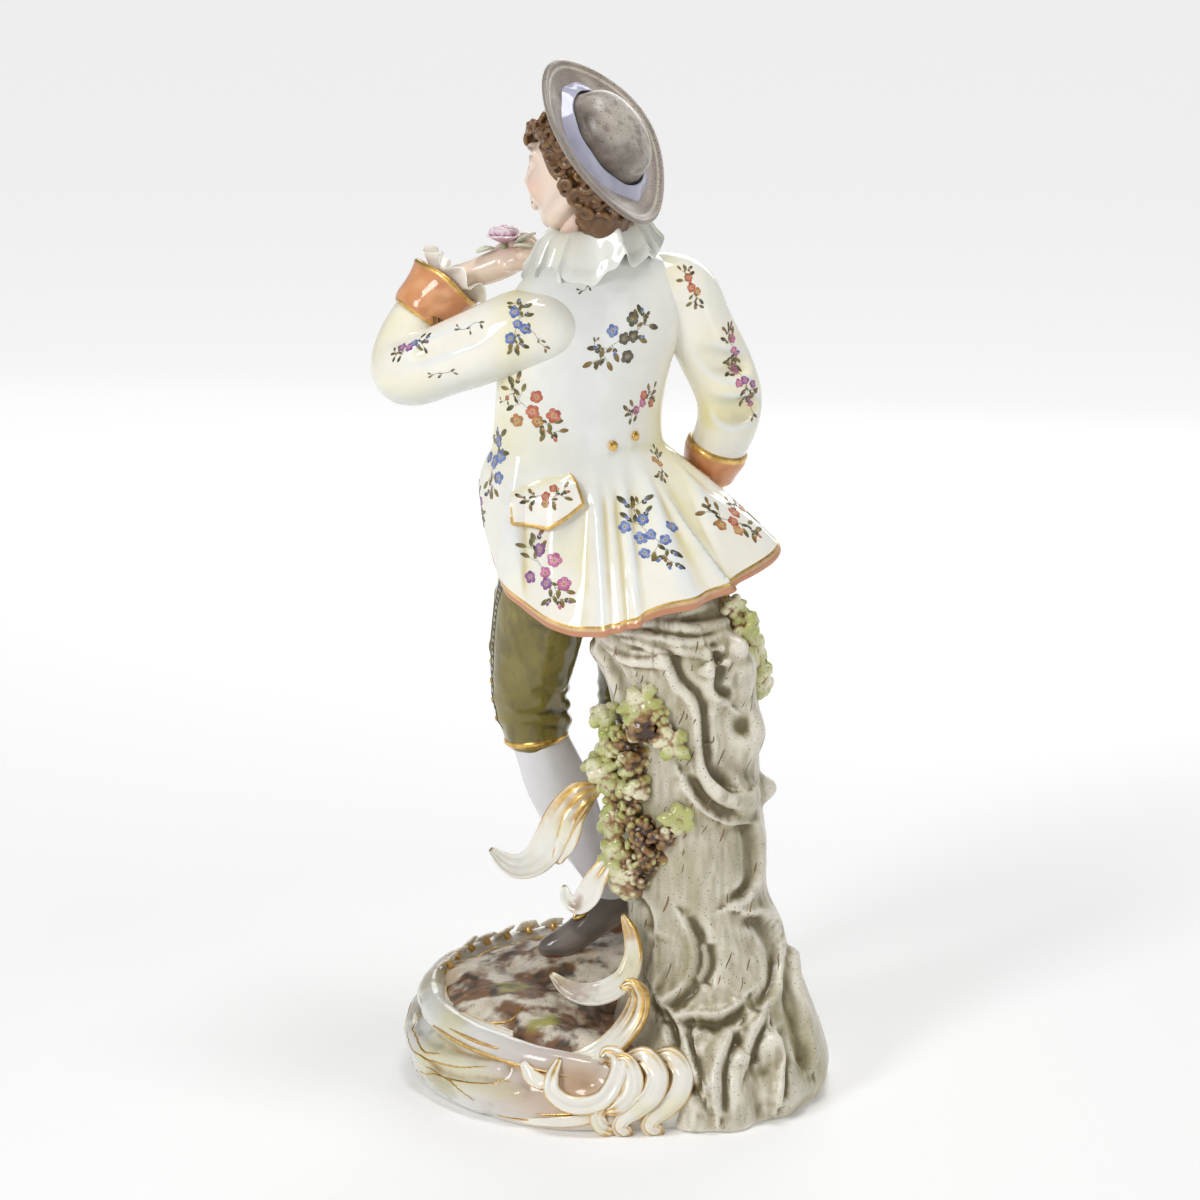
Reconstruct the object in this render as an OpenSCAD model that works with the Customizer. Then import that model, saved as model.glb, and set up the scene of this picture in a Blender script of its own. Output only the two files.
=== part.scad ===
// Porcelain figurine: a gallant in a flowered coat leaning on a tree stump, on a scrolled rococo base.
// Every casting, applied flower and modelled ornament is its own solid, butted or socketed as a
// repairer lutes them together before firing. Figure faces +Y; the stump stands on its -Y, +X side.

/* [Base] */
// Half width of the base across X
base_rx = 85; // [82:0.5:87]
// Half depth of the base along Y
base_ry = 81; // [78:0.5:84]
// Wall thickness of the hollow castings
wall = 5; // [3.5:0.5:6]
// Radius of the firing vent in the underside
vent_r = 6; // [4:0.5:8]
// Outer radius of the foot ring
foot_r = 70; // [66:1:72]

/* [Stump] */
// Height of the stump's sawn top
stump_top = 188; // [184:1:190]
// Radius of the stump at its waist
stump_r = 27; // [25:0.5:28]

/* [Figure] */
// Direction that the chest faces, turned from +Y towards -X
body_turn = 28; // [24:1:32]
// Radius of the neck
neck_r = 8; // [7:0.25:9]
// Thickness of the coat's porcelain sheet
coat_t = 2.5; // [2:0.25:3]
// Scale of the head about its centre
head_scale = 1; // [0.96:0.01:1.02]
// Radius of the small gilt buttons
button_r = 1.9; // [1.5:0.1:2.2]

/* [Hat] */
// Radius of the hat's brim
brim_r = 35; // [32:0.5:36]
// Half length of the hat's oval crown where it meets the brim
crown_r = 21; // [19:0.5:22]
// Height of the crown's dome above the brim's face
crown_h = 12; // [11.5:0.25:13]

/* [Collar] */
// Half width of the neck ruff
ruff_r = 28; // [26:0.5:29]

/* [Hidden] */

gap = 0.15;                                    // film of slip between two butted castings
base_c = [6.5, 0, 0];                          // centre of the base in the frame
e_r = [cos(body_turn), sin(body_turn), 0];     // across the body, towards its right arm
e_f = [-sin(body_turn), cos(body_turn), 0];    // the way the chest faces
head_c = [-8, 2, 366];
face_dir = [-0.867, 0.498, 0];                 // the way the face looks
face_side = [-0.498, -0.867, 0];               // towards the left ear
hat_c = [0.5, -6, 376.5];
hat_n = unit([0.714, -0.5, 0.49]);             // out of the crown
hat_u = unit([-0.49, 0, 0.714]);               // brim axis that points up over the brow
hat_w = cross(hat_n, hat_u);

// Shared shapes --------------------------------------------------------------------------------

function unit(v) = v / norm(v);
function mix(a, b, t) = a * (1 - t) + b * t;

// A value read from [[key, value], ...] at k, straight between its keys.
function between(table, k, i = 0) =
    k <= table[0][0] ? table[0][1]
    : i >= len(table) - 1 ? table[len(table) - 1][1]
    : k <= table[i + 1][0]
        ? mix(table[i][1], table[i + 1][1], (k - table[i][0]) / (table[i + 1][0] - table[i][0]))
        : between(table, k, i + 1);

// An ellipse of n points round c, with half axes ea and eb, and optional waves on its radius.
function ring(c, ea, eb, n, wave = 0, lobes = 0, phase = 0) =
    [for (i = [0:n - 1]) let (t = 360 * i / n) c + (1 + wave * sin(lobes * t + phase)) * (ea * cos(t)
        + eb * sin(t))];

function flat(list) = [for (a = list) for (b = a) b];

// A solid through rings of equal length, capped flat at both ends.
module skin(rings) {
    n = len(rings[0]);
    m = len(rings);
    sides = [for (i = [0:m - 2]) for (j = [0:n - 1]) let (k = (j + 1) % n)
        each [[i * n + j, (i + 1) * n + j, (i + 1) * n + k], [i * n + j, (i + 1) * n + k, i * n + k]]];
    low = [for (j = [0:n - 1]) j];
    high = [for (j = [n - 1:-1:0]) (m - 1) * n + j];
    polyhedron(points = flat(rings), faces = concat([low, high], sides), convexity = 8);
}

// A sheet between two equal grids of points, closed along its four edges.
module slab(front, back) {
    m = len(front);
    n = len(front[0]);
    s = m * n;
    faces = [for (i = [0:m - 2]) for (j = [0:n - 2]) let (a = i * n + j, b = a + 1, c = a + n, d = c + 1)
        each [[a, b, d], [a, d, c], [s + a, s + d, s + b], [s + a, s + c, s + d]]];
    ends = [for (i = [0:m - 2]) let (a = i * n, c = a + n, b = a + n - 1, d = b + n)
        each [[a, c, s + c], [a, s + c, s + a], [b, s + d, d], [b, s + b, s + d]]];
    rims = [for (j = [0:n - 2]) let (a = j, b = j + 1, c = (m - 1) * n + j, d = c + 1)
        each [[a, s + b, b], [a, s + a, s + b], [c, d, s + d], [c, s + d, s + c]]];
    polyhedron(points = concat(flat(front), flat(back)), faces = concat(faces, ends, rims), convexity = 8);
}

// Rounded links through [x, y, z, r] stations.
module chain(stations, fn = 12) {
    for (i = [0:len(stations) - 2]) hull() {
        for (s = [stations[i], stations[i + 1]]) translate([s.x, s.y, s.z]) sphere(r = s[3], $fn = fn);
    }
}

// Joins its children as one mesh, which keeps carved, organic solids closed.
module carved() resize([0, 0, 0]) union() children();

// A spiral of stations round c in the plane of ea and eb, from radius r0 to r1, tapering from t0 to t1.
function spiral(c, ea, eb, from, to, r0, r1, t0, t1, steps) =
    [for (i = [0:steps]) let (f = i / steps, a = mix(from, to, f), r = mix(r0, r1, f))
        concat(c + r * (ea * cos(a) + eb * sin(a)), [mix(t0, t1, f)])];

// A leaf: a bent diamond sheet from root to tip, with its face towards up.
module leaf(root, tip, up, width, thick = 1.8) {
    along = tip - root;
    side = unit(cross(up, along)) * width / 2;
    hull() for (p = [root, tip, root + along * 0.45 + side - up * 0.6,
        root + along * 0.45 - side - up * 0.6,
        root + along * 0.45 + up * 0.8]) translate(p) sphere(r = thick / 2, $fn = 5);
}

// Base -----------------------------------------------------------------------------------------

// Wall profile of the base: [height, share of the half widths].
base_profile = [[0, 0.965], [7, 1], [15, 0.985], [22, 0.93], [26, 0.86], [27, 0.8]];

module base_solid(inset = 0, n = 36) {
    skin([for (p = base_profile) let (k = [base_rx * p[1] - inset, base_ry * p[1] - inset])
        ring(base_c + [0, 0, p[0] - (p[0] > 0 ? inset * 0.8 : 0.01 * inset)], [k.x, 0, 0],
            [0, k.y, 0], n)]);
}

module base_casting() {
    color("ivory") carved() difference() {
        base_solid();
        base_solid(wall);
        stump_cavity();
    }
}

// Disc luted into the underside, standing on its unglazed foot ring.
module base_floor() {
    color("linen") translate(base_c) difference() {
        union() {
            translate([0, 0, 2]) cylinder(r = foot_r + 4, h = 4, $fn = 96);
            cylinder(r = foot_r, h = 3, $fn = 96);
        }
        translate([0, 0, -1]) cylinder(r = foot_r - 8, h = 3, $fn = 96);
        translate([0, 0, -1]) cylinder(r = vent_r, h = 10, $fn = 48);
    }
}

// Mound of rocky ground inside the scrolled rim: [x, y, half width, half depth, top].
mounds = [[-2, 26, 62, 40, 43], [-32, -18, 40, 36, 36], [-50, 12, 22, 26, 38], [14, 44, 44, 26, 42]];

module mound_solid() {
    for (m = mounds) skin([for (p = [[0, 1], [0.45, 0.9], [0.75, 0.66], [0.93, 0.36], [1, 0.1]])
        ring([m[0], m[1], mix(26, m[4], p[0])], [m[2] * p[1], 0, 0], [0, m[3] * p[1], 0], 14)]);
}

module ground_mound() {
    color("rosybrown") carved() difference() {
        mound_solid();
        base_solid();
        root_solid();
        stump_solid();
        translate([0, 0, gap]) shoe_solids();
    }
}

// Stump ----------------------------------------------------------------------------------------

// Stump and root sections: [height, x, y, half width, half depth].
stump_sections = [
    [27, 45, -20, 36, 36], [45, 43, -20, 31, 32], [70, 40, -19, 28.5, 29],
        [100, 36.5, -18, stump_r + 1.5, 27.5],
    [130, 35.3, -18, stump_r + 1.3, 27], [155, 34.5, -18, 28.5, 27], [172, 32, -18, 30, 28.5],
    [stump_top, 24, -18, 31, 28],
    [stump_top + 14, 22, -15, 27, 24.5], [stump_top + 25, 18, -11, 22, 21]
];
root_sections = [[0, 47, -20, 43, 52], [8, 47.5, -19, 45, 54], [22, 47, -19, 42, 50],
    [36, 46, -19, 37.5, 42], [58, 43, -19, 31, 33]];

function section_rings(sections, n, grow = 0, wave = 0) =
    [for (s = sections) ring([s[1], s[2], s[0]], [s[3] + grow, 0, 0], [0, s[4] + grow, 0],
        n, wave, 5, s[0] * 1.3)];

module stump_solid() skin(section_rings(stump_sections, 24, 0, 0.02));
module root_solid() skin(section_rings(root_sections, 24, 0, 0.02));

// Hollow of the trunk, open to the base below it.
module stump_cavity() {
    translate([45, -20, 12]) cylinder(r = 16, h = 30, $fn = 24);
    skin([for (s = stump_sections) if (s[0] < 160)
        ring([s[1], s[2], s[0]], [s[3] - wall - 4, 0, 0], [0, s[4] - wall - 4, 0], 16)]);
}

module tree_stump() {
    color("gainsboro") carved() difference() {
        union() {
            stump_solid();
            // Sawn branch stub and two knots
            chain([[56, -26, 118, 7], [62, -30, 124, 6]]);
            chain([[52, -36, 147, 7], [56, -40, 150, 5]]);
            chain([[30, -44, 78, 7], [27, -48, 70, 5]]);
        }
        stump_cavity();
        base_solid();
    }
}

module stump_root() {
    color("silver") carved() difference() {
        root_solid();
        base_solid();
        stump_solid();
        stump_cavity();
    }
}

// Rococo ornament ------------------------------------------------------------------------------

function rim_point(a, share, z, r) =
    [base_c.x + base_rx * share * cos(a), base_ry * share * sin(a), z, r];

module rim_scroll(from, to, z0, z1, r0, r1, steps = 8) {
    carved() difference() {
        chain([for (i = [0:steps]) let (f = i / steps)
            rim_point(mix(from, to, f), 0.87, mix(z0, z1, f), mix(r0, r1, f))], 10);
        base_solid();
        mound_solid();
    }
}

module rim_scroll_left() color("white") rim_scroll(128, 232, 32, 27, 5, 5.5);
module rim_scroll_front() color("white") rim_scroll(60, 124, 31, 32, 4.5, 5, 6);
module rim_scroll_right() color("white") carved() difference() {
    rim_scroll(18, 56, 30, 31, 3.5, 4.5, 4);
    root_solid();
}

// Near rim that climbs into a volute against the stump's root.
module rim_scroll_near() {
    color("white") carved() difference() {
        union() {
            chain([for (i = [0:4]) let (f = i / 4)
                rim_point(mix(236, 268, f), mix(0.87, 0.84, f), mix(27, 30, f * f), mix(5.5, 4.5, f))], 10);
            chain(concat([[4, -66, 31, 4.5], [12, -60, 38, 4.5], [15, -54, 47, 4.2]],
                spiral([13, -56, 48], [0.7, -0.6, 0], [0, 0, 1], 60, 200, 6, 3, 4, 2.5, 3)), 10);
        }
        base_solid();
        mound_solid();
        root_solid();
    }
}

// Acanthus shell foot: lobes that curl over and run down to the table.
module shell_foot(x, y, side, out, count) {
    for (i = [0:count - 1]) {
        p = [x, y, 0] + side * (i * 9.5);
        chain([concat(p + out * -1 + [0, 0, 32], [4.2]), concat(p + out * 4 + [0, 0, 29], [4.6]),
            concat(p + out * 4.5 + [0, 0, 20], [4.4]), concat(p + out * 2 + [0, 0, 11], [3.4]),
            concat(p + out * 3 + [0, 0, 3.2], [3.2])], 8);
    }
}

module shell_foot_near() {
    color("white") carved() difference() {
        union() {
            shell_foot(14, -76, unit([1, 0.16, 0]), [0.1, -0.35, 0], 3);
            chain([[0, -77, 26, 3.4], [-6, -79, 21, 3.8], [-4, -80, 14, 4], [4, -80, 12, 4],
                [12, -79, 17, 3.6]], 8);
        }
        base_solid();
        root_solid();
        rim_scroll_near_core();
    }
}
// The climbing part of the near rim, kept clear of the shell.
module rim_scroll_near_core() chain([[4, -66, 31, 4.6], [12, -60, 38, 4.6], [15, -54, 47, 4.6]], 10);

module shell_foot_front() {
    color("white") carved() difference() {
        shell_foot(-4, 74, unit([1, -0.05, 0]), [0, 0.6, 0], 3);
        base_solid();
        mound_solid();
        rim_scroll(60, 124, 31, 32, 4.6, 5.1, 6);
    }
}

// C-scroll that rises beside the shoe and leans on the stump.
module curl_by_shoe() {
    color("white") carved() difference() {
        chain([[9, -36, 72, 3.2], [12, -38, 64, 3.8], [12, -41, 54, 4], [6, -44, 46, 4.2],
            [-4, -44, 43, 4.2],
            [-13, -41, 45, 3.6], [-18, -38, 50, 2.6]], 9);
        mound_solid();
        root_solid();
        stump_solid();
        base_solid();
    }
}

// Long leaf that springs from the stump and turns up at its tip.
tendril_line = [[-2, -24, 120, 4.5], [-9, -24, 117, 5], [-16, -22, 108, 5], [-21, -20, 98, 4.6],
    [-28, -18, 90, 4.2],
    [-35, -16, 89, 3.8], [-41, -15, 93, 2.8]];
module stump_tendril() color("white") carved() difference() {
    chain(tendril_line, 9);
    stump_solid();
    foliage_middle_solid();
}
module small_tendril() color("white") carved() difference() {
    chain([[4, -34, 96, 3.6], [-2, -34, 88, 4.4], [-5, -33, 80, 4.4], [-10, -32, 78, 3],
        [-12, -32, 82, 2.2]], 9);
    stump_solid();
    foliage_lower_solid();
}

// Little blossoms along the front rim.
module rim_garland() {
    color("wheat") carved() difference() {
        for (i = [0:6]) let (a = 112 + i * 9.5) translate([base_c.x + base_rx * 0.82 * cos(a),
            base_ry * 0.82 * sin(a), 37])
            scale([1, 1, 0.7]) sphere(r = 5.4 + 0.8 * sin(i * 130), $fn = 8);
        mound_solid();
        for (s = [[60, 124, 31, 32, 4.5, 5, 6], [128, 232, 32, 27, 5, 5.5, 8]])
            rim_scroll(s[0], s[1], s[2], s[3], s[4], s[5], s[6]);
        base_solid();
    }
}

// A clump of grapes and leaves: berries on a golden-angle spread inside a box round c.
module clump(c, size, count, r) {
    for (i = [0:count - 1]) let (a = i * 137.5, f = (i + 0.5) / count)
        translate(c + [size.x * sqrt(f) * cos(a) / 2, size.y * sin(i * 67) / 2,
            size.z * sqrt(f) * sin(a) / 2])
            sphere(r = r * (1 + 0.25 * sin(i * 97)), $fn = 8);
}

module foliage_top_solid() {
    clump([19, -44.5, 163], [14, 8, 16], 6, 4.4);
    leaf([19, -45, 167], [21, -48, 178], [0, -1, 0], 9);
    leaf([24, -46, 163], [36, -47, 156], [0, -1, 0], 9);
}
module foliage_middle_solid() {
    clump([7, -38, 140], [17, 11, 34], 9, 5.8);
    leaf([0, -42, 132], [-3, -46, 122], [0, -1, 0], 9);
}
module foliage_lower_solid() {
    clump([13, -41, 104], [22, 10, 32], 10, 6);
    leaf([24, -46, 112], [37, -45, 116], [0, -1, 0], 8);
}
module foliage_right_solid() {
    clump([56, -12, 182], [11, 11, 26], 6, 5.2);
    leaf([59, -15, 172], [62, -16, 158], [0.6, -0.8, 0], 8);
}
module foliage_node() {
    color("olivedrab") carved() difference() {
        children();
        stump_solid();
    }
}
module foliage_top() foliage_node() foliage_top_solid();
module foliage_middle() foliage_node() foliage_middle_solid();
module foliage_lower() foliage_node() foliage_lower_solid();
module foliage_right() foliage_node() foliage_right_solid();

// Legs -----------------------------------------------------------------------------------------

left_leg = [[-17, 3, 222, 18], [-22, 8, 196, 18.5], [-26, 14, 172, 16.5], [-29, 20, 150, 13.5],
    [-27, 22, 140, 12.5], [-26, 22, 134, 11.5]];
left_calf = [[-25, 22, 131, 11.2], [-17, 22, 112, 13], [-9, 21, 94, 10.5], [-2, 20, 78, 7],
    [4, 20, 68, 6.2]];
right_leg = [[13, 16, 222, 17], [14, 26, 196, 16.5], [14, 34, 170, 15], [13, 40, 148, 12.5],
    [13, 42, 134, 11.5]];
right_calf = [[13, 42, 131, 11.2], [14, 42, 112, 12.5], [14, 43, 92, 9.5], [14, 44, 72, 6.5],
    [13, 45, 60, 6.2]];
left_foot = [[9, 20, 63, 6.4], [2, 19, 58, 6.8], [-8, 16, 51, 6.4], [-16, 14, 46.5, 5.6],
    [-21, 13, 44.5, 4.4]];
right_foot = [[15, 42, 51, 6.6], [12, 49, 50, 6.8], [8, 57, 47.5, 6.4], [4, 65, 46, 5.4],
    [2, 69, 45.5, 4.4]];

module shoe_solids() {
    chain(left_foot);
    chain(right_foot);
    translate([17, 38, 40]) cylinder(r1 = 3.6, r2 = 5, h = 9, $fn = 16);
}

knee_z = 132.5;                                // height of the seam where breeches meet stocking
module breeches_leg(line) color("darkkhaki") carved() difference() {
    chain(line, 16);
    seat_solid();
    stump_solid();
    translate([line[4].x, line[4].y, knee_z - 30]) cylinder(r = 26, h = 30, $fn = 16);
}
module left_breeches() breeches_leg(left_leg);
module right_breeches() breeches_leg(right_leg);
module stocking(calf, foot) color("white") carved() difference() {
    chain(calf, 16);
    translate([calf[0].x, calf[0].y, knee_z]) cylinder(r = 26, h = 28, $fn = 16);
    chain(foot);
}
module left_stocking() stocking(left_calf, left_foot);
module right_stocking() stocking(right_calf, right_foot);
module knee_bands() color("goldenrod") for (a = [left_leg[5], right_leg[4]])
    translate([a.x, a.y, knee_z - 1.3]) difference() {
        cylinder(r = 12.6, h = 2.6, $fn = 48);
        translate([0, 0, -1]) cylinder(r = 11.6, h = 5, $fn = 48);
    }
module left_shoe() color("dimgray") carved() chain(left_foot);
module right_shoe() color("dimgray") carved() {
    chain(right_foot);
    translate([17, 38, 40]) cylinder(r1 = 3.6, r2 = 5, h = 9, $fn = 16);
}
module shoe_buckles() color("gold") {
    for (b = [[-8, 14.6, 58.4, [0.25, 0, 1]], [7.4, 58.4, 54.8, [-0.1, 0.25, 1]]])
        translate([b[0], b[1], b[2]]) rotate([0, 10, 0]) difference() {
            cube([7, 6, 1.6], center = true);
            cube([4.4, 3.4, 3], center = true);
        }
}
// Hips of the breeches, under the coat, resting on the stump's front edge.
module seat_solid() skin([for (s = [[212, 27, 19, 0], [222, 31, 21, 0], [236, 31, 21, 0],
    [250, 29, 19.5, 0],
        [256, 28, 18.5, 0]])
    ring([-3, 8, 0] + [0, 0, s[0]], e_r * s[1], e_f * s[2], 20)]);
module breeches_seat() color("darkkhaki") carved() difference() {
    seat_solid();
    stump_solid();
}

// Torso ----------------------------------------------------------------------------------------

// Outside of the coat's body: [height, centre x, centre y, half width, half depth].
torso_sections = [[256, -8, 0, 35.5, 21], [262, -8, 0, 35.5, 21], [275, -7.5, 1, 35.5, 21.5],
    [287, -6, 2, 36.5, 22],
    [300, -3, 2, 38.5, 21], [312, 0, 2, 39, 19], [320, 1, 2, 37.5, 17], [326, 1, 2, 32, 15],
        [331, 1, 2, 24, 13],
    [334, 0, 2, 15, 11]];

function torso_rings(shrink, n) = [for (s = torso_sections)
    ring([s[1], s[2], s[0]], e_r * (s[3] - shrink), e_f * (s[4] - shrink), n)];

module torso_solid(shrink = 0) skin(torso_rings(shrink, 24));

module waistcoat() color("beige") carved() difference() {
    torso_solid(coat_t + gap);
    neck_socket();
}
module neck_socket() translate([-3, 1, 322]) cylinder(r = neck_r - 2, h = 20, $fn = 48);

module waistcoat_buttons() color("gold") for (i = [0:5])
    translate([-6, 0, 264 + i * 9] + e_f * (18 + 0.9 * i * (i < 4 ? 1 : 0) - (i > 3 ? 0.2 * i : 0)))
        translate(e_f * 2) sphere(r = 1.5, $fn = 24);

module jabot() color("white") carved() difference() {
    for (k = [[0, 318, 8], [2, 308, 6.5], [-2, 300, 5]])
        hull() for (s = [-1, 1]) translate([-3, 2, k[1]] + e_f * 17 + e_r * (s * k[2] * 0.6))
            sphere(r = 3.6, $fn = 12);
    torso_solid(0);
}

// Coat sheet round the body. turn 0 is the middle of the back, -90 the left side, 90 the right side.
function around(turn) = e_r * sin(turn) - e_f * cos(turn);
function torso_at(turn, z, shrink) =
    let (c = between([for (s = torso_sections) [s[0], [s[1], s[2], s[3], s[4]]]], z))
    [c[0], c[1], z] + e_r * ((c[2] - shrink) * sin(turn)) - e_f * ((c[3] - shrink) * cos(turn));

module coat_back() color("ivory") carved() difference() {
    torso_solid();
    torso_solid(coat_t);
    // Open at the front, where the two front panels hang
    translate([-5, 2, 250]) linear_extrude(90)
        polygon([[0, 0], each [for (a = [-83, -60, -30, 0, 30, 60, 90])
            let (v = e_f * cos(a) + e_r * sin(a)) [v.x, v.y] * 60]]);
    translate([-3, 1, 318]) cylinder(r = 14, h = 30, $fn = 20);
}

// Hem of the skirt: [turn, [x, y, z]].
hem = [[-125, [-49, 0, 238]], [-100, [-46, -14, 222]], [-75, [-38, -27, 207]], [-50, [-25.5, -38, 198.5]],
    [-25, [-10, -47, 193.5]], [0, [8, -52, 197]], [25, [26, -51, 203.5]], [45, [42, -42, 207]],
        [65, [56, -28, 211]],
    [90, [69, -4, 218]], [112, [60, 16, 224]], [125, [46, 27, 230]]];

// A point of the skirt: f runs from 0 at the waist to 1 at the hem, with pleats that open downwards.
function skirt_at(turn, f, inward) =
    let (top = torso_at(turn, 257, 0), low = between(hem, turn), out = around(turn),
        pleat = 2.2 * f * (1 - abs(turn) / 180) * sin(turn * 7 + 40))
    mix(top, low, f) + out * (pleat - inward + 5 * sin(180 * f) * (abs(turn) > 60 ? 0.6 : 0));

module skirt_sheet(turns) {
    fs = [0, 0.2, 0.4, 0.6, 0.8, 1];
    slab([for (f = fs) [for (t = turns) skirt_at(t, f, 0) - [0, 0, f < 0.01 ? 1.2 : 0]]],
        [for (f = fs) [for (t = turns) skirt_at(t, f, coat_t) - [0, 0, f < 0.01 ? 1.2 : 0]]]);
}
module coat_skirt() color("ivory") carved() difference() {
    skirt_sheet([for (t = [-100:5.135:90.1]) t]);
    stump_solid();
    seat_solid();
}

// Front panel that hangs beside the waistcoat, from the shoulder to the hem.
// A point of a front panel: rows over 100 are heights on the chest, rows up to 1 are shares of the
// skirt. flare
// lets the open edge of the left panel stand off the body.
function panel_at(row, turn, inward) =
    let (flare = turn < 0
        ? 3.5 * (row > 100 ? max(0, (292 - row) / 30) : 1 - row) * min(1, (-turn - 100) / 25) : 0)
    (row > 100 ? torso_at(turn, row, inward) : skirt_at(turn, row, inward)) + e_r * -flare;
module front_panel(turns) {
    rows = [324, 314, 304, 292, 276, 262, 0.06, 0.35, 0.7, 1];
    slab([for (r = rows) [for (t = turns) panel_at(r, t, -0.4)]],
        [for (r = rows) [for (t = turns) panel_at(r, t, coat_t)]]);
}
module coat_left_front() color("ivory") carved() difference() {
    front_panel([-152, -144, -136, -128, -121, -114, -107, -101]);
    seat_solid();
    chain(left_leg, 20);
}
module coat_right_front() color("ivory") carved() difference() {
    front_panel([152, 142, 132, 122, 112, 101, 91]);
    seat_solid();
    chain(right_leg, 20);
}

module back_buttons() color("gold") for (t = [5.5, 23.5])
    translate(torso_at(t, 259 + t * 0.15, -0.9)) sphere(r = button_r, $fn = 32);

module pocket_flaps() color("ivory") for (side = [[-61, 38], [101, 27]]) carved() {
    a = side[0];
    w = side[1];
    slab([for (f = [0.2, 0.41]) [for (t = [a, a + w / 2, a + w]) skirt_at(t,
        f + (t == a + w / 2 ? 0.05 : 0), -2)]],
        [for (f = [0.2, 0.41]) [for (t = [a, a + w / 2, a + w]) skirt_at(t,
            f + (t == a + w / 2 ? 0.05 : 0), -0.4)]]);
}

// Arms -----------------------------------------------------------------------------------------

left_arm = [[-27, -14, 305, 15.5], [-42, -13, 300, 14.8], [-60, -9, 292.5, 13.4], [-73, -5, 287, 13],
    [-77, -1, 286, 13]];
left_fore = [[-77, 4, 289, 12], [-75, 10, 297, 11.5], [-71, 14.5, 306, 11]];
left_cuff_line = [[-70, 15, 307.5, 11.8], [-61.5, 17, 317.5, 12.8]];
left_frill_line = [[-60.6, 17.2, 318.6, 11], [-57.5, 18, 322.2, 12]];
left_palm = [[-56, 18, 321.5, 5.4], [-46, 18, 324, 5.8], [-37, 17, 327.5, 6.2], [-31, 15, 329, 5]];
right_arm = [[32, 16, 315.5, 13.5], [40, 18.5, 300, 13.2], [48, 21, 284, 13.2], [52, 22, 273, 13]];
right_fore = [[52, 23, 268, 12], [50, 26, 259, 11.2], [48, 28, 254, 10.6]];
right_cuff_line = [[46.5, 29, 249, 12], [43, 32, 239, 12]];
right_frill_line = [[41.5, 33, 235, 8.5], [40, 34, 231, 9.5]];
right_palm = [[40, 34, 234, 5.4], [35, 37, 229, 6], [28, 38, 226, 5.6], [23, 37, 224, 4]];

module left_upper_sleeve() color("ivory") carved() difference() {
    chain(left_arm, 14);
    torso_solid(-0.6);
    chain(left_fore, 12);
}
module left_forearm() color("ivory") carved() difference() {
    chain(left_fore, 12);
    past(left_cuff_line);
}
module right_upper_sleeve() color("ivory") carved() difference() {
    chain(right_arm, 14);
    torso_solid(-0.6);
    chain(right_fore, 12);
    coat_right_sheet();
}
module right_forearm() color("ivory") carved() difference() {
    chain(right_fore, 12);
    past(right_cuff_line);
    coat_right_sheet();
}
module coat_right_sheet() skirt_sheet([for (t = [40:5:125]) t]);

// Half space beyond the first station of a line, along the line.
module past(line) along(line, 0) cylinder(r = 22, h = 30, $fn = 16);
// Places its children at the first station of a line, +Z along the line, lift further on.
module along(line, lift = 0) {
    d = unit([for (i = [0:2]) line[1][i] - line[0][i]]);
    translate([for (i = [0:2]) line[0][i]]) rotate([0, acos(d.z), atan2(d.y, d.x)]) translate([0, 0,
        lift]) children();
}
function span(line) = norm([for (i = [0:2]) line[1][i] - line[0][i]]);

// Turned-back cuff: a flared ring with a bore for the wrist.
module cuff(line, r_hole) along(line) difference() {
    cylinder(r1 = line[0][3], r2 = line[1][3] + 1, h = span(line), $fn = 48);
    translate([0, 0, -1]) cylinder(r = r_hole, h = span(line) + 2, $fn = 48);
}
module left_cuff() color("sandybrown") cuff(left_cuff_line, 6.6);
module right_cuff() color("sandybrown") cuff(right_cuff_line, 6.6);
// Wrist frill: a wavy funnel.
module frill(line, r_hole, lobes) along(line, 0.6) carved() difference() {
    skin([for (f = [0, 0.5, 1]) ring([0, 0, f * 4.5], [8 + 4 * f, 0, 0], [0, 8 + 4 * f, 0],
        28, 0.05 * f, lobes)]);
    translate([0, 0, -1]) cylinder(r = r_hole, h = 8, $fn = 16);
}
module left_wrist_frill() color("whitesmoke") frill(left_frill_line, 6.6, 5);
module right_wrist_frill() color("whitesmoke") frill(right_frill_line, 6.6, 5);

// Hand with a round wrist spigot that seats in the cuff's bore.
module hand(palm, fingers, line) color("bisque") {
    carved() {
        chain(palm, 10);
        for (f = fingers) chain(f, 6);
        along(line, 1) cylinder(r = 5.4, h = span(line) + 3, $fn = 20);
    }
}
module left_hand() difference() {
    hand(left_palm, [for (i = [0:3]) [[-33, 19 - i * 3.2, 329 - i * 0.8, 2.4],
        [-27, 21 - i * 3, 331 - i, 2.2],
        [-28, 20 - i * 3, 336 - i, 2]]], left_cuff_line);
    rose_solid();
}
module right_hand() difference() {
    hand(right_palm, [for (i = [0:3]) [[27, 40 - i * 1.5, 228 - i * 2.6, 2.4],
        [20, 39 - i * 1.5, 226 - i * 2.6, 2.2],
        [15, 36 - i * 1.5, 224 - i * 2.6, 2]]], right_cuff_line);
    coat_right_sheet();
}

// Flower in the raised hand --------------------------------------------------------------------

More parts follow.
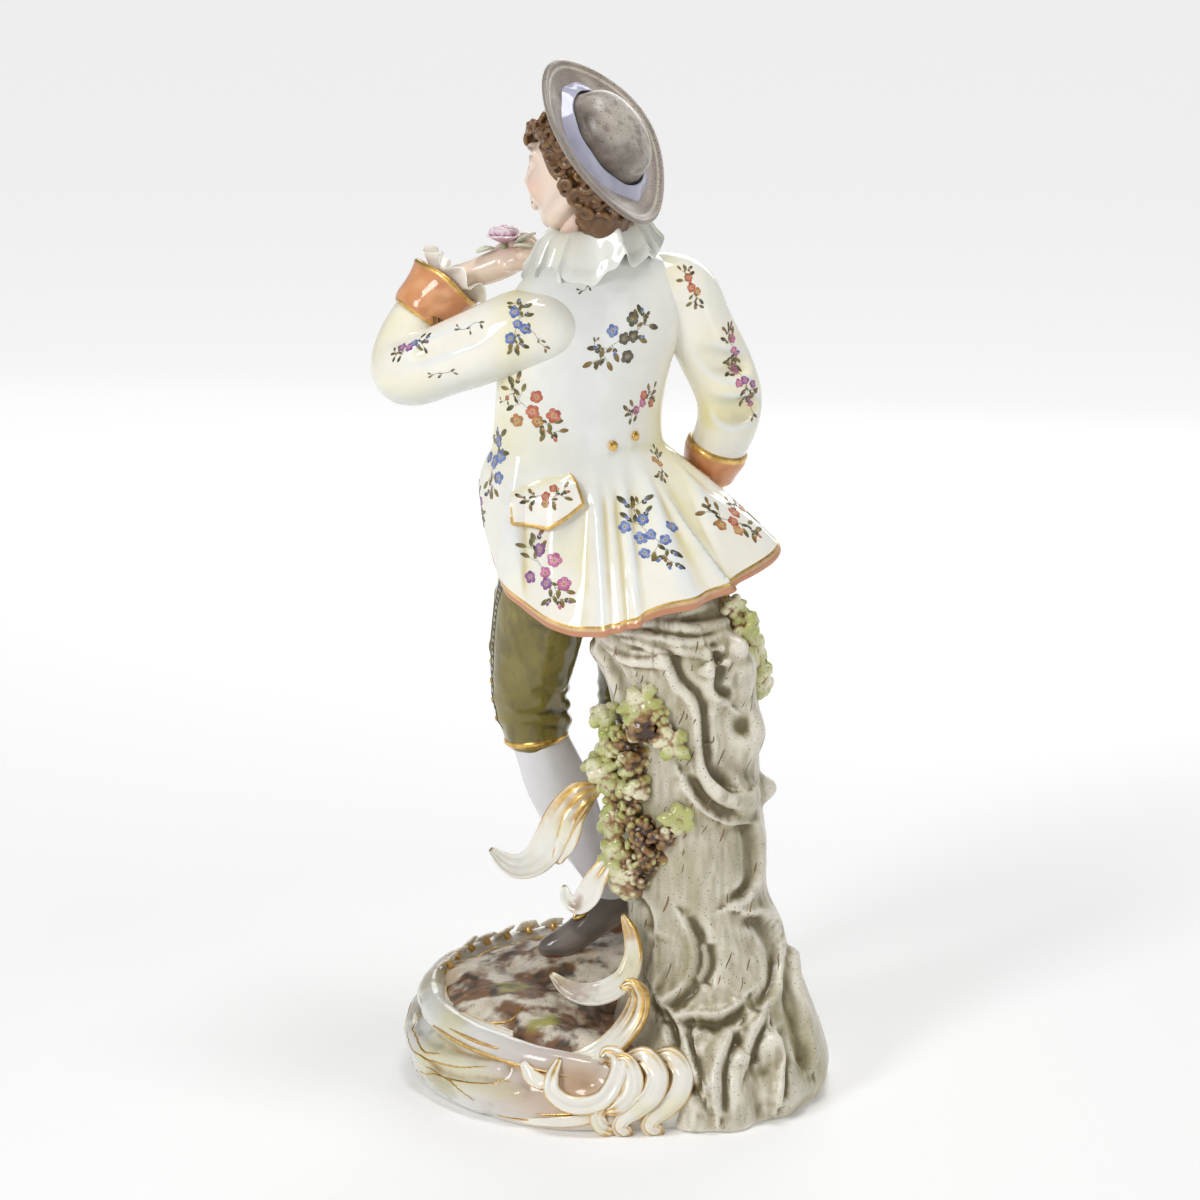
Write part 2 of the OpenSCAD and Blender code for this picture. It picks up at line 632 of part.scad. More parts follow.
rose_c = [-38, 15, 336.5];
module rose_solid() {
    translate(rose_c) {
        scale([1, 1, 0.85]) sphere(r = 4.2, $fn = 10);
        for (i = [0:4]) rotate([0, 0, i * 72]) translate([3.4, 0, -0.6])
            rotate([0, -35, 0]) scale([1, 1.1, 0.45]) sphere(r = 3.1, $fn = 8);
    }
    chain([concat(rose_c - [0, 0, 2], [1.3]), [-36, 15, 329, 1.1]], 6);
}
module rose() color("pink") carved() rose_solid();
module rose_leaves() color("white") carved()
    for (l = [[[-42, 14, 333], [-48, 12, 331]], [[-33, 14, 334], [-26, 12, 339]],
        [[-36, 18, 333], [-34, 25, 336]]])
    leaf(l[0], l[1], [0, 0, 1], 6, 1.4);

// Head and hat ---------------------------------------------------------------------------------

neck_line = [[-3, 1, 332], [-8, 2, 345]];
spigot_z = 323;                                // lower end of the neck's spigot
module neck_solid(grow = 0) along(neck_line) cylinder(r = neck_r + grow, h = span(neck_line) + 4, $fn = 48);
// Neck cast with a round spigot that seats in the shoulders.
module neck() color("bisque") {
    difference() {
        neck_solid();
        translate([-3, 1, 314.2]) cylinder(r = 24, h = 20, $fn = 48);
    }
    translate([-3, 1, spigot_z]) cylinder(r = neck_r - 2.1, h = 14, $fn = 48);
}

// Head sections along the vertical: [height above the centre, forward shift, half length, half width].
head_sections = [[-24, 8, 4.5, 6], [-21, 6.5, 9, 9.5], [-15, 3.5, 14.5, 13.5], [-7, 1.2, 19, 16.5],
    [2, 0.4, 21, 18],
    [11, -0.8, 21, 18.5], [18, -2, 18, 16.5], [23, -3, 12, 11.5], [25.5, -3.5, 5, 5]];
module head_solid() skin([for (s = head_sections) ring(head_c + [0, 0, s[0] * head_scale] + face_dir * s[1],
    face_dir * (s[2] * head_scale), face_side * (s[3] * head_scale), 20)]);
module head() color("bisque") carved() difference() {
    union() {
        head_solid();
        // Nose, brow and ears
        chain([concat(head_c + face_dir * 20 + [0, 0, 4], [1.6]), concat(head_c + face_dir * 23 + [0,
            0, -4], [2])], 10);
        for (s = [-1, 1]) translate(head_c + face_side * (s * 17.2) - face_dir * 1 + [0, 0,
            -2]) sphere(r = 4, $fn = 8);
    }
    neck_solid();
}

// Curls over a thin cap of hair that covers the head behind the face.
module hair() {
    color("saddlebrown") carved() difference() {
        union() {
            difference() {
                skin([for (s = [[-21, 6.5, 12, 12], [-12, 2, 20, 18.5], [2, 0.4, 23.5, 21],
                    [12, -0.8, 23.5, 21],
                        [20, -2, 19, 17.5], [27, -3.5, 6, 6]])
                    ring(head_c + [0, 0, s[0]] + face_dir * s[1], face_dir * s[2], face_side * s[3], 20)]);
                // Face, jaw and nape left bare
                translate(head_c + face_dir * 23 + [0, 0, -12]) rotate([0, 0, 150]) rotate([0, 24, 0])
                    cube([36, 60, 56], center = true);
                translate(head_c + [0, 0, -30]) cube([70, 70, 24], center = true);
            }
            for (row = [0:2]) for (i = [0:4])
                let (spread = 88 - row * 16, a = -spread + i * spread / 2, z = 8 - row * 11)
                translate(head_c + [0, 0, z] - face_dir * ((21 - row) * cos(a)) + face_side * (20 * sin(a)))
                    sphere(r = 6, $fn = 8);
            for (i = [0:4]) let (a = -72 + i * 36)
                translate(head_c + [0, 0, 17 + 3 * cos(a)] + face_dir * (15 * cos(a))
                    + face_side * (16.5 * sin(a))) sphere(r = 5, $fn = 8);
        }
        head_solid();
        neck_solid();
        hat_core();
    }
}

// Places its children with +Z out of the hat's crown and +X up over the brow.
module on_hat() multmatrix([[hat_u.x, hat_w.x, hat_n.x, hat_c.x], [hat_u.y, hat_w.y, hat_n.y, hat_c.y],
    [hat_u.z, hat_w.z, hat_n.z, hat_c.z], [0, 0, 0, 1]]) children();
module hat_core() on_hat() translate([0, 0, -1.3]) cylinder(r = brim_r, h = 20, $fn = 24);

// Oval on the hat: half lengths kx and ky of the crown's own.
function crown_ring(z, k, grow = 0) = ring([0, 0, z], [crown_r * k + grow, 0, 0],
    [0, crown_r * 0.8 * k + grow, 0], 28);

// Brim: a disc whose sides roll up, seated on the hair.
function brim_rings(lift, order) = [for (r = order) [for (i = [0:31]) let (a = i * 11.25,
    e = pow(r / brim_r, 2))
    [r * cos(a), r * sin(a) * (sin(a) < 0 ? mix(1, 0.8, e) : 1),
        lift + (sin(a) < 0 ? 1.5 : 4) * e * pow(sin(a), 2) + 1.2 * e * sin(3 * a)]]];
module hat_brim() color("tan") on_hat() carved() difference() {
    skin(concat(brim_rings(-1.2, [crown_r * 0.4, crown_r + 2, brim_r - 6, brim_r]),
        brim_rings(1.2, [brim_r, brim_r - 6, crown_r + 2, crown_r * 0.4])));
    skin([crown_ring(-4, 0.6), crown_ring(6, 0.6)]);
    skin([crown_ring(1.2, 1, 4.4), crown_ring(8, 1, 6)]);
}
module hat_crown() color("tan") on_hat() carved()
    skin([for (p = [[1.3, 0.97], [3, 1], [6, 0.97], [9.5, 0.86], [12.5, 0.68], [14.8, 0.42],
        [crown_h + 4, 0.12]]) crown_ring(p[0], p[1])]);
module hat_ribbon() color("lavender") on_hat() carved() difference() {
    skin([crown_ring(1.3, 1, 4.2), crown_ring(2.2, 1, 4), crown_ring(3.6, 1, 0.6)]);
    skin([crown_ring(0, 0.96), crown_ring(1.3, 0.97), crown_ring(3, 1), crown_ring(6, 1)]);
}

// Ruff: a standing frill of deep folds round the neck.
ruff_c = [-3, 1, 0];
function ruff_ring(z, k, wave, phase) = [for (i = [0:47]) let (a = i * 7.5,
    w = 1 + wave * sin(7 * a + phase))
    ruff_c + [0, 0, z + wave * (20 * sin(7 * a + phase + 60) + 30 * cos(a))]
        + e_r * (ruff_r * k * w * cos(a)) + e_f * (ruff_r * 0.74 * k * w * sin(a))];
module neck_ruff() color("white") carved() difference() {
    skin([ruff_ring(322, 0.9, 0.03, 0), ruff_ring(328, 1, 0.05, 0), ruff_ring(338, 1.03, 0.1, 20)]);
    skin([ruff_ring(316, 0.5, 0, 0), ruff_ring(331, 0.62, 0.03, 0), ruff_ring(341, 0.97, 0.1, 20)]);
    torso_solid();
}

base_casting();
base_floor();
ground_mound();
stump_root();
tree_stump();
rim_scroll_left();
rim_scroll_near();
rim_scroll_front();
rim_scroll_right();
shell_foot_near();
shell_foot_front();
curl_by_shoe();
stump_tendril();
small_tendril();
rim_garland();
foliage_top();
foliage_middle();
foliage_lower();
foliage_right();
left_shoe();
right_shoe();
shoe_buckles();
left_stocking();
right_stocking();
knee_bands();
left_breeches();
right_breeches();
breeches_seat();
waistcoat();
waistcoat_buttons();
jabot();
coat_back();
coat_skirt();
coat_left_front();
coat_right_front();
back_buttons();
pocket_flaps();
left_upper_sleeve();
left_forearm();
left_cuff();
left_wrist_frill();
left_hand();
right_upper_sleeve();
right_forearm();
right_cuff();
right_wrist_frill();
right_hand();
rose();
rose_leaves();
neck_ruff();
neck();
head();
hair();
hat_brim();
hat_crown();
hat_ribbon();
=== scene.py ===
"""Looks of the porcelain gallant: glazed castings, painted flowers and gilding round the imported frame.

Lengths are in millimetres until add() turns them into metres. Shapes are cast from clay (a distance field),
spun as sheets over a grid, or swept along a few chosen points, and every surface is painted by rules."""

import math

import bpy
import numpy as np
import openvdb as vdb
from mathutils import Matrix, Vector
from mathutils.bvhtree import BVHTree


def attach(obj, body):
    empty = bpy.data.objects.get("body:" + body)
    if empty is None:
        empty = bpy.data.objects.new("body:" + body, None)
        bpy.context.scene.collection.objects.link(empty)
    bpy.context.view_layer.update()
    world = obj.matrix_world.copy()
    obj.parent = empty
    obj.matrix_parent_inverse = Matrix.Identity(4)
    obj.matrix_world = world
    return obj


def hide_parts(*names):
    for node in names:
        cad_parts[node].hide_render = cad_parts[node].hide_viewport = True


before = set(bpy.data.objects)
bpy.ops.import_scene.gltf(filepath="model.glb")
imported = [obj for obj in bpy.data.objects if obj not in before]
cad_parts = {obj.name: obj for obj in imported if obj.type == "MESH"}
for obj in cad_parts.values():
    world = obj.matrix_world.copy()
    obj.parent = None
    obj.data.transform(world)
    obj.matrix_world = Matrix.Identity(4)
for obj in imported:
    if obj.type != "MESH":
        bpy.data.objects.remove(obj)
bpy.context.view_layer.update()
MM = 0.001
UP = np.array([0.0, 0.0, 1.0])

# -------------------------------------------------------------------------------------- numbers and colours


def unit(v):
    v = np.asarray(v, float)
    return v / np.maximum(np.linalg.norm(v, axis=-1, keepdims=True), 1e-9)


def mix(a, b, t):
    return a * (1 - t) + b * t


def ramp(x, low, high):
    """0 below low, 1 above high, smooth between."""
    t = np.clip((x - low) / (high - low), 0, 1)
    return t * t * (3 - 2 * t)


def bump(x, centre, width):
    return np.exp(-(((x - centre) / width) ** 2))


def tint(code):
    """A colour such as E9EBE6 as the linear values a shader takes."""
    s = np.array([int(code[i : i + 2], 16) for i in (0, 2, 4)]) / 255
    return np.where(s < 0.04045, s / 12.92, ((s + 0.055) / 1.055) ** 2.4)


def wash(under, over, amount):
    """One colour laid over another, as much as amount says at each point. A colour may be a code."""
    under, over = (tint(c) if isinstance(c, str) else c for c in (under, over))
    return mix(under, over, np.asarray(amount)[:, None])


def circle(n):
    """n angles round a circle."""
    return np.linspace(0, 2 * math.pi, n, endpoint=False)


WHITE, BLUE_WHITE, LEMON = tint("F6F3E8"), tint("E6EBEE"), tint("E9DFA0")
SALMON, ORANGE, RUST = tint("C98A63"), tint("D3905F"), tint("A9642F")
OLIVE, OLIVE_DARK, OLIVE_PALE = tint("766A22"), tint("413912"), tint("928544")
FLESH, BLUSH, LIPS = tint("EED8C6"), tint("E09A83"), tint("C4605A")
BROWN, DARK = tint("6A4425"), tint("2B1A10")
PINK, BLUSH_WHITE = tint("CE93AE"), tint("E5D9CF")
GOLD = (0.83, 0.56, 0.17)

LATTICE = np.random.default_rng(7).random((32, 32, 32)).astype(np.float32) * 2 - 1


def noise(p, size, shift=0.0):
    """Smooth noise from -1 to 1 at points p, with lumps of the given size."""
    q = np.asarray(p, float) / size + shift * 3.71 + 100.0
    cell = np.floor(q).astype(int)
    f = q - cell
    f = f * f * (3 - 2 * f)
    total = 0.0
    for i in (0, 1):
        for j in (0, 1):
            for k in (0, 1):
                w = (f[..., 0] if i else 1 - f[..., 0]) * (f[..., 1] if j else 1 - f[..., 1])
                w = w * (f[..., 2] if k else 1 - f[..., 2])
                total = (total
                         + w
                         * LATTICE[(cell[..., 0] + i) & 31, (cell[..., 1] + j) & 31, (cell[..., 2] + k) & 31])
    return total


def rough_noise(p, size, octaves=3, shift=0.0):
    return sum(noise(p, size / 2**k, shift + k) * 0.55**k for k in range(octaves))


def patches(p, size, low, high, octaves=3, shift=0.0):
    """Blotches of the given size: 0 where rough_noise is under low, 1 where it is over high."""
    return ramp(rough_noise(p, size, octaves, shift), low, high)


def spread(points, n):
    """n points along a smooth curve through the given ones. Extra columns, such as radii, go along."""
    p = np.asarray(points, float)
    ends = np.vstack([2 * p[0] - p[1], p, 2 * p[-1] - p[-2]])
    step = np.sqrt(np.linalg.norm(np.diff(ends[:, :3], axis=0), axis=1)) + 1e-6
    knots = np.concatenate([[0], np.cumsum(step)])
    at = np.linspace(knots[1], knots[-2], n)
    out = []
    for t in at:
        i = int(np.clip(np.searchsorted(knots, t, "right") - 1, 1, len(ends) - 3))
        p0, p1, p2, p3 = ends[i - 1 : i + 3]
        t0, t1, t2, t3 = knots[i - 1 : i + 3]
        a1 = p0 + (p1 - p0) * (t - t0) / (t1 - t0)
        a2 = p1 + (p2 - p1) * (t - t1) / (t2 - t1)
        a3 = p2 + (p3 - p2) * (t - t2) / (t3 - t2)
        b1 = a1 + (a2 - a1) * (t - t0) / (t2 - t0)
        b2 = a2 + (a3 - a2) * (t - t1) / (t3 - t1)
        out.append(b1 + (b2 - b1) * (t - t1) / (t2 - t1))
    return np.array(out)


# --------------------------------------------------------------------------------------------------- meshes


def normals(v, f):
    d1 = v[f[:, 2]] - v[f[:, 0]]
    d2 = v[f[:, -1]] - v[f[:, 1]] if f.shape[1] == 4 else v[f[:, 1]] - v[f[:, 0]]
    face = np.cross(d1, d2) if f.shape[1] == 4 else np.cross(d2, d1)
    out = np.zeros_like(v)
    for axis in range(3):
        for corner in range(f.shape[1]):
            out[:, axis] += np.bincount(f[:, corner], face[:, axis], len(v))
    return unit(out)


def relaxed(v, f, rounds, share=0.5, keep=None):
    """v after some rounds of moving each point towards the mean of its neighbours."""
    a = np.concatenate([f[:, k] for k in range(f.shape[1])])
    b = np.concatenate([f[:, (k + 1) % f.shape[1]] for k in range(f.shape[1])])
    a, b = np.concatenate([a, b]), np.concatenate([b, a])
    count = np.maximum(np.bincount(a, minlength=len(v)), 1)
    for _ in range(rounds):
        mean = np.stack([np.bincount(a, v[b, k], len(v)) / count for k in range(3)], 1)
        moved = mix(v, mean, share)
        v = moved if keep is None else mix(moved, v, keep[:, None])
    return v


def hollows(v, f, rounds=8):
    """How deep each point sits in a hollow: 1 for the surface's deeper hollows, -1 on its sharper ridges."""
    d = ((relaxed(v, f, rounds) - v) * normals(v, f)).sum(1)
    return d / max(np.percentile(np.abs(d), 93), 1e-4)


def add(name, v, f, material, nodes=(), paint=None, gilt=None):
    """Makes the object. paint is a colour and gilt a 0..1 amount of gold for each point."""
    v = np.asarray(v, float)
    f = np.asarray(f)
    if f.shape[1] == 4:
        f = outward(v, f)
    mesh = bpy.data.meshes.new(name)
    mesh.vertices.add(len(v))
    mesh.vertices.foreach_set("co", (v * MM).astype(np.float32).ravel())
    mesh.loops.add(f.size)
    mesh.loops.foreach_set("vertex_index", f.astype(np.int32).ravel())
    mesh.polygons.add(len(f))
    mesh.polygons.foreach_set("loop_start", np.arange(0, f.size, f.shape[1], dtype=np.int32))
    mesh.polygons.foreach_set("use_smooth", np.ones(len(f), bool))
    mesh.update(calc_edges=True)
    mesh.validate()
    colours = np.ones((len(v), 4), np.float32)
    colours[:, :3] = WHITE if paint is None else paint
    mesh.color_attributes.new("paint", "FLOAT_COLOR", "POINT").data.foreach_set("color", colours.ravel())
    amount = np.zeros(len(v), np.float32) if gilt is None else np.clip(gilt, 0, 1).astype(np.float32)
    mesh.attributes.new("gilt", "FLOAT", "POINT").data.foreach_set("value", amount)
    mesh.materials.append(material)
    o = bpy.data.objects.new(name, mesh)
    bpy.context.scene.collection.objects.link(o)
    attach(o, "root")
    if nodes:
        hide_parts(*nodes)


def outward(v, f):
    """Faces turned so that a closed mesh's normals point out."""
    volume = (v[f[:, 0]] * np.cross(v[f[:, 1]], v[f[:, 2]])).sum()
    if f.shape[1] == 4:
        volume += (v[f[:, 0]] * np.cross(v[f[:, 2]], v[f[:, 3]])).sum()
    return f if volume > 0 else f[:, ::-1]


def grid_faces(rows, columns, closed=False):
    c = columns if closed else columns - 1
    i, j = np.meshgrid(np.arange(rows - 1), np.arange(c), indexing="ij")
    k = (j + 1) % columns
    a, b, d, e = i * columns + j, i * columns + k, (i + 1) * columns + k, (i + 1) * columns + j
    return np.stack([a, b, d, e], -1).reshape(-1, 4)


def sheet(front, back, rim=2):
    """A closed sheet between two equal grids, with its edges rounded by the rim's extra rows.
    Returns points, faces, and for each point how far across the thickness it is: 0 front, 1 back."""
    rows, columns = front.shape[:2]
    ring_ids = ([(0, j) for j in range(columns)] + [(i, columns - 1) for i in range(1, rows)]
                + [(rows - 1, j) for j in range(columns - 2, -1, -1)]
                + [(i, 0) for i in range(rows - 2, 0, -1)])
    v = [front.reshape(-1, 3), back.reshape(-1, 3)]
    depth = [np.zeros(rows * columns), np.ones(rows * columns)]
    n = rows * columns
    faces = [grid_faces(rows, columns), grid_faces(rows, columns)[:, ::-1] + n]
    ids = np.array([i * columns + j for i, j in ring_ids])
    a, b = v[0][ids], v[1][ids]
    inner = np.array([min(max(i, 1), rows - 2) * columns + min(max(j, 1), columns - 2) for i, j in ring_ids])
    away = unit((a - v[0][inner]) + (b - v[1][inner]))
    thick = np.linalg.norm(a - b, axis=1, keepdims=True)
    loops = [ids]
    start = 2 * n
    for k in range(rim):
        t = (k + 1) / (rim + 1)
        v.append(mix(a, b, t) + away * thick * 0.5 * math.sin(math.pi * t))
        depth.append(np.full(len(ids), t))
        loops.append(np.arange(len(ids)) + start)
        start += len(ids)
    loops.append(ids + n)
    for low, high in zip(loops[:-1], loops[1:]):
        faces.append(np.stack([np.roll(low, -1), low, high, np.roll(high, -1)], 1))
    v, f = np.vstack(v), np.vstack(faces)
    return v, outward(v, f), np.concatenate(depth)


class Clay:
    """A block of clay: distances on a grid, built up and carved inside small boxes."""

    FAR = 6.0

    def __init__(self, low, high, cell):
        self.low, self.cell = np.array(low, float), cell
        self.n = np.ceil((np.array(high, float) - self.low) / cell).astype(int) + 1
        self.d = np.full(self.n, self.FAR, np.float32)

    def window(self, low, high):
        a = np.clip(np.floor((np.array(low) - self.low) / self.cell).astype(int), 0, self.n)
        b = np.clip(np.ceil((np.array(high) - self.low) / self.cell).astype(int) + 1, 0, self.n)
        axes = [self.low[k] + self.cell * np.arange(a[k], b[k]) for k in range(3)]
        where = tuple(slice(a[k], b[k]) for k in range(3))
        x, y, z = (axes[k].astype(np.float32).reshape([-1 if m == k else 1 for m in range(3)])
                   for k in range(3))
        return where, x, y, z

    def add(self, shape, low, high, melt=0.0, carve=False):
        where, x, y, z = self.window(low, high)
        if 0 in self.d[where].shape:
            return
        new, old = shape(x, y, z), self.d[where]
        self.d[where] = -self.join(-old, new, melt) if carve else self.join(old, new, melt)

    @staticmethod
    def join(a, b, melt):
        if melt <= 0:
            return np.minimum(a, b)
        h = np.maximum(melt - np.abs(a - b), 0) / melt
        return np.minimum(a, b) - h * h * melt * 0.25

    def link(self, a, b, ra, rb, melt=0.0, carve=False, squash=None):
        """A rounded, tapered link. squash is (direction, factor) to flatten it across that direction."""
        a, b = np.array(a, float), np.array(b, float)
        reach = max(ra, rb) + melt + 2 * self.cell
        ba = b - a
        length = max(float(ba @ ba), 1e-6)

        def shape(x, y, z):
            px, py, pz = x - a[0], y - a[1], z - a[2]
            h = np.clip((px * ba[0] + py * ba[1] + pz * ba[2]) / length, 0, 1)
            qx, qy, qz = px - ba[0] * h, py - ba[1] * h, pz - ba[2] * h
            if squash is None:
                return np.sqrt(qx * qx + qy * qy + qz * qz) - (ra + (rb - ra) * h)
            s, k = squash
            along = qx * s[0] + qy * s[1] + qz * s[2]
            more = (1 / k - 1) * along
            qx, qy, qz = qx + more * s[0], qy + more * s[1], qz + more * s[2]
            return (np.sqrt(qx * qx + qy * qy + qz * qz) - (ra + (rb - ra) * h)) * (k + 1) / 2

        self.add(shape, np.minimum(a, b) - reach, np.maximum(a, b) + reach, melt, carve)

    def rope(self, stations, melt=0.0, carve=False, squash=None):
        s = np.asarray(stations, float)
        for p, q in zip(s[:-1], s[1:]):
            self.link(p[:3], q[:3], p[3], q[3], melt, carve, squash)

    def ball(self, c, r, melt=0.0, carve=False, squash=None):
        self.link(c, np.asarray(c, float) + [0, 0, 0.01], r, r, melt, carve, squash)

    def egg(self, c, radii, axes=None, melt=0.0, carve=False):
        """An ellipsoid with its half lengths along three axes."""
        c, radii = np.array(c, float), np.array(radii, float)
        axes = np.eye(3) if axes is None else np.array(axes, float)
        reach = radii.max() + melt + 2 * self.cell

        def shape(x, y, z):
            k0 = k1 = 0
            for axis, r in zip(axes, radii):
                q = ((x - c[0]) * axis[0] + (y - c[1]) * axis[1] + (z - c[2]) * axis[2]) / r
                k0 = k0 + q * q
                k1 = k1 + (q / r) ** 2
            k0 = np.sqrt(k0)
            return k0 * (k0 - 1) / np.maximum(np.sqrt(k1), 1e-6)

        self.add(shape, c - reach, c + reach, melt, carve)

    def cut_below(self, height):
        z = self.low[2] + self.cell * np.arange(self.n[2])
        self.d = np.maximum(self.d, (height - z)[None, None, :].astype(np.float32))

    def mesh(self, smooth=2):
        grid = vdb.FloatGrid(self.FAR)
        grid.copyFromArray(np.ascontiguousarray(np.clip(self.d, -self.FAR, self.FAR), dtype=np.float32))
        points, quads = grid.convertToQuads(0.0)
        v = self.low + self.cell * points.astype(float)
        f = outward(v, quads.astype(int))
        return relaxed(v, f, smooth), f


def carved_out(v, f, amount):
    """v pushed in or out along its normals by amount, in millimetres."""
    return v + normals(v, f) * np.asarray(amount)[:, None]


# ------------------------------------------------------------------------------------------------ materials


def node_in(tree, kind, **values):
    n = tree.nodes.new(kind)
    for k, value in values.items():
        setattr(n, k, value)
    return n


def spanned(tree, source, low, high, to_low, to_high):
    """A socket's value carried from one range to another."""
    r = node_in(tree, "ShaderNodeMapRange")
    for socket, value in zip(("From Min", "From Max", "To Min", "To Max"), (low, high, to_low, to_high)):
        r.inputs[socket].default_value = value
    tree.links.new(source, r.inputs["Value"])
    return r.outputs["Result"]


def glaze(name, gloss=0.08, under=0.45, mottle=0.05, speck=0.0, wave=0.12, grain=0.0, coat=1.0):
    """Painted porcelain under a clear glaze: mottle is the colour's unevenness, speck the share of kiln
    specks, wave the glaze's soft ripple and grain a finer tooth in the bisque."""
    m = bpy.data.materials.new(name)
    m.use_nodes = True
    t = m.node_tree
    t.nodes.clear()
    out = node_in(t, "ShaderNodeOutputMaterial")
    b = node_in(t, "ShaderNodeBsdfPrincipled")
    t.links.new(b.outputs[0], out.inputs[0])
    place = node_in(t, "ShaderNodeTexCoord")
    paint = node_in(t, "ShaderNodeAttribute", attribute_name="paint")
    gilt = node_in(t, "ShaderNodeAttribute", attribute_name="gilt")

    def cloud(scale, detail=3.0):
        n = node_in(t, "ShaderNodeTexNoise")
        n.inputs["Scale"].default_value = scale
        n.inputs["Detail"].default_value = detail
        t.links.new(place.outputs["Object"], n.inputs["Vector"])
        return n

    def mixed(kind, factor, a, c):
        n = node_in(t, "ShaderNodeMix", data_type="RGBA", blend_type=kind)
        for socket, value in ((n.inputs["Factor"], factor), (n.inputs[6], a), (n.inputs[7], c)):
            if isinstance(value, bpy.types.NodeSocket):
                t.links.new(value, socket)
            else:
                socket.default_value = value
        return n.outputs[2]

    shade = spanned(t, cloud(170.0).outputs["Fac"], 0.3, 0.7, 1 - mottle, 1 + mottle * 0.4)
    grey = node_in(t, "ShaderNodeCombineColor")
    for k in range(3):
        t.links.new(shade, grey.inputs[k])
    colour = mixed("MULTIPLY", 1.0, paint.outputs["Color"], grey.outputs[0])
    if speck:
        dots = spanned(t, cloud(1500.0, 0.0).outputs["Fac"], 0.76 - speck * 0.1, 0.80 - speck * 0.1, 0.0,
                       0.75)
        colour = mixed("MIX", dots, colour, (0.09, 0.065, 0.04, 1))
    gold_tone = mixed("MIX", spanned(t, cloud(420.0).outputs["Fac"], 0.35, 0.65, 0, 1), (0.62, 0.36, 0.08, 1),
                      (*GOLD, 1))
    colour = mixed("MIX", gilt.outputs["Fac"], colour, gold_tone)
    t.links.new(colour, b.inputs["Base Color"])
    t.links.new(gilt.outputs["Fac"], b.inputs["Metallic"])
    t.links.new(spanned(t, cloud(260.0).outputs["Fac"], 0.3, 0.7, under - 0.08, under + 0.08),
                b.inputs["Roughness"])
    b.inputs["Specular IOR Level"].default_value = 0.25
    b.inputs["Coat Weight"].default_value = coat
    b.inputs["Coat Roughness"].default_value = gloss
    b.inputs["Coat IOR"].default_value = 1.5
    height = cloud(90.0, 1.0).outputs["Fac"]
    ripple = node_in(t, "ShaderNodeBump")
    ripple.inputs["Strength"].default_value = wave
    ripple.inputs["Distance"].default_value = 0.0012
    t.links.new(height, ripple.inputs["Height"])
    t.links.new(ripple.outputs[0], b.inputs["Coat Normal"])
    if grain:
        tooth = node_in(t, "ShaderNodeBump")
        tooth.inputs["Strength"].default_value = grain
        tooth.inputs["Distance"].default_value = 0.0006
        t.links.new(cloud(900.0, 4.0).outputs["Fac"], tooth.inputs["Height"])
        t.links.new(ripple.outputs[0], tooth.inputs["Normal"])
        t.links.new(tooth.outputs[0], b.inputs["Normal"])
        t.links.new(tooth.outputs[0], b.inputs["Coat Normal"])
    else:
        t.links.new(ripple.outputs[0], b.inputs["Normal"])
    return m


PORCELAIN = glaze("porcelain", mottle=0.03)
COAT = glaze("coat_glaze", mottle=0.03, gloss=0.06)
FLESH_GLAZE = glaze("flesh_glaze", mottle=0.03, wave=0.06)
ENAMEL = glaze("enamel", under=0.5, mottle=0.16, gloss=0.16, wave=0.05, coat=0.7)
CLOTH = glaze("breeches_glaze", mottle=0.10, speck=0.2, gloss=0.12)
HAT = glaze("hat_glaze", mottle=0.12, speck=0.55, gloss=0.22, grain=0.25, coat=0.6)
HAIR = glaze("hair_glaze", mottle=0.12, gloss=0.2, grain=0.15, coat=0.7)
BARK = glaze("bark_glaze", mottle=0.08, speck=0.2, gloss=0.2, grain=0.18, coat=0.6)
GROUND = glaze("ground_glaze", mottle=0.15, speck=0.2, gloss=0.2, under=0.7, grain=0.3, coat=0.2)
FOLIAGE = glaze("foliage_glaze", mottle=0.12, speck=0.25, gloss=0.13)
GILT = glaze("gilt", under=0.28, mottle=0.1, gloss=0.15, coat=0.3)
BISCUIT = glaze("biscuit", under=0.8, mottle=0.08, speck=0.4, gloss=0.5, grain=0.5, coat=0.0)


# ----------------------------------------------------------------------------------------- shared sculpting


def curve_at(keys, values, x):
    """Smooth values through the keys, held beyond the ends."""
    keys, values = np.asarray(keys, float), np.asarray(values, float)
    slope = np.gradient(values, keys, axis=0)
    x = np.clip(x, keys[0], keys[-1])
    i = np.clip(np.searchsorted(keys, x, "right") - 1, 0, len(keys) - 2)
    h = keys[i + 1] - keys[i]
    t = (x - keys[i]) / h
    if values.ndim > 1:
        h, t = h[..., None], t[..., None]
    a, b = values[i], values[i + 1]
    return (a * (2 * t**3 - 3 * t * t + 1) + b * (3 * t * t - 2 * t**3)
            + slope[i] * h * (t**3 - 2 * t * t + t) + slope[i + 1] * h * (t**3 - t * t))


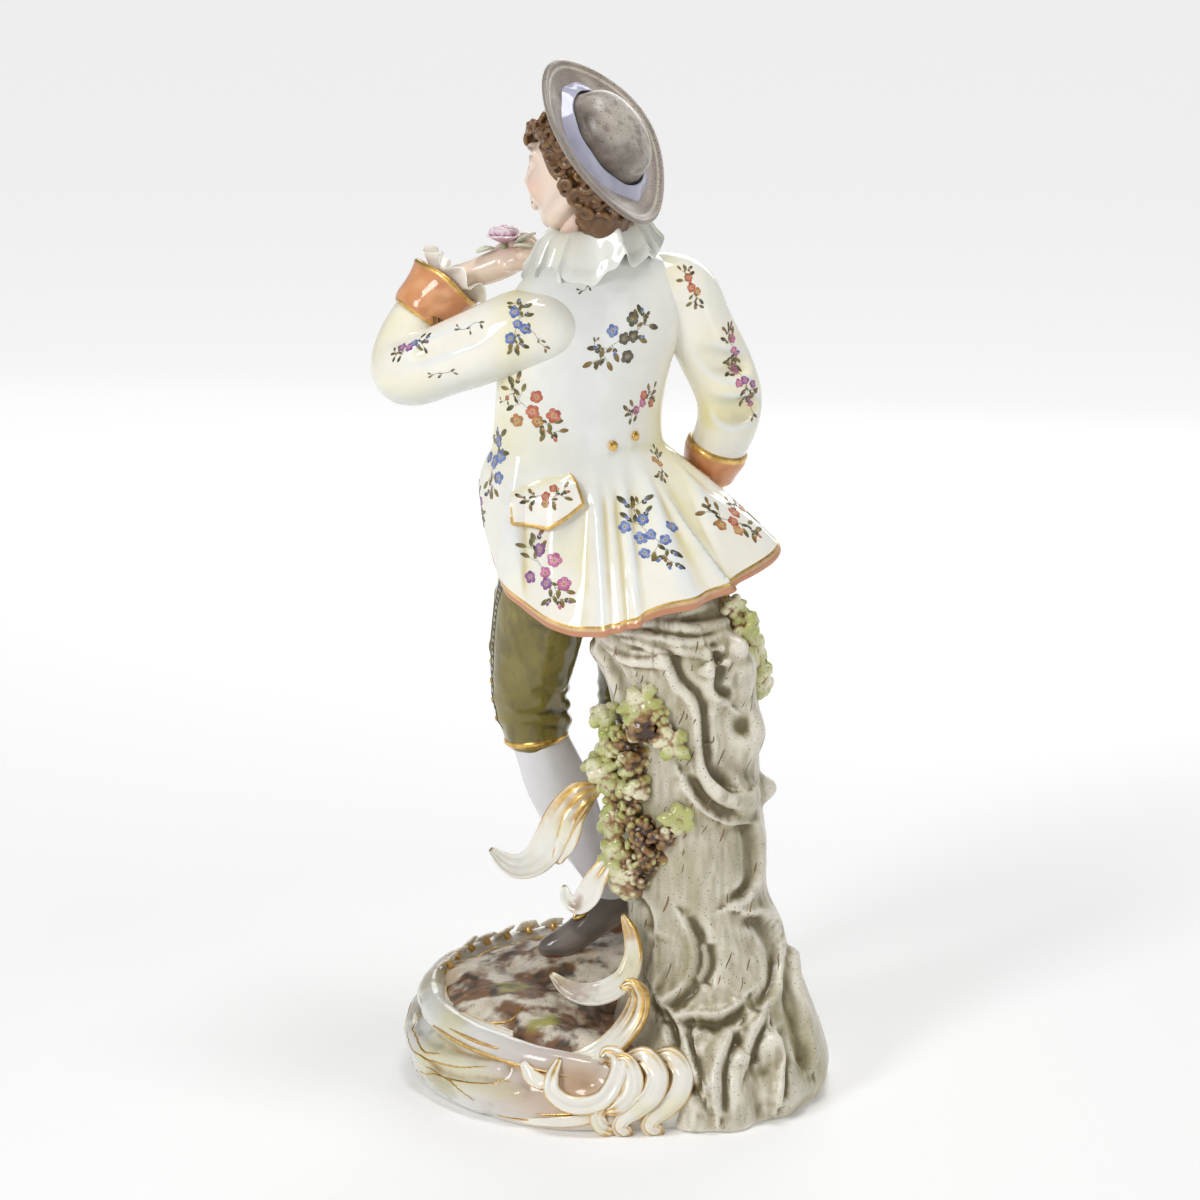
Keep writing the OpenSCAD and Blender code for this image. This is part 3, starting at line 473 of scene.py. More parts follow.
def band(front, back, rim=3):
    """A closed sheet between two grids whose columns run right round. It returns what sheet() does."""
    rows, columns = front.shape[:2]
    n = rows * columns
    v = [front.reshape(-1, 3), back.reshape(-1, 3)]
    depth = [np.zeros(n), np.ones(n)]
    faces = [grid_faces(rows, columns, True), grid_faces(rows, columns, True)[:, ::-1] + n]
    start = 2 * n
    for row, inner, turned in ((0, 1, 1), (rows - 1, rows - 2, 0)):
        a, b = front[row], back[row]
        away = unit((a - front[inner]) + (b - back[inner]))
        thick = np.linalg.norm(a - b, axis=1, keepdims=True)
        loops = [np.arange(columns) + row * columns]
        for k in range(rim):
            t = (k + 1) / (rim + 1)
            v.append(mix(a, b, t) + away * thick * 0.5 * math.sin(math.pi * t))
            depth.append(np.full(columns, t))
            loops.append(np.arange(columns) + start)
            start += columns
        loops.append(np.arange(columns) + row * columns + n)
        for low, high in zip(loops[:-1], loops[1:]):
            q = np.stack([low, np.roll(low, -1), np.roll(high, -1), high], 1)
            faces.append(q[:, ::-1] if turned else q)
    v, f = np.vstack(v), np.vstack(faces)
    return v, outward(v, f), np.concatenate(depth)


def joined(parts):
    """Several (points, faces, extra...) as one, with the extras joined too."""
    start, faces = 0, []
    for p in parts:
        faces.append(p[1] + start)
        start += len(p[0])
    return (np.vstack([p[0] for p in parts]), np.vstack(faces),
            *(np.concatenate([p[k] for p in parts]) for k in range(2, len(parts[0]))))


def scroll(stations, face, thick=2.0, cup=0.7, n=60, around=26, tip=0.25, ribs=0, gold=(0, 0), trim=1.0):
    """A rococo scroll: a dished strip along [x, y, z, half width] stations, facing `face`. It may be ribbed,
    with gold in the grooves over the given shares of its two ends. Its edges are gilt over the share `trim`
    of it. Returns points, faces and the amount of gold."""
    s = spread(stations, n)
    p, w = s[:, :3], np.maximum(s[:, 3], 0.15)
    t = unit(np.gradient(p, axis=0))
    face = np.asarray(face, float)
    faces_at = face if face.ndim == 2 else np.repeat(face[None], n, 0)
    if len(faces_at) != n:
        faces_at = np.stack([np.interp(np.linspace(0, 1, n), np.linspace(0, 1, len(faces_at)), faces_at[:, k])
                             for k in range(3)], 1)
    side = unit(np.cross(faces_at, t))
    up = np.cross(t, side)
    u = np.linspace(0, 1, n)
    swell = np.minimum(1, np.minimum(u, 1 - u) / tip * 2 + 0.35)
    a = circle(around)
    x, y = np.cos(a), np.sin(a)
    lift = np.where(y > 0, y * 0.55 + cup * (x * x - 0.45) * 0.9, y * (1 - 0.35 * x * x) * 0.9)
    groove = np.cos(math.pi * ribs * x) * (y > 0.2) if ribs else 0 * x
    lift = lift - 0.16 * groove
    rings = (p[:, None] + side[:, None] * (w[:, None] * x)[..., None]
             + up[:, None] * (np.minimum(thick * swell, w * 0.9 + 0.4)[:, None] * lift)[..., None])
    v = rings.reshape(-1, 3)
    f = grid_faces(n, around, True)
    caps = []
    for row, away in ((0, -t[0]), (n - 1, t[-1])):
        centre = rings[row].mean(0) + away * min(thick, w[row]) * 0.7
        ring = mix(rings[row], centre, 0.55) + away * min(thick, w[row]) * 0.4
        base = len(v)
        v = np.vstack([v, ring, centre[None]])
        k = np.arange(around)
        outer = k + row * around
        q = np.stack([outer, np.roll(outer, -1), base + (k + 1) % around, base + k], 1)
        c = np.stack([base + k, base + (k + 1) % around, np.full(around, base + around),
                      np.full(around, base + around)], 1)
        caps += [q, c] if row else [q[:, ::-1], c[:, ::-1]]
    f = np.vstack([f, *caps])
    edge = np.repeat(np.where(y > -0.55, ramp(np.abs(x), 0.84, 0.93), 0.0)[None], n, 0)
    if trim < 1:
        edge = edge * ramp(-u, -trim - 0.08, -trim + 0.08)[:, None]
    ends = np.maximum(ramp(-u, -gold[0], -gold[0] * 0.5) if gold[0] else 0 * u,
                      ramp(u, 1 - gold[1], 1 - gold[1] * 0.5) if gold[1] else 0 * u)
    edge = np.maximum(edge, ends[:, None] * ramp(groove + 0.3, 0.2, 0.8))
    edge = np.concatenate([edge.ravel(), np.full(len(v) - edge.size, 1.0 if max(gold) else 0.4)])
    return v, outward(v, f), edge


def capped(rows, columns, top_first=False):
    """Faces of a closed grid and its two caps, which meet in the two points that follow the grid's own."""
    k = np.arange(columns)
    start, end = [np.full(columns, rows * columns + extra) for extra in ((1, 0) if top_first else (0, 1))]
    low = np.stack([(k + 1) % columns, k, start, start], 1)
    high = np.stack([k + (rows - 1) * columns, (k + 1) % columns + (rows - 1) * columns, end, end], 1)
    return np.vstack([grid_faces(rows, columns, True), *((high, low) if top_first else (low, high))])


def tube(stations, n=40, around=12, squash=1.0, side=UP):
    """A rounded rod along [x, y, z, r] stations."""
    s = spread(stations, n)
    p, r = s[:, :3], np.maximum(s[:, 3], 0.02)
    t = unit(np.gradient(p, axis=0))
    u = unit(np.cross(t, np.asarray(side, float) + 1e-3))
    w = np.cross(t, u)
    a = circle(around)
    rings = (p[:, None] + u[:, None] * (r[:, None] * np.cos(a))[..., None]
             + w[:, None] * (r[:, None] * squash * np.sin(a))[..., None])
    v = np.vstack([rings.reshape(-1, 3), p[0] - t[0] * r[0] * 0.6, p[-1] + t[-1] * r[-1] * 0.6])
    return v, outward(v, capped(n, around))


def triangles(f):
    """Every quad cut in two, without the empty halves of quads that repeat a corner."""
    t = np.vstack([f[:, [0, 1, 2]], f[:, [0, 2, 3]]])
    return t[(t[:, 0] != t[:, 1]) & (t[:, 1] != t[:, 2]) & (t[:, 0] != t[:, 2])]


def gild(name, parts, nodes=(), split=True):
    """Adds the parts as one piece, all gold."""
    v, f = joined([p[:2] for p in parts])
    add(name, v, triangles(f) if split else f, GILT, nodes, None, np.ones(len(v)))


def tree_of(*pieces):
    """A search tree over the given (points, faces), for laying paint on them."""
    v, f = joined([(p[0], p[1]) for p in pieces])
    return BVHTree.FromPolygons([Vector(p) for p in v], [tuple(int(i) for i in q) for q in f])


def laid(tree, points, lift):
    """points moved to the tree's surface, raised by lift."""
    out = np.empty((len(points), 3))
    lift = np.broadcast_to(lift, len(points))
    for i, p in enumerate(points):
        hit, normal, _, _ = tree.find_nearest(Vector(p))
        out[i] = np.array(hit) + np.array(normal) * lift[i]
    return out


def stroke(tree, points, width, n=None, height=0.22, sink=0.12):
    """A brushed line on the surface: tapered, raised in the middle, with its edges under the glaze.
    points may carry a fourth column that scales the width."""
    points = np.asarray(points, float)
    if points.shape[1] == 3:
        points = np.hstack([points, np.ones((len(points), 1))])
    length = np.linalg.norm(np.diff(points[:, :3], axis=0), axis=1).sum()
    n = n or int(max(6, length / 0.8))
    s = spread(points, n)
    centre = laid(tree, s[:, :3], 0.0)
    t = unit(np.gradient(centre, axis=0))
    up = unit(laid(tree, centre, 1.0) - centre)
    side = unit(np.cross(t, up))
    u = np.linspace(0, 1, n)
    w = width * 0.5 * s[:, 3] * np.minimum(1, np.minimum(u, 1 - u) * length / 1.5 + 0.15)
    a = np.array([-1.0, -0.6, 0.0, 0.6, 1.0])
    rise = np.array([-sink, height * 0.75, height, height * 0.75, -sink])
    top = centre[:, None] + side[:, None] * (w[:, None] * a)[..., None] + up[:, None] * rise[None, :, None]
    low = centre[:, None] + side[:, None] * (w[:, None] * a[1:-1])[..., None] - up[:, None] * (sink + 0.2)
    rows = np.concatenate([top, low[:, ::-1]], 1)
    m = rows.shape[1]
    v = rows.reshape(-1, 3)
    f = grid_faces(n, m, True)
    k = np.arange(1, m - 1)
    ends = np.vstack([np.stack([np.zeros_like(k), k, k + 1, k + 1], 1),
                      np.stack([np.zeros_like(k), k + 1, k, k], 1) + (n - 1) * m])
    return v, np.vstack([f, ends])


# ---------------------------------------------------------------------------------- the figure's directions

TURN = math.radians(28)
E_R = np.array([math.cos(TURN), math.sin(TURN), 0.0])       # the figure's right
E_F = np.array([-math.sin(TURN), math.cos(TURN), 0.0])      # the way the chest faces
BASE_X, BASE_RX, BASE_RY = 6.5, 85.0, 81.0                  # the base's middle and half widths
POCKET_SHARE, POCKET_FLOOR = 0.82, 23.0                     # the hollow that holds the ground
GROUND_EDGE, GROUND_UNDERSIDE = 0.90, 21.0
RECESS_R, RECESS_TOP = 66.5, 2.2                            # the hollow under the base
KNEE, WAIST = 128.0, 257.0                                  # where the breeches end, and the coat's waist


def rim(a, share, z, *more):
    return [BASE_X + BASE_RX * share * math.cos(math.radians(a)), BASE_RY * share * math.sin(math.radians(a)),
            z, *more]


# ----------------------------------------------------------------------------------------------------- base

BASE_PROFILE = np.array([[0, 0.965], [3, 0.985], [8, 1.0], [15, 0.985], [20, 0.945], [25, 0.88], [29, 0.80]])


def outness(x, y):
    """How far out from the base's middle a point is: 1 at the base's widest outline."""
    return np.sqrt(((x - BASE_X) / BASE_RX) ** 2 + (y / BASE_RY) ** 2)


def base_wall(x, y, z):
    side = (outness(x, y) - np.interp(z, BASE_PROFILE[:, 0], BASE_PROFILE[:, 1])) * 80
    return np.maximum(np.maximum(side, z - 28.0), 0.3 - z)


base = Clay((-84, -86, -2), (98, 86, 50), 0.9)
base.add(base_wall, (-84, -86, -2), (98, 86, 34))
lip = rim(250, 0.7, 34)
base.egg(lip, (44, 30, 11), melt=3, carve=True)
for a0, a1, s0, s1, z0, z1, r0, r1 in ((128, 205, 0.885, 0.89, 32, 29, 4.6, 5.4),
                                       (60, 124, 0.885, 0.885, 31, 32, 4.4, 4.8),
                                       (18, 56, 0.885, 0.885, 30, 31, 3.6, 4.4),
                                       (205, 262, 0.885, 0.86, 29, 22, 5.4, 5.0),
                                       (172, 236, 0.985, 0.95, 16, 20, 2.2, 2.6),
                                       (196, 244, 0.99, 0.985, 9, 13, 1.8, 2.6),
                                       (168, 206, 0.97, 0.99, 22, 13, 2.4, 2.6),
                                       (206, 232, 0.99, 0.99, 12, 5, 2.0, 2.6),
                                       (60, 140, 0.975, 0.99, 12, 20, 3.0, 2.4),
                                       (20, 100, 0.99, 0.97, 6, 17, 2.6, 3.2),
                                       (236, 270, 0.965, 0.985, 3, 6, 2.0, 2.6)):
    base.rope([rim(mix(a0, a1, t), mix(s0, s1, t),
                   mix(z0, z1, t) - (1.6 * math.sin(math.pi * t) if s0 > 0.9 else 0), mix(r0, r1, t))
               for t in np.linspace(0, 1, 24)], melt=2.0)
base.egg((-6, -80, 20), (8, 6, 5), melt=2, carve=True)
base.add(lambda x, y, z: np.maximum((outness(x, y) - POCKET_SHARE) * 80, POCKET_FLOOR - z),
         (-66, -72, 20), (80, 72, 36), carve=True)
base.add(lambda x, y, z: np.maximum(np.hypot(x - BASE_X, y) - RECESS_R, z - RECESS_TOP), (-62, -68, -2),
         (75, 68, 4), carve=True)
v, f = base.mesh(3)
v = carved_out(v, f, 0.5 * rough_noise(v, 16, 2) * ramp(v[:, 2], 2, 8))
v[:, 2] = np.maximum(v[:, 2], 0.0)
deep = hollows(v, f, 10)
side_a = np.degrees(np.arctan2(v[:, 1] / BASE_RY, (v[:, 0] - BASE_X) / BASE_RX)) % 360
paint = wash(WHITE, BLUSH_WHITE, patches(v, 45, 0.0, 0.9, 2, 5))
paint = wash(paint, LEMON, 0.55 * patches(v, 30, 0.2, 0.8, 2, 9))
peach = (bump(side_a, 258, 16) * bump(v[:, 2], 12, 12)
         + 0.8 * bump(np.hypot(v[:, 0] + 8, v[:, 2] - 20), 0, 9) * (v[:, 1] < -60))
paint = wash(paint, "DBA766", np.clip(0.5 * peach, 0, 0.6)) * [0.84, 0.86, 0.9]
smoky = (bump(side_a, 196, 34) * patches(v * [1, 1, 1.8], 13, -0.1, 0.7, 3, 7)
         + 0.6 * bump(side_a, 225, 18) * patches(v, 16, 0.0, 0.8, 3, 8))
paint = wash(paint, "9C9168", np.clip(0.6 * smoky, 0, 0.6))
# Brown in the casting's hollows: partly the brown that collects there, partly painted shade
paint = wash(paint, "A88448", 0.75 * ramp(deep, 0.4, 1.6))
under = ramp(-v[:, 2], -1.2, -0.2)
paint = wash(paint, "CFC6B6", under)
add("base_casting_glazed", v, f, PORCELAIN, ["base_casting"], paint)
base_piece = (v, f)

# The disc under it, on its bare foot ring, with the firing vent through it
ring_profile = [(6.0, 5.2), (6.0, 3.4), (7.2, 3.0), (40, 3.0), (62.6, 3.0), (63.4, 1.6), (64.2, 0.2),
                (65.2, 0.0), (66.4, 0.0), (67.6, 0.2), (68.6, 1.4), (69.0, 3.4), (68.6, 5.2), (40, 5.4),
                (10, 5.4), (7.0, 5.4)]
a = np.radians(np.linspace(0, 360, 145)[:-1])
v = np.array([[BASE_X + r * math.cos(t), r * math.sin(t), z] for r, z in ring_profile for t in a])
f = grid_faces(len(ring_profile), len(a), True)
f = np.vstack([f,
               np.stack([np.arange(len(a)) + (len(ring_profile) - 1) * len(a),
                         np.roll(np.arange(len(a)), -1) + (len(ring_profile) - 1) * len(a),
                         np.roll(np.arange(len(a)), -1), np.arange(len(a))], 1)])
f = outward(v, f)
add("base_floor_biscuit", v, f, BISCUIT, ["base_floor"],
    wash("D8CFBF", "A39680", 0.7 * patches(v, 22, -0.1, 0.9) + 0.3 * ramp(-v[:, 2], -0.6, 0)))

# Ground inside the rim: humps of earth and stones
GROUND_MOUNDS = ((-2, 26, 62, 40, 43), (-34, -16, 36, 32, 37), (-50, 12, 22, 26, 38), (14, 44, 44, 26, 42),
                 (-22, -42, 17, 15, 33), (-6, -46, 16, 13, 30), (-52, -30, 20, 20, 31))
xs = np.arange(-70, 83.1, 0.85)
ys = np.arange(-70, 72.1, 0.85)
gx, gy = np.meshgrid(xs, ys, indexing="ij")
rho = outness(gx, gy)
height = np.full_like(gx, POCKET_FLOOR) + 3 * ramp(gy, -60, 10)
for mx, my, hw, hd, top in GROUND_MOUNDS:
    q = np.sqrt(np.maximum(1 - ((gx - mx) / hw) ** 2 - ((gy - my) / hd) ** 2, 0))
    height = np.logaddexp(height / 1.4, (20 + (top - 20) * q) / 1.4) * 1.4
flatp = np.stack([gx, gy, 0 * gx], -1)
height = (height
          + (1.0 * rough_noise(flatp, 16, 4) + 0.7 * np.abs(noise(flatp, 6, 3)))
          * ramp(GROUND_EDGE - rho, 0, 0.10))
height = mix(height, 19.0, ramp(rho, 0.83, GROUND_EDGE))
keep = rho < GROUND_EDGE
index = -np.ones(gx.shape, int)
index[keep] = np.arange(keep.sum())
v = np.stack([gx, gy, height], -1)[keep]
q = np.stack([index[:-1, :-1], index[1:, :-1], index[1:, 1:], index[:-1, 1:]], -1).reshape(-1, 4)
f = q[(q >= 0).all(1)]
low = np.column_stack([v[:, 0], v[:, 1], np.full(len(v), GROUND_UNDERSIDE)])
n = len(v)
directed = np.concatenate([f[:, [0, 1]], f[:, [1, 2]], f[:, [2, 3]], f[:, [3, 0]]])
keys = directed[:, 0] * (n + 1) + directed[:, 1]
border = directed[~np.isin(directed[:, 1] * (n + 1) + directed[:, 0], keys)]
skirt_faces = np.column_stack([border[:, 1], border[:, 0], border[:, 0] + n, border[:, 1] + n])
v = np.vstack([v, low])
f = np.vstack([f, f[:, ::-1] + n, skirt_faces])
f = outward(v, f)
deep = hollows(v, f, 10)
paint = wash("F0E7D6", "D9C3A6", patches(v, 12, -0.1, 0.8, 3, 2))
brown = 0.0
for x, y, size, much in ((-46, -14, 16, 1.25), (-30, -20, 12, 1.0), (-38, -32, 9, 0.9), (-12, -38, 15, 0.8),
                         (-30, -52, 9, 0.8), (6, -44, 14, 1.1), (-22, -4, 17, 0.75), (-58, 0, 8, 0.6),
                         (-2, -20, 18, 0.9), (-12, -56, 14, 0.6), (-30, 20, 16, 0.6), (10, 56, 20, 0.6),
                         (40, 40, 16, 0.6)):
    brown = np.maximum(brown, much * bump(np.hypot(v[:, 0] - x, v[:, 1] - y), 0, size))
brown = ramp(brown + 0.6 * rough_noise(v, 7, 4, 4), 0.15, 0.7)
paint = wash(paint, wash("7C4A18", "2A1606", patches(v, 3.5, -0.2, 0.6, 3, 6)), 0.9 * brown)
yellow = np.maximum(bump(np.hypot(v[:, 0] + 22, v[:, 1] + 42), 0, 9),
                    0.7 * bump(np.hypot(v[:, 0] + 36, v[:, 1] + 14), 0, 12))
paint = wash(paint, "B5B05C", 0.95 * ramp(yellow + 0.3 * rough_noise(v, 5, 2, 8), 0.35, 0.8))
# Near-black in the deep hollows of the brown patches: painted shade
paint = wash(paint, DARK, 0.8 * ramp(deep, 0.8, 2.2) * ramp(brown, 0.1, 0.6))
add("ground_mound_glazed", v, f, GROUND, ["ground_mound"], paint)
ground_piece = (v, f)

# ---------------------------------------------------------------------------------------------------- stump

TRUNK = np.array([[-4, 47, -20, 43, 52], [0, 47, -20, 43, 52], [8, 47.5, -19, 45, 54], [22, 47, -19, 42, 50],
                  [36, 46, -19, 37.5, 42], [47, 45, -20, 33, 35], [70, 40, -19, 28.5, 29],
                  [100, 36.5, -18, 28.5, 27.5], [130, 35.3, -18, 28.3, 27], [155, 34.5, -18, 28.5, 27],
                  [172, 32, -18, 30, 28.5], [188, 24, -18, 31, 28], [202, 22, -15, 27, 24.5],
                  [213, 18, -11, 22, 21], [216, 18, -11, 20, 19]])


def trunk(x, y, z):
    s = curve_at(TRUNK[:, 0], TRUNK[:, 1:], z.ravel())
    cx, cy, rx, ry = (s[:, k].reshape(1, 1, -1).astype(np.float32) for k in range(4))
    return (np.sqrt(((x - cx) / rx) ** 2 + ((y - cy) / ry) ** 2) - 1) * np.minimum(rx, ry) * 0.95


def on_trunk(a, z, out=0.0):
    """A point of the trunk at angle a (270 faces the viewer) and height z."""
    cx, cy, rx, ry = curve_at(TRUNK[:, 0], TRUNK[:, 1:], np.array(float(z)))
    return [cx + (rx + out) * math.cos(math.radians(a)), cy + (ry + out) * math.sin(math.radians(a)), z]


stump = Clay((-2, -86, -2), (100, 42, 218), 0.85)
stump.add(trunk, (-2, -86, -2), (100, 42, 216))
# Steps in the bark: line over the front, half width, and where the hollow beside it lies
RIDGES = (([(17.8, 183.9), (23.4, 183.1), (26.6, 179.3), (28.1, 175.1), (30.9, 170.3), (35.6, 165.3),
            (37.5, 159.4), (38.3, 150.6), (39, 142.8), (40.5, 136.9), (43.4, 131.9), (48.2, 127.5),
            (53, 125.7), (56.9, 126.2)], 2.3, (4.6, 1.0)),
          ([(32, 134.1), (34.9, 128.3), (38.2, 123.9), (42.5, 119.8), (48.2, 116.4), (55, 114.1)], 2.1,
           (3.2, 3.6)),
          ([(54, 115), (59.5, 112), (62.0, 106), (62.5, 98), (61.5, 88), (58, 83), (51, 80.8)], 2.0,
           (-4.2, 1.0)), ([(-4, 184), (2, 175), (6.5, 166), (8.5, 156), (9, 148)], 1.7, (3.6, 0)),
          ([(41.2, 185), (43.4, 177), (43.4, 168), (50.0, 162)], 1.8, (3.4, 0)),
          ([(11.5, 85), (17.5, 83.8), (21.4, 79), (22.8, 73), (22.0, 67)], 1.8, (-3.6, -1)),
          ([(32.6, 76.5), (36.3, 69.6), (37.5, 63.1), (36.5, 56.5), (33.1, 50.0), (28.0, 44.9), (25.4, 40.8),
            (26.5, 37.0)], 2.2, (3.9, 0)), ([(40.5, 67), (41.6, 59), (38.2, 52)], 1.7, (0, 0)),
          ([(29.9, 38.2), (37.6, 40.4), (45.6, 40.2), (51.3, 42.2), (56.0, 45.3)], 2.2, (0, -4.2)),
          ([(56.5, 77.0), (64.0, 74.1), (69.5, 66.0), (71.9, 57.7), (71.3, 49.9), (68.9, 44.9), (64.1, 41.0)],
           2.4, (-4.8, -0.5)), ([(64, 40), (59.2, 33), (56.8, 24)], 2.4, (4, 0)),
          ([(53.5, 37), (47.7, 30), (45.4, 20), (46, 8)], 2.4, (4, 0)),
          ([(74.6, 60), (76.5, 46), (80.9, 31), (84.5, 15)], 2.6, (-4.4, 0)),
          ([(37.6, 36), (38.6, 27), (40.8, 15)], 2.2, (-3.6, 0)),
          ([(68, 34), (71, 22), (70, 8)], 2.6, (4.5, 0)),
          ([(22, 46), (30, 38), (34, 28), (38, 18)], 2.4, (-4, -1)))


def bark_folds(v):
    """How far the bark stands out at each point: a fold rises slowly to its line and drops at once into the
    hollow on its other side."""
    high = np.zeros(len(v))
    seen = v[:, [0, 2]]
    for line, r, hollow in RIDGES:
        p = spread(np.array([[x, z, 0.0] for x, z in line]), 70)[:, :2]
        t = unit(np.gradient(p, axis=0))
        across = np.stack([-t[:, 1], t[:, 0]], 1)
        toward = np.sign(across @ (np.array(hollow) + 0.01))
        near = np.nonzero((seen > p.min(0) - 14).all(1) & (seen < p.max(0) + 14).all(1) & (v[:, 1] < 0))[0]
        away = seen[near][:, None] - p[None]
        far = np.linalg.norm(away, axis=2)
        k = far.argmin(1)
        far = far[np.arange(len(k)), k]
        side = np.einsum("ij,ij->i", away[np.arange(len(k)), k], across[k]) * toward[k]
        u = k / 69.0
        fade = np.minimum(1, np.minimum(u, 1 - u) * 6 + 0.25)
        rise = np.where(side < 0, np.exp(-((far / 3.4) ** 1.3)), np.exp(-((far / 1.2) ** 2)))
        dip = np.where(side > 0, np.exp(-(((far - 3.2) / 2.4) ** 2)), 0.0)
        high[near] += fade * r * (1.5 * rise - 0.95 * dip) * ramp(-v[near, 1], 0, 22)
    return high


stump.rope([(40, -40, 135, 3), (46, -40.5, 127, 4.6), (53, -37, 122.5, 5.2), (58, -33, 123, 4.0)], melt=7)
stump.rope([(48, -36, 186, 3), (54, -33, 175, 4.8), (54.5, -32, 163, 4.2)], melt=7)
for c, r, m in (((55.5, -31, 148), 9.0, 8), ((66, -16, 121), 4.5, 5), ((80, -38, 12), 8, 8),
                ((70, -60, 10), 8, 8), ((48, -68, 10), 8, 8), ((77, -10, 16), 8, 8), ((60, -56, 30), 8, 8),
                ((30, -62, 14), 7, 7), ((55.6, -66, 19), 4.5, 4), ((49.9, -70, 12), 4, 4),
                ((61, -67, 12.5), 4, 4), ((54, -38, 184), 4, 4)):
    stump.ball(c, r, melt=m)
for c, r in (((56.5, -39.5, 152.5), 3.4), ((51, -46, 135), 5.0), ((62, -45, 66), 3.0), ((38, -62, 45), 2.5),
             ((57, -64, 46), 2.5)):
    stump.ball(c, r, melt=5, carve=True)
for line in ([(32, -64, 27, 3), (35.5, -69, 17, 5), (38, -71, 6, 6.5), (38.5, -71.5, -1, 6.5)],
             [(46, -64, 28, 5), (48, -68, 15, 8), (49, -69, 0, 8.5)]):
    stump.rope(spread(np.array(line, float), 24), melt=5)
for k, (z, a0, a1, r) in enumerate(((194, 222, 335, 2.4), (190, 225, 330, 2.0), (186.5, 240, 345, 1.8),
                                    (182, 215, 290, 1.8), (198, 230, 320, 2.4), (178, 285, 340, 1.8))):
    line = [on_trunk(mix(a0, a1, t), z + 2.0 * math.sin(5 * t + k) - 2 * t + 3 * ramp(t, 0.6, 1), 0.6)
            for t in np.linspace(0, 1, 16)]
    stump.rope(np.column_stack([line,
                                r
                                * np.minimum(1,
                                             np.minimum(np.linspace(0, 1, 16), np.linspace(1, 0, 16)) * 5
                                             + 0.3)]), melt=0.8)
stump.cut_below(0.4)


def bark_paint(v, f):
    deep, wide = hollows(v, f, 6), hollows(v, f, 45)
    # Paler on the crests and darker between them: painted highlight and painted shade
    p = wash("B8AE92", "EBE5D5", ramp(-deep, -0.6, 0.9))
    p = wash(p, "A8A17A", 0.65 * patches(v * [1, 1, 0.6], 24, -0.1, 0.7, 3, 2))
    # Olive-brown to dark in the wide and deep hollows: partly the bark's own paint in its recesses, partly
    # painted shade
    p = wash(p, "7E7550", 0.9 * ramp(wide + 0.3 * rough_noise(v, 9, 3, 11), 0.1, 1.3))
    p = wash(p, "665A3C", 0.9 * ramp(deep, 0.35, 1.6))
    streak = patches(v * [1.0, 1.0, 0.22], 3.0, 0.25, 0.9, 3, 5) * patches(v, 18, -0.2, 0.5, 2, 7)
    p = wash(p, "857A5E", 0.7 * streak)
    shaded = (bump(v[:, 0], 12, 14) * bump(v[:, 2], 128, 40)
              + 0.8 * bump(v[:, 0], 18, 12) * bump(v[:, 2], 64, 22))
    p = wash(p, "7C7752", 0.55 * ramp(shaded, 0.3, 1.2))
    return wash(p, "6F6650",
                0.6 * ramp(v[:, 2] + 6 * noise(v, 14, 2), 184, 200)
                * patches(v * [0.4, 0.4, 1], 4, -0.6, 0.6, 3, 3))


v, f = stump.mesh(4)
v = carved_out(v, f, bark_folds(v))
v = relaxed(v, f, 1)
strip = rough_noise(v * [1.0, 1.0, 0.28], 7, 3) + 0.5 * noise(v * [1, 1, 0.4], 2.6, 3)
v = carved_out(v, f, 0.28 * strip)
v[:, 2] = np.maximum(v[:, 2], 0.2)
add("stump_glazed", v, f, BARK, ["tree_stump", "stump_root"], bark_paint(v, f))
stump_piece = (v, f)

# ----------------------------------------------------------------------------------------------------- legs

LEFT_LEG = [(-17, 3, 222, 18), (-22, 8, 196, 18.5), (-26, 14, 172, 16.5), (-29, 20, 150, 13.8),
            (-27, 22, 140, 12.8), (-26, 22, 134, 12)]
RIGHT_LEG = [(13, 16, 222, 17), (14, 26, 196, 16.5), (14, 34, 170, 15), (13, 40, 148, 12.8),
             (13, 42, 134, 12)]
LEFT_CALF = [(-26, 22, 140, 11.2), (-24, 22, 130, 11.2), (-17, 22, 112, 12.6), (-9, 21, 94, 10.5),
             (-2, 20, 78, 7), (4, 20, 68, 6), (9, 20, 63, 6)]
RIGHT_CALF = [(13, 42, 140, 11.2), (13, 42, 130, 11.2), (14, 42, 112, 12.2), (14, 43, 92, 9.5),
              (14, 44, 72, 6.5), (13, 45, 60, 6), (14, 43, 52, 6)]


def dense(stations, n=None):
    return spread(stations, n or 6 * len(stations))


legs = Clay((-56, -22, 122), (46, 66, 262), 0.75)
for stations in (LEFT_LEG, RIGHT_LEG):
    legs.rope(dense(stations), melt=2.0)
for z, hw, hd in ((214, 27, 19), (224, 31, 21), (236, 31, 21), (248, 29, 19.5)):
    legs.egg((-3, 8, z), (hw, hd, 15), (E_R, E_F, UP), melt=5)
for dz, r in ((0, 1.6), (6, 1.3), (12, 1.1)):
    for (x, y, z, _), s in (((-27, 22, 141, 0), 1), ((13, 41, 141, 0), -1)):
        legs.rope([(x + 13.2 * math.cos(t + 3.4), y + 13.2 * math.sin(t + 3.4),
                    z + dz + 3 * math.sin(1.3 * t + dz), r) for t in np.linspace(0, 3.4, 14)], melt=2.4)
legs.rope([(-41, 10, 196, 1.0), (-43, 16, 172, 1.2), (-41, 21, 152, 1.2), (-38, 23, 140, 0.8)], melt=3)
legs.rope([(-27, -11, 186, 2.2), (-14, -8, 180, 2.6), (-6, 2, 178, 1.8)], melt=4, carve=True)
legs.rope([(-30, -8, 200, 2.0), (-16, -10, 192, 2.6), (-4, -6, 190, 2.0)], melt=4, carve=True)
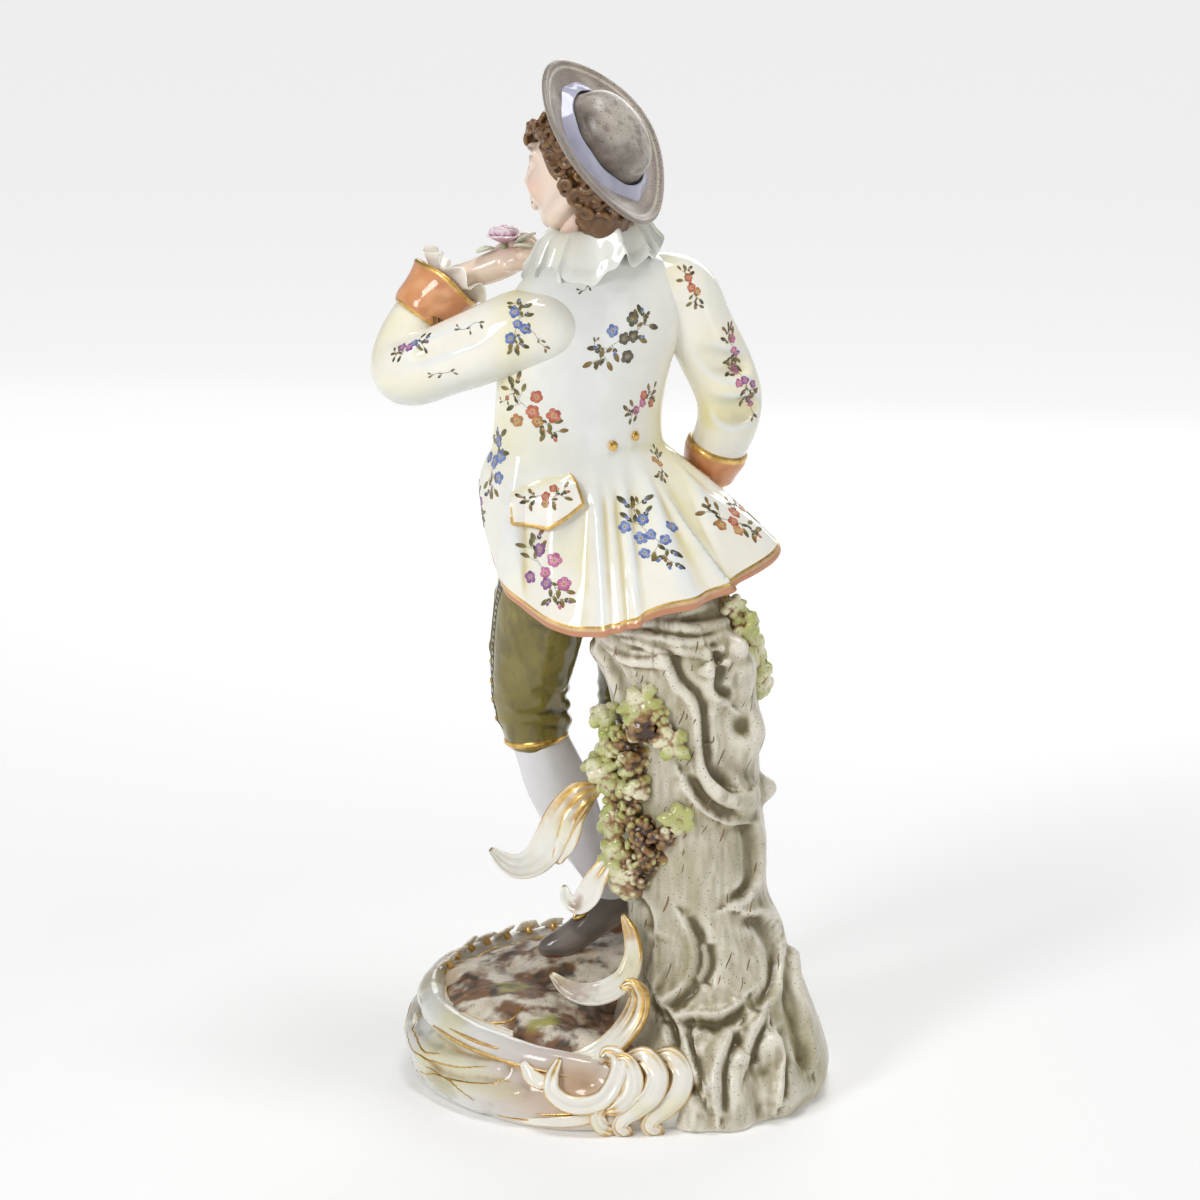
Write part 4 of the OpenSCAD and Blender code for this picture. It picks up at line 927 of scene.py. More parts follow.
for line in ([(-40.5, 12, 160, 1.0), (-34, 5.5, 163, 1.8), (-25, 3.2, 161, 2.2), (-15, 9, 158, 1.2)],
             [(-41, 15, 151, 1.0), (-34, 8.2, 150, 1.8), (-24, 7.4, 151, 2.2), (-16, 15, 154, 1.2)]):
    legs.rope(line, melt=3.5)
legs.cut_below(KNEE)
v, f = legs.mesh(3)
v = carved_out(v, f, 0.25 * rough_noise(v, 10, 3))
deep = hollows(v, f, 12)
paint = wash(OLIVE, OLIVE_PALE, 0.7 * patches(v, 26, -0.4, 0.9, 2, 1))
paint = wash(paint, OLIVE_DARK, 0.35 * patches(v * [1, 1, 0.3], 4, 0.0, 0.9, 3, 4))
# Dark olive in the folds: painted shade
paint = wash(paint, OLIVE_DARK, 0.9 * ramp(deep, 0.1, 1.5))
add("breeches_glazed", v, f, CLOTH, ["breeches_seat", "left_breeches", "right_breeches"],
    paint)
leg_piece = (v, f)

bands = []
for (x, y, z), tilt in (((-26, 22, 132.5), (0.12, 0.02)), ((13, 42, 132.5), (0.0, 0.06))):
    a = circle(72)
    rows = []
    for zz, r in ((-1.7, 12.2), (-0.9, 13.1), (0, 13.3), (0.9, 13.1), (1.7, 12.4)):
        wob = r * (1 + 0.012 * np.sin(3 * a + x))
        rows.append(np.stack([x + wob * np.cos(a), y + wob * np.sin(a),
                              z + zz + tilt[0] * 13 * np.cos(a) + tilt[1] * 13 * np.sin(a)], 1))
    outer = np.array(rows)
    inner = outer.copy()
    inner[..., 0] = x + (inner[..., 0] - x) * 0.86
    inner[..., 1] = y + (inner[..., 1] - y) * 0.86
    bands.append(band(outer, inner))
v, f, _ = joined(bands)
add("knee_bands_gilt", v, f, GILT, ["knee_bands"], np.tile(LEMON, (len(v), 1)), np.ones(len(v)))

for name, stations in (("left", LEFT_CALF), ("right", RIGHT_CALF)):
    low = np.min(np.array(stations)[:, :3], 0) - 14
    high = np.max(np.array(stations)[:, :3], 0) + 14
    leg = Clay(low, high, 0.6)
    leg.rope(dense(stations), melt=1.0)
    v, f = leg.mesh(3)
    v = carved_out(v, f, 0.12 * noise(v, 9))
    # Lighter towards -x and greyer towards +x: painted light and shade across the stocking
    paint = wash("E6E4E6", "D0CED5", ramp(noise(v, 25, 3) + 0.03 * (v[:, 0] + 10), -0.5, 0.8))
    add(name + "_stocking_glazed", v, f, PORCELAIN, [name + "_stocking"], paint)

shoes = (("left",
          [(9, 20, 63, 6.6), (4, 19.5, 60, 7.0), (-2, 18, 56, 7.0), (-8, 16, 51, 6.2), (-14, 14.5, 47.5, 5.6),
           (-19, 13.4, 45.6, 4.6), (-22, 13, 44.8, 3.4)]),
         ("right",
          [(15, 42, 51, 6.8), (12, 49, 50, 6.9), (8, 57, 47.5, 6.4), (4, 64, 46, 5.6), (2.5, 68, 45.5, 4.6),
           (1.5, 71, 45, 3.4)]))
for name, stations in shoes:
    low = np.min(np.array(stations)[:, :3], 0) - 11
    high = np.max(np.array(stations)[:, :3], 0) + 14
    shoe = Clay((low[0], low[1], min(low[2], 33)), high, 0.5)
    shoe.rope(dense(stations), melt=1.0)
    s = np.array(stations)
    t = unit(s[3, :3] - s[0, :3])
    heel = (7, 21, 56) if name == "left" else (17, 38, 45)
    bottom = (7, 21, 52) if name == "left" else (17, 37, 35)
    shoe.link(heel, bottom, 5.4, 3.6, melt=2.5)
    v, f = shoe.mesh(3)
    drop = v - s[0, :3]
    sole = ramp(-(v[:, 2]
                  - np.interp(np.clip(drop @ t, 0, None), (s[:, :3] - s[0, :3]) @ t,
                              s[:, 2] - s[:, 3] + 1.8)), 0.0, 0.5)
    paint = wash("6B625B", "8A8178", ramp(noise(v, 7), -0.3, 0.7))
    paint = wash(paint, "7E4A33", sole)
    add(name + "_shoe_glazed", v, f, PORCELAIN, [name + "_shoe"], paint)

buckles = []
for c, n, side in (((-8, 14.6, 58.4), (-0.45, 0, 0.9), (0, 1, 0)),
                   ((7.4, 58.4, 54.8), (-0.2, 0.3, 0.93), (0.9, 0.3, 0))):
    n, side = unit(n), unit(side)
    fore = np.cross(n, side)
    outline = [np.array(c) + side * 3.4 * math.copysign(abs(math.cos(t)) ** 0.6, math.cos(t))
               + fore * 2.6 * math.copysign(abs(math.sin(t)) ** 0.6, math.sin(t)) + n * 0.4
               for t in np.linspace(0, 2 * math.pi, 33)]
    buckles.append(tube([[*p, 0.75] for p in outline], 64, 10))
    buckles.append(tube([[*(np.array(c) + side * 3.0), 0.5], [*(np.array(c) + n * 0.5), 0.6],
                         [*(np.array(c) - side * 3.0), 0.5]], 10, 8))
gild("shoe_buckles_gilt", buckles, ["shoe_buckles"])

# ----------------------------------------------------------------------------------------------------- coat

TORSO = np.array([[256, -8, 0, 35.5, 21], [262, -8, 0, 35.2, 20.8], [275, -7.5, 1, 35.5, 21.5],
                  [287, -6, 2, 36.5, 22], [300, -3, 2, 38.5, 21], [312, 0, 2, 39, 19], [320, 1, 2, 37.5, 17],
                  [326, 1, 2, 32, 15], [331, 1, 2, 24, 13], [335, 0, 2, 13, 10]])
HEM = np.array([[-152, -44, 14, 242], [-125, -49, 0, 238], [-100, -46, -14, 222], [-75, -38, -27, 207],
                [-50, -25.5, -38, 198.5], [-25, -10, -47, 193.5], [0, 8, -52, 197], [25, 26, -51, 203.5],
                [45, 42, -42, 207], [65, 56, -28, 211], [90, 69, -4, 218], [112, 60, 16, 224],
                [125, 48, 27, 230], [152, 34, 36, 238]])
# Pleats: turn at the waist and at the hem, height, and width at the waist and at the hem
PLEATS = ((-8, -10, 3.4, 2.8, 5.5), (0.5, -1, 2.4, 2.2, 3.6), (10, 8, 3.0, 2.4, 4.6), (24, 36, 3.4, 3.2, 7),
          (34, 56, 2.2, 3, 6), (48, 90, 3.2, 7, 15), (-30, -42, 1.6, 6, 11), (-62, -74, 1.8, 8, 10),
          (70, 112, 2, 8, 12))


def around(turn):
    a = np.radians(turn)[..., None]
    return E_R * np.sin(a) - E_F * np.cos(a)


def torso_at(turn, z, inward=0.0):
    s = curve_at(TORSO[:, 0], TORSO[:, 1:], z)
    a = np.radians(turn)
    return (np.stack([s[..., 0], s[..., 1], z], -1) + E_R * ((s[..., 2] - inward) * np.sin(a))[..., None]
            - E_F * ((s[..., 3] - inward) * np.cos(a))[..., None])


def pleat_height(turn, f):
    h = 0.0
    for t0, t1, size, w0, w1 in PLEATS:
        h = h + size * ramp(f, -0.05, 0.42) * bump(turn, mix(t0, t1, f), mix(w0, w1, f))
    x = turn - mix(30, 56, f**0.9)
    crease = np.where(x < 0, np.exp(np.minimum(x, 0) / 9), -np.exp(-np.maximum(x, 0) / 7))
    return h - 1.6 * ramp(f, 0, 0.5) + 1.7 * ramp(f, 0.02, 0.4) * crease


def skirt_at(turn, f, inward=0.0):
    low = curve_at(HEM[:, 0], HEM[:, 1:], turn)
    g = f**1.06
    p = mix(torso_at(turn, np.full_like(turn, WAIST)), low, g[..., None])
    swell = np.where(np.abs(turn) > 60, 3.0, 0.6) * np.sin(math.pi * f)
    return p + around(turn) * (pleat_height(turn, f) + swell - inward)[..., None]


def panel_shift(turn, height):
    """How far the open edge of the left front panel stands off the body."""
    return np.where(turn < 0, 3.5 * np.clip((292 - height) / 30, 0, 1) * np.clip((-turn - 100) / 25, 0, 1), 0)


def coat_surface(turn, rows, inward):
    """The coat over a grid: rows above 2 are heights on the body, rows up to 1 are shares of the skirt."""
    out = []
    for r in rows:
        t = turn.copy()
        if r > 2:
            p = torso_at(t, np.full_like(t, r), inward)
            p += -E_R * panel_shift(t, r)[:, None]
        else:
            p = skirt_at(t, np.full_like(t, r), inward)
            p += -E_R * (panel_shift(t, 262) * (1 - r))[:, None]
        out.append(p)
    return np.array(out)


turns = np.concatenate([np.linspace(-152, -149, 5)[:-1], np.linspace(-149, 149, 236),
                        np.linspace(149, 152, 5)[1:]])
rows = np.concatenate([np.linspace(334.6, WAIST + 0.8, 78), np.linspace(0.0, 0.95, 74),
                       np.linspace(0.956, 1.0, 12)])
is_skirt = rows <= 2
outer = coat_surface(turns, rows, 0.0)
n_rows, n_cols = outer.shape[:2]
soft = grid_faces(n_rows, n_cols)
share_kept = np.repeat(1 - bump(np.where(is_skirt, -rows * 60, rows - WAIST), 0, 14), n_cols)
border = np.zeros((n_rows, n_cols))
border[0] = border[-1] = border[:, 0] = border[:, -1] = 1
smooth_outer = relaxed(outer.reshape(-1, 3), soft, 30, keep=np.maximum(share_kept, border.ravel()))
outer = relaxed(smooth_outer, soft, 2, keep=border.ravel()).reshape(outer.shape)
flat_normals = normals(outer.reshape(-1, 3), soft).reshape(outer.shape)
if (flat_normals[:, n_cols // 2] @ E_F).mean() > 0:
    flat_normals = -flat_normals
outer = outer + flat_normals * (0.22 * rough_noise(outer, 15, 2, 3))[..., None] * (1 - border)[..., None]
thick = np.where(is_skirt, 2.9, 2.5)[:, None, None]
inner = outer - flat_normals * thick
hem_drop = ramp(np.where(is_skirt, rows, 0), 0.90, 1.0)[:, None, None]
inner = inner - UP * 3.0 * hem_drop + flat_normals * 1.6 * hem_drop
v, f, depth = sheet(outer, inner, rim=4)
row_of = np.repeat(np.where(is_skirt, rows, 0), n_cols)
turn_of = np.tile(turns, n_rows)
grid_n = n_rows * n_cols
gilt = np.zeros(len(v))
gilt[:grid_n] = np.maximum(ramp(row_of, 0.988, 0.991),
                           ramp(np.abs(turn_of), 150.3, 150.9) * (rows.repeat(n_cols) < 322))
gilt[2 * grid_n :] = np.where(depth[2 * grid_n :] < 0.14, 1.0, 0.0)
p = outer.reshape(-1, 3)
turned = -1 if (normals(p, soft).reshape(outer.shape)[:, n_cols // 2] @ E_F).mean() > 0 else 1
# Lemon in the broad hollows, along the waist and round the sides, cooler white on the ridges: partly the
# glaze's own lemon wash, partly painted shade
deep = turned * hollows(p, soft, 60)
lemon = 0.9 * ramp(deep, 0.1, 1.3) + 0.5 * patches(p, 34, -0.1, 0.7, 2, 6)
lemon += 0.7 * bump(p[:, 2], 262, 12) * ramp(np.abs(turn_of), 15, 60)
lemon += 0.5 * bump(np.abs(turn_of), 82, 18) * ramp(p[:, 2], 258, 285)
body_paint = wash(WHITE, LEMON, np.clip(0.8 * lemon, 0.06, 0.9))
body_paint = wash(body_paint, BLUE_WHITE, 0.6 * ramp(-deep, 0.3, 1.5))
cool = bump(np.abs(turn_of + 20), 0, 60) * ramp(p[:, 2] + 12 * noise(p, 25, 2), 205, 250)
body_paint = wash(body_paint, BLUE_WHITE, 0.55 * cool)
# Greyish yellow in the sharp creases: painted shade
tight = turned * hollows(p, soft, 12)
body_paint = wash(body_paint, "CDBD88", 0.6 * ramp(tight, 0.5, 1.9) * (row_of > 0))
paint = np.tile(SALMON, (len(v), 1))
paint[:grid_n] = body_paint
inside = v[grid_n : 2 * grid_n]
paint[grid_n : 2 * grid_n] = wash(SALMON, "DDAF8B", patches(inside, 12, -0.2, 0.6))
add("coat_glazed", v, f, COAT, ["coat_back", "coat_skirt", "coat_left_front", "coat_right_front"],
    paint, gilt)
coat_piece = (v, f)

# Pocket flaps, each a thick tongue standing a little off the skirt
flaps = []
flap_coat = tree_of(coat_piece)
corners = ((-34.6, 243.5), (-33.6, 231.5), (-19.5, 229.5), (-6.5, 238.5), (-11.5, 251.0), (-24, 248.5))
ul, ll, lm, lr, ur, um = (np.array(c) for c in corners)
uu, ww = np.meshgrid(np.linspace(0, 1, 73), np.linspace(0, 1, 41))
top_line = np.where(uu[..., None] < 0.5, mix(ul, um, 2 * uu[..., None]), mix(um, ur, 2 * uu[..., None] - 1))
low_line = np.where(uu[..., None] < 0.55, mix(ll, lm, uu[..., None] / 0.55),
                    mix(lm, lr, (uu[..., None] - 0.55) / 0.45))
xz = mix(top_line, low_line, ww[..., None])
hit = np.array([flap_coat.ray_cast(Vector((x, -90, z)), Vector((0, 1, 0)))[0] for x,
                z in xz.reshape(-1, 2)]).reshape(*uu.shape, 3)
soft_hit = relaxed(hit.reshape(-1, 3), grid_faces(*uu.shape), 6).reshape(hit.shape)
out = -unit(np.cross(np.gradient(soft_hit, axis=1), np.gradient(soft_hit, axis=0)))
out = out * np.sign(-out[..., 1])[..., None]
lift = (-1.3 + 2.6 * ramp(ww, 0, 0.45) + 1.2 * uu**2 * ww)[..., None]
top, low = soft_hit + out * (lift + 1.4), soft_hit + out * (lift - 0.9)
v, f, _ = sheet(top, low, rim=4)
k = uu.size
wide = np.linalg.norm(lr - ll)
edge = np.minimum(np.minimum(uu + 10 * (ww < 0.5), 1 - uu) * wide, (1 - ww) * 12)
gold = np.zeros(len(v))
gold[:k] = ramp(-edge.ravel(), -0.8, -0.5)
side_wall = v[2 * k :]
gold[2 * k :] = np.linalg.norm(side_wall[:, None] - top[-1][None], axis=2).min(1) < 2.6
gold[2 * k :] = np.maximum(gold[2 * k :],
                           np.linalg.norm(side_wall[:, None] - top[:, -1][None], axis=2).min(1) < 2.6)
pt = np.tile(WHITE, (len(v), 1))
pt[:k] = wash(WHITE, LEMON, 0.6 * ramp(-ww.ravel(), -0.3, 0.0))
flaps.append((v, f, gold, pt))
# The other side's flap hangs on the skirt itself
uu, ww = np.meshgrid(np.linspace(0, 1, 61), np.linspace(0, 1, 31))
tt, ff = mix(101, 128, uu), mix(0.20, 0.46 * (1 + 0.1 * np.sin(math.pi * uu)), ww)
lift = 0.5 + 1.2 * ww
v, f, _ = sheet(skirt_at(tt, ff, -(lift + 1.4)), skirt_at(tt, ff, -(lift - 0.9)), rim=4)
k = uu.size
gold = np.zeros(len(v))
gold[:k] = ramp(-np.minimum(np.minimum(uu, 1 - uu) * 24, (1 - ww) * 12).ravel(), -0.8, -0.5)
gold[2 * k :] = 1
flaps.append((v, f, gold, np.tile(WHITE, (len(v), 1))))
v, f, gold, pt = joined(flaps)
add("pocket_flaps_glazed", v, f, COAT, ["pocket_flaps"], pt, gold)
flap_piece = (v, f)

# Small gilt buttons on the back
knobs = []


def knob(c, n, r):
    """A domed button with a rim and a shank."""
    n = unit(n)
    u = unit(np.cross(n, UP + 0.01))
    w = np.cross(n, u)
    a = circle(32)
    rings = [(0.02, 0.62), (0.3, 0.60), (0.55, 0.50), (0.72, 0.36), (0.80, 0.30), (0.92, 0.34), (1.0, 0.22),
             (0.96, 0.02), (0.6, -0.35), (0.45, -0.8), (0.02, -0.8)]
    v = np.array([np.asarray(c) + (u * math.cos(t) + w * math.sin(t)) * r * q + n * r * h for q,
                  h in rings for t in a])
    return v, outward(v, grid_faces(len(rings), len(a), True))


for t in (5.5, 23.5):
    turn = np.array([t])
    c = torso_at(turn, np.array([259 + 0.15 * t]))[0]
    knobs.append(knob(c + around(turn)[0] * 0.6, around(turn)[0] + 0.1 * UP, 2.0))
gild("back_buttons_gilt", knobs, ["back_buttons"], split=False)

# Waistcoat inside the open front, with its points and buttons
t = np.linspace(100, 260, 120)
zs = np.concatenate([np.linspace(328, 258, 60), np.linspace(257, 226, 30)])
rows_w = []
for z in zs:
    p = torso_at(t, np.full_like(t, max(z, WAIST)), 3.4)
    p[:, 2] = z
    spread_out = np.clip((WAIST - z) / 31, 0, 1)
    p += around(t) * (2.5 * spread_out)
    p[:, 2] += -5 * spread_out * bump(t, 180, 25) + 8 * spread_out * bump(t, 180, 6)
    rows_w.append(p)
outer = np.array(rows_w)
inner = outer - around(np.tile(t, (len(zs), 1))) * 2.2
v, f, _ = sheet(outer, inner, rim=3)
k = outer.shape[0] * outer.shape[1]
middle = np.tile(np.abs(t - 180), len(zs))
gold = np.zeros(len(v))
gold[:k] = np.maximum(bump(middle, 2.2, 0.9) > 0.45, np.repeat(zs, len(t)) < 228)
pt = wash("F0EBCB", LEMON, patches(v, 20, -0.2, 0.8))
add("waistcoat_glazed", v, f, COAT, ["waistcoat"], pt, gold)
knobs = []
for i in range(6):
    turn = np.array([177.5])
    z = 262 + 9.2 * i
    c = torso_at(turn, np.array([float(z)]), 3.4)[0]
    knobs.append(knob(c + around(turn)[0] * 0.4, around(turn)[0], 1.9))
gild("waistcoat_buttons_gilt", knobs, ["waistcoat_buttons"], split=False)

# Jabot: a fall of lace, three tiers of fluted cloth
tiers = []
for k, (z0, z1, w0, w1) in enumerate(((334, 318, 4.5, 10), (325, 308, 4, 9), (316, 298, 3.5, 8))):
    s = np.linspace(-1, 1, 60)
    r = np.linspace(0, 1, 22)
    ss, rr = np.meshgrid(s, r)
    turn0 = np.array([180.0])
    base_pt = np.array([torso_at(turn0, np.array([z]))[0] for z in mix(z0, z1, r)])
    out = np.repeat(base_pt[:, None], len(s), 1) + E_R * (ss * mix(w0, w1, rr))[..., None]
    wave = np.sin(ss * 11 + k * 1.3) * (0.4 + 1.7 * rr)
    out = (out + E_F * (0.4 + 2.4 * rr + wave - 2.2 * ss**2 - 0.7 * k + 1.4)[..., None]
           + UP * (0.9 * np.sin(ss * 22) * rr**6)[..., None])
    v, f, _ = sheet(out, out - E_F * 1.1, rim=2)
    tiers.append((v, f))
v, f = joined(tiers)
# Grey in the hollows of the lace: painted shade
add("jabot_glazed", v, f, PORCELAIN, ["jabot"],
    wash(WHITE, "C6CBCB", ramp(hollows(v, f, 6), 0, 1.5)))

# ----------------------------------------------------------------------------------------------------- arms

LEFT_ARM = [(-22, -13, 306, 15.5), (-30, -14, 304.5, 15.6), (-42, -13, 300, 15), (-60, -9, 292.5, 13.8),
            (-71, -4, 287.5, 13.2), (-76.5, 1, 286.5, 12.8), (-77.5, 6, 290, 12.4), (-75.5, 10.5, 297, 11.8),
            (-72, 14, 304, 11.2), (-69, 15.4, 309, 10.4)]
RIGHT_ARM = [(24, 13, 319, 12.5), (32, 16, 315.5, 13.8), (40, 18.5, 300, 13.4), (47, 21, 286, 13.2),
             (51.5, 22.3, 274, 12.8), (51.8, 23.5, 266, 12.2), (50, 26, 258, 11.4), (47, 28.6, 251, 10.6)]


def sleeve_paint(v, f, line):
    deep = hollows(v, f, 30)
    # Lemon in the hollows and near the given place, cooler white on the ridges: partly the glaze's own lemon
    # wash, partly painted shade
    lemon = 0.7 * ramp(deep, 0.3, 4.0) + 0.5 * patches(v, 28, -0.1, 0.7, 2, 6) + line
    p = wash(WHITE, LEMON, np.clip(0.8 * lemon, 0.06, 0.9))
    p = wash(p, BLUE_WHITE, 0.6 * ramp(-deep, 0.4, 1.6))
    # Cool grey on the undersides: painted shade
    return wash(p, "BCC4C6", 0.55 * ramp(-normals(v, f)[:, 2], 0.1, 1.0))


def finish_sleeve(arm, side, axis, at, size, much):
    """Adds the sleeve, yellower near one place along an axis."""
    v, f = arm.mesh(4)
    v = carved_out(v, f, 0.15 * rough_noise(v, 12, 2))
    add(side + "_sleeve_glazed", v, f, COAT, [side + "_upper_sleeve", side + "_forearm"],
        sleeve_paint(v, f, much * bump(v[:, axis], at, size)))
    return v, f


arm = Clay((-95, -34, 266), (-8, 34, 328), 0.6)
arm.rope(dense(LEFT_ARM, 60), melt=1.0)
arm.rope(dense([(-48, -28, 306, 0.6), (-60, -24.5, 302, 1.2), (-72, -18, 296, 0.6)], 16), melt=5, carve=True)
left_sleeve_piece = finish_sleeve(arm, "left", 0, -33, 8, 0.6)

arm = Clay((8, -4, 236), (70, 48, 336), 0.6)
arm.rope(dense(RIGHT_ARM, 60), melt=1.0)
for line in ([(40, 2, 292, 0.8), (50, 6, 288, 1.5), (60, 13, 288, 0.8)],
             [(40, 6, 272, 1.0), (51, 7.5, 268, 2.0), (61, 15, 270, 1.0)]):
    arm.rope(dense(line, 16), melt=6, carve=True)
right_sleeve_piece = finish_sleeve(arm, "right", 2, 268, 10, 0.5)


def collar(start, end, profile, thick, waves=0, size=0.0, phase=0.0, columns=96, tilt=0.0):
    """A band round the line from start to end. profile is [(share of the way, radius), ...]; waves deepen
    along it."""
    start, end = np.array(start, float), np.array(end, float)
    d = unit(end - start)
    u = unit(np.cross(d, UP))
    w = np.cross(d, u)
    a = circle(columns)
    prof = spread(np.array([[s, r, 0.0] for s, r in profile]), 20)
    rows = []
    for s, r, _ in prof:
        k = np.clip((s - profile[0][0]) / (profile[-1][0] - profile[0][0]), 0, 1)
        rr = r * (1 + size * k * np.sin(waves * a + phase))
        along = (s * np.linalg.norm(end - start) + 1.2 * size * r * k * np.cos(waves * a + phase + 0.8)
                 + tilt * k * np.cos(a))
        rows.append(start + d * along[:, None] + u * (rr * np.cos(a))[:, None]
                    + w * (rr * np.sin(a))[:, None])
    outer = np.array(rows)
    axis_pt = start + d * ((outer - start) @ d)[..., None]
    inner = outer - unit(outer - axis_pt) * thick
    return band(outer, inner, rim=4)


def edged(piece, rows, columns, low=0.08, high=0.92):
    """Amount of gilt on the two edges of a band of the given grid."""
    v, _, depth = piece
    k = rows * columns
    gold = np.zeros(len(v))
    r = np.repeat(np.linspace(0, 1, rows), columns)
    gold[:k] = np.maximum(ramp(-r, -low, -low + 0.02) if low else 0, ramp(r, high - 0.02, high))
    gold[2 * k :] = depth[2 * k :] < 0.6
    return gold


for name, start, end, profile, waves, size, phase, hollow in (("left", (-70.5, 14.8, 306.5),
        (-61.0, 17.2, 318.5), [(-0.08, 12.6), (0.15, 13.6), (0.45, 13.6), (0.8, 14.2), (1.05, 15.4)], 3, 0.04,
        0.6, 6.0),
        ("right", (47.2, 28.5, 251), (43.6, 31.4, 240.5),
         [(-0.08, 12.8), (0.15, 13.0), (0.5, 12.2), (0.8, 11.4), (1.0, 11.0)], 3, 0.03, 0.2, 6.0)):
    piece = collar(start, end, profile, 2.4, waves, size, phase)
    v, f, _ = piece
    paint = wash(ORANGE, "E3A878", patches(v, 9, -0.1, 0.8, 2))
    paint = wash(paint, RUST, 0.4 * patches(v, 6, 0.2, 0.9, 2, 5))
    add(name + "_cuff_glazed", v, f, PORCELAIN, [name + "_cuff"], paint, edged(piece, 20, 96))
for name, start, end, profile, lobes in (("left", (-62.5, 16.8, 316.5), (-57.5, 18, 322.2),
                                          [(0.0, 7.5), (0.4, 8.8), (0.8, 11.6), (1.15, 14.6)], 7),
                                         ("right", (43.8, 31.4, 240), (40.4, 33.6, 232),
                                          [(0.0, 7.0), (0.4, 8.0), (0.8, 9.4), (1.1, 10.6)], 6)):
    v, f, _ = collar(start, end, profile, 1.3, lobes, 0.14, 0.4, 144)
    # Grey in the hollows of the frills: painted shade
    add(name + "_frill_glazed", v, f, PORCELAIN, [name + "_wrist_frill"],
        wash(WHITE, "B9B6A6", 0.8 * ramp(hollows(v, f, 8), 0.2, 1.5)))

# Hands


def finish_hand(hand, name):
    v, f = hand.mesh(2)
    # Blush deeper in the hollows: partly the flesh's own blush, partly painted shade
    add(name + "_glazed", v, f, FLESH_GLAZE, [name],
        wash(FLESH, BLUSH, 0.6 * ramp(hollows(v, f, 10), 0.2, 1.5)))


hand = Clay((-72, 4, 308), (-20, 32, 348), 0.45)
hand.rope(dense([(-66, 16.4, 313, 6.4), (-58, 17.6, 320, 5.6), (-50, 18, 322.6, 5.6), (-43, 17.8, 325.2, 6.2),
                 (-37, 17, 327.6, 6.0), (-33, 16, 329, 4.6)]), melt=1.5, squash=((0, 0.2, 0.98), 0.85))
for i in range(4):
    y = 20.6 - 3.1 * i
    hand.rope(dense([(-37, y - 0.4, 329 - 0.7 * i, 2.3), (-31, y + 1.0, 331.2 - 1.3 * i, 2.25),
                     (-27, y + 0.8, 333.4 - 1.6 * i, 2.1), (-28.2, y, 336.4 - 1.9 * i, 1.9),
                     (-31, y - 0.4, 337 - 2.0 * i, 1.7)], 24), melt=1.0)
hand.rope(dense([(-44, 22, 327, 2.6), (-39, 22, 331, 2.5), (-36, 19.6, 334, 2.1), (-34.6, 17.4, 335.5, 1.8)],
                20), melt=1.4)
finish_hand(hand, "left_hand")

hand = Clay((4, 22, 208), (54, 50, 250), 0.45)
hand.rope(dense([(45, 30, 245, 6.2), (40.5, 33.5, 235, 5.4), (36, 36.4, 230.5, 5.8), (30, 38, 227, 6.0),
                 (25, 37.6, 225, 4.8)]), melt=1.5, squash=((0.3, 0.9, 0.2), 0.8))
for i in range(4):
    hand.rope(dense([(29, 40 - 1.3 * i, 229.5 - 2.9 * i, 2.3), (22, 40 - 1.4 * i, 227.4 - 2.8 * i, 2.2),
                     (16.5, 37.6 - 1.4 * i, 225.4 - 2.7 * i, 2.0),
                     (14, 34.6 - 1.2 * i, 224.2 - 2.6 * i, 1.7)], 24), melt=1.0)
hand.rope(dense([(36, 34, 234.5, 2.6), (30, 34, 236, 2.4), (25, 35.4, 235, 2.1), (21.5, 36.4, 233.6, 1.8)],
                20), melt=1.4)
finish_hand(hand, "right_hand")

# ----------------------------------------------------------------------------------------- neck, head, hair

HEAD_C = np.array([-8.0, 2.0, 366.0])
FACE = np.array([-0.867, 0.498, 0.0])          # the way the face looks
EAR = np.array([-0.498, -0.867, 0.0])          # towards its left ear
HEAD_AXES = (FACE, EAR, UP)
HAT_C = np.array([0.5, -6.0, 376.5])
HAT_N = unit([0.714, -0.5, 0.49])
HAT_U = unit([-0.49, 0, 0.714])
HAT_W = np.cross(HAT_N, HAT_U)


def skull(fore, side, up):
    return HEAD_C + FACE * fore + EAR * side + UP * up


def on_head(*stations):
    """Rope stations given as fore, side, up and radius."""
    return [(*skull(*p[:3]), p[3]) for p in stations]


neck = Clay((-24, -14, 320), (12, 18, 352), 0.5)
neck.rope(dense([(-3, 1, 322, 9.6), (-3.5, 1.2, 330, 8.4), (-5.5, 1.6, 338, 7.9), (-8, 2, 347, 8.2)]), melt=1)
neck.rope(on_head((5, 3, -38, 1.4), (2, 5.5, -26, 1.5), (-2, 7, -18, 1.4)), melt=4)
v, f = neck.mesh(3)
add("neck_glazed", v, f, FLESH_GLAZE, ["neck"],
    wash(FLESH, BLUSH, 0.2 * ramp(noise(v, 12), 0, 1)))

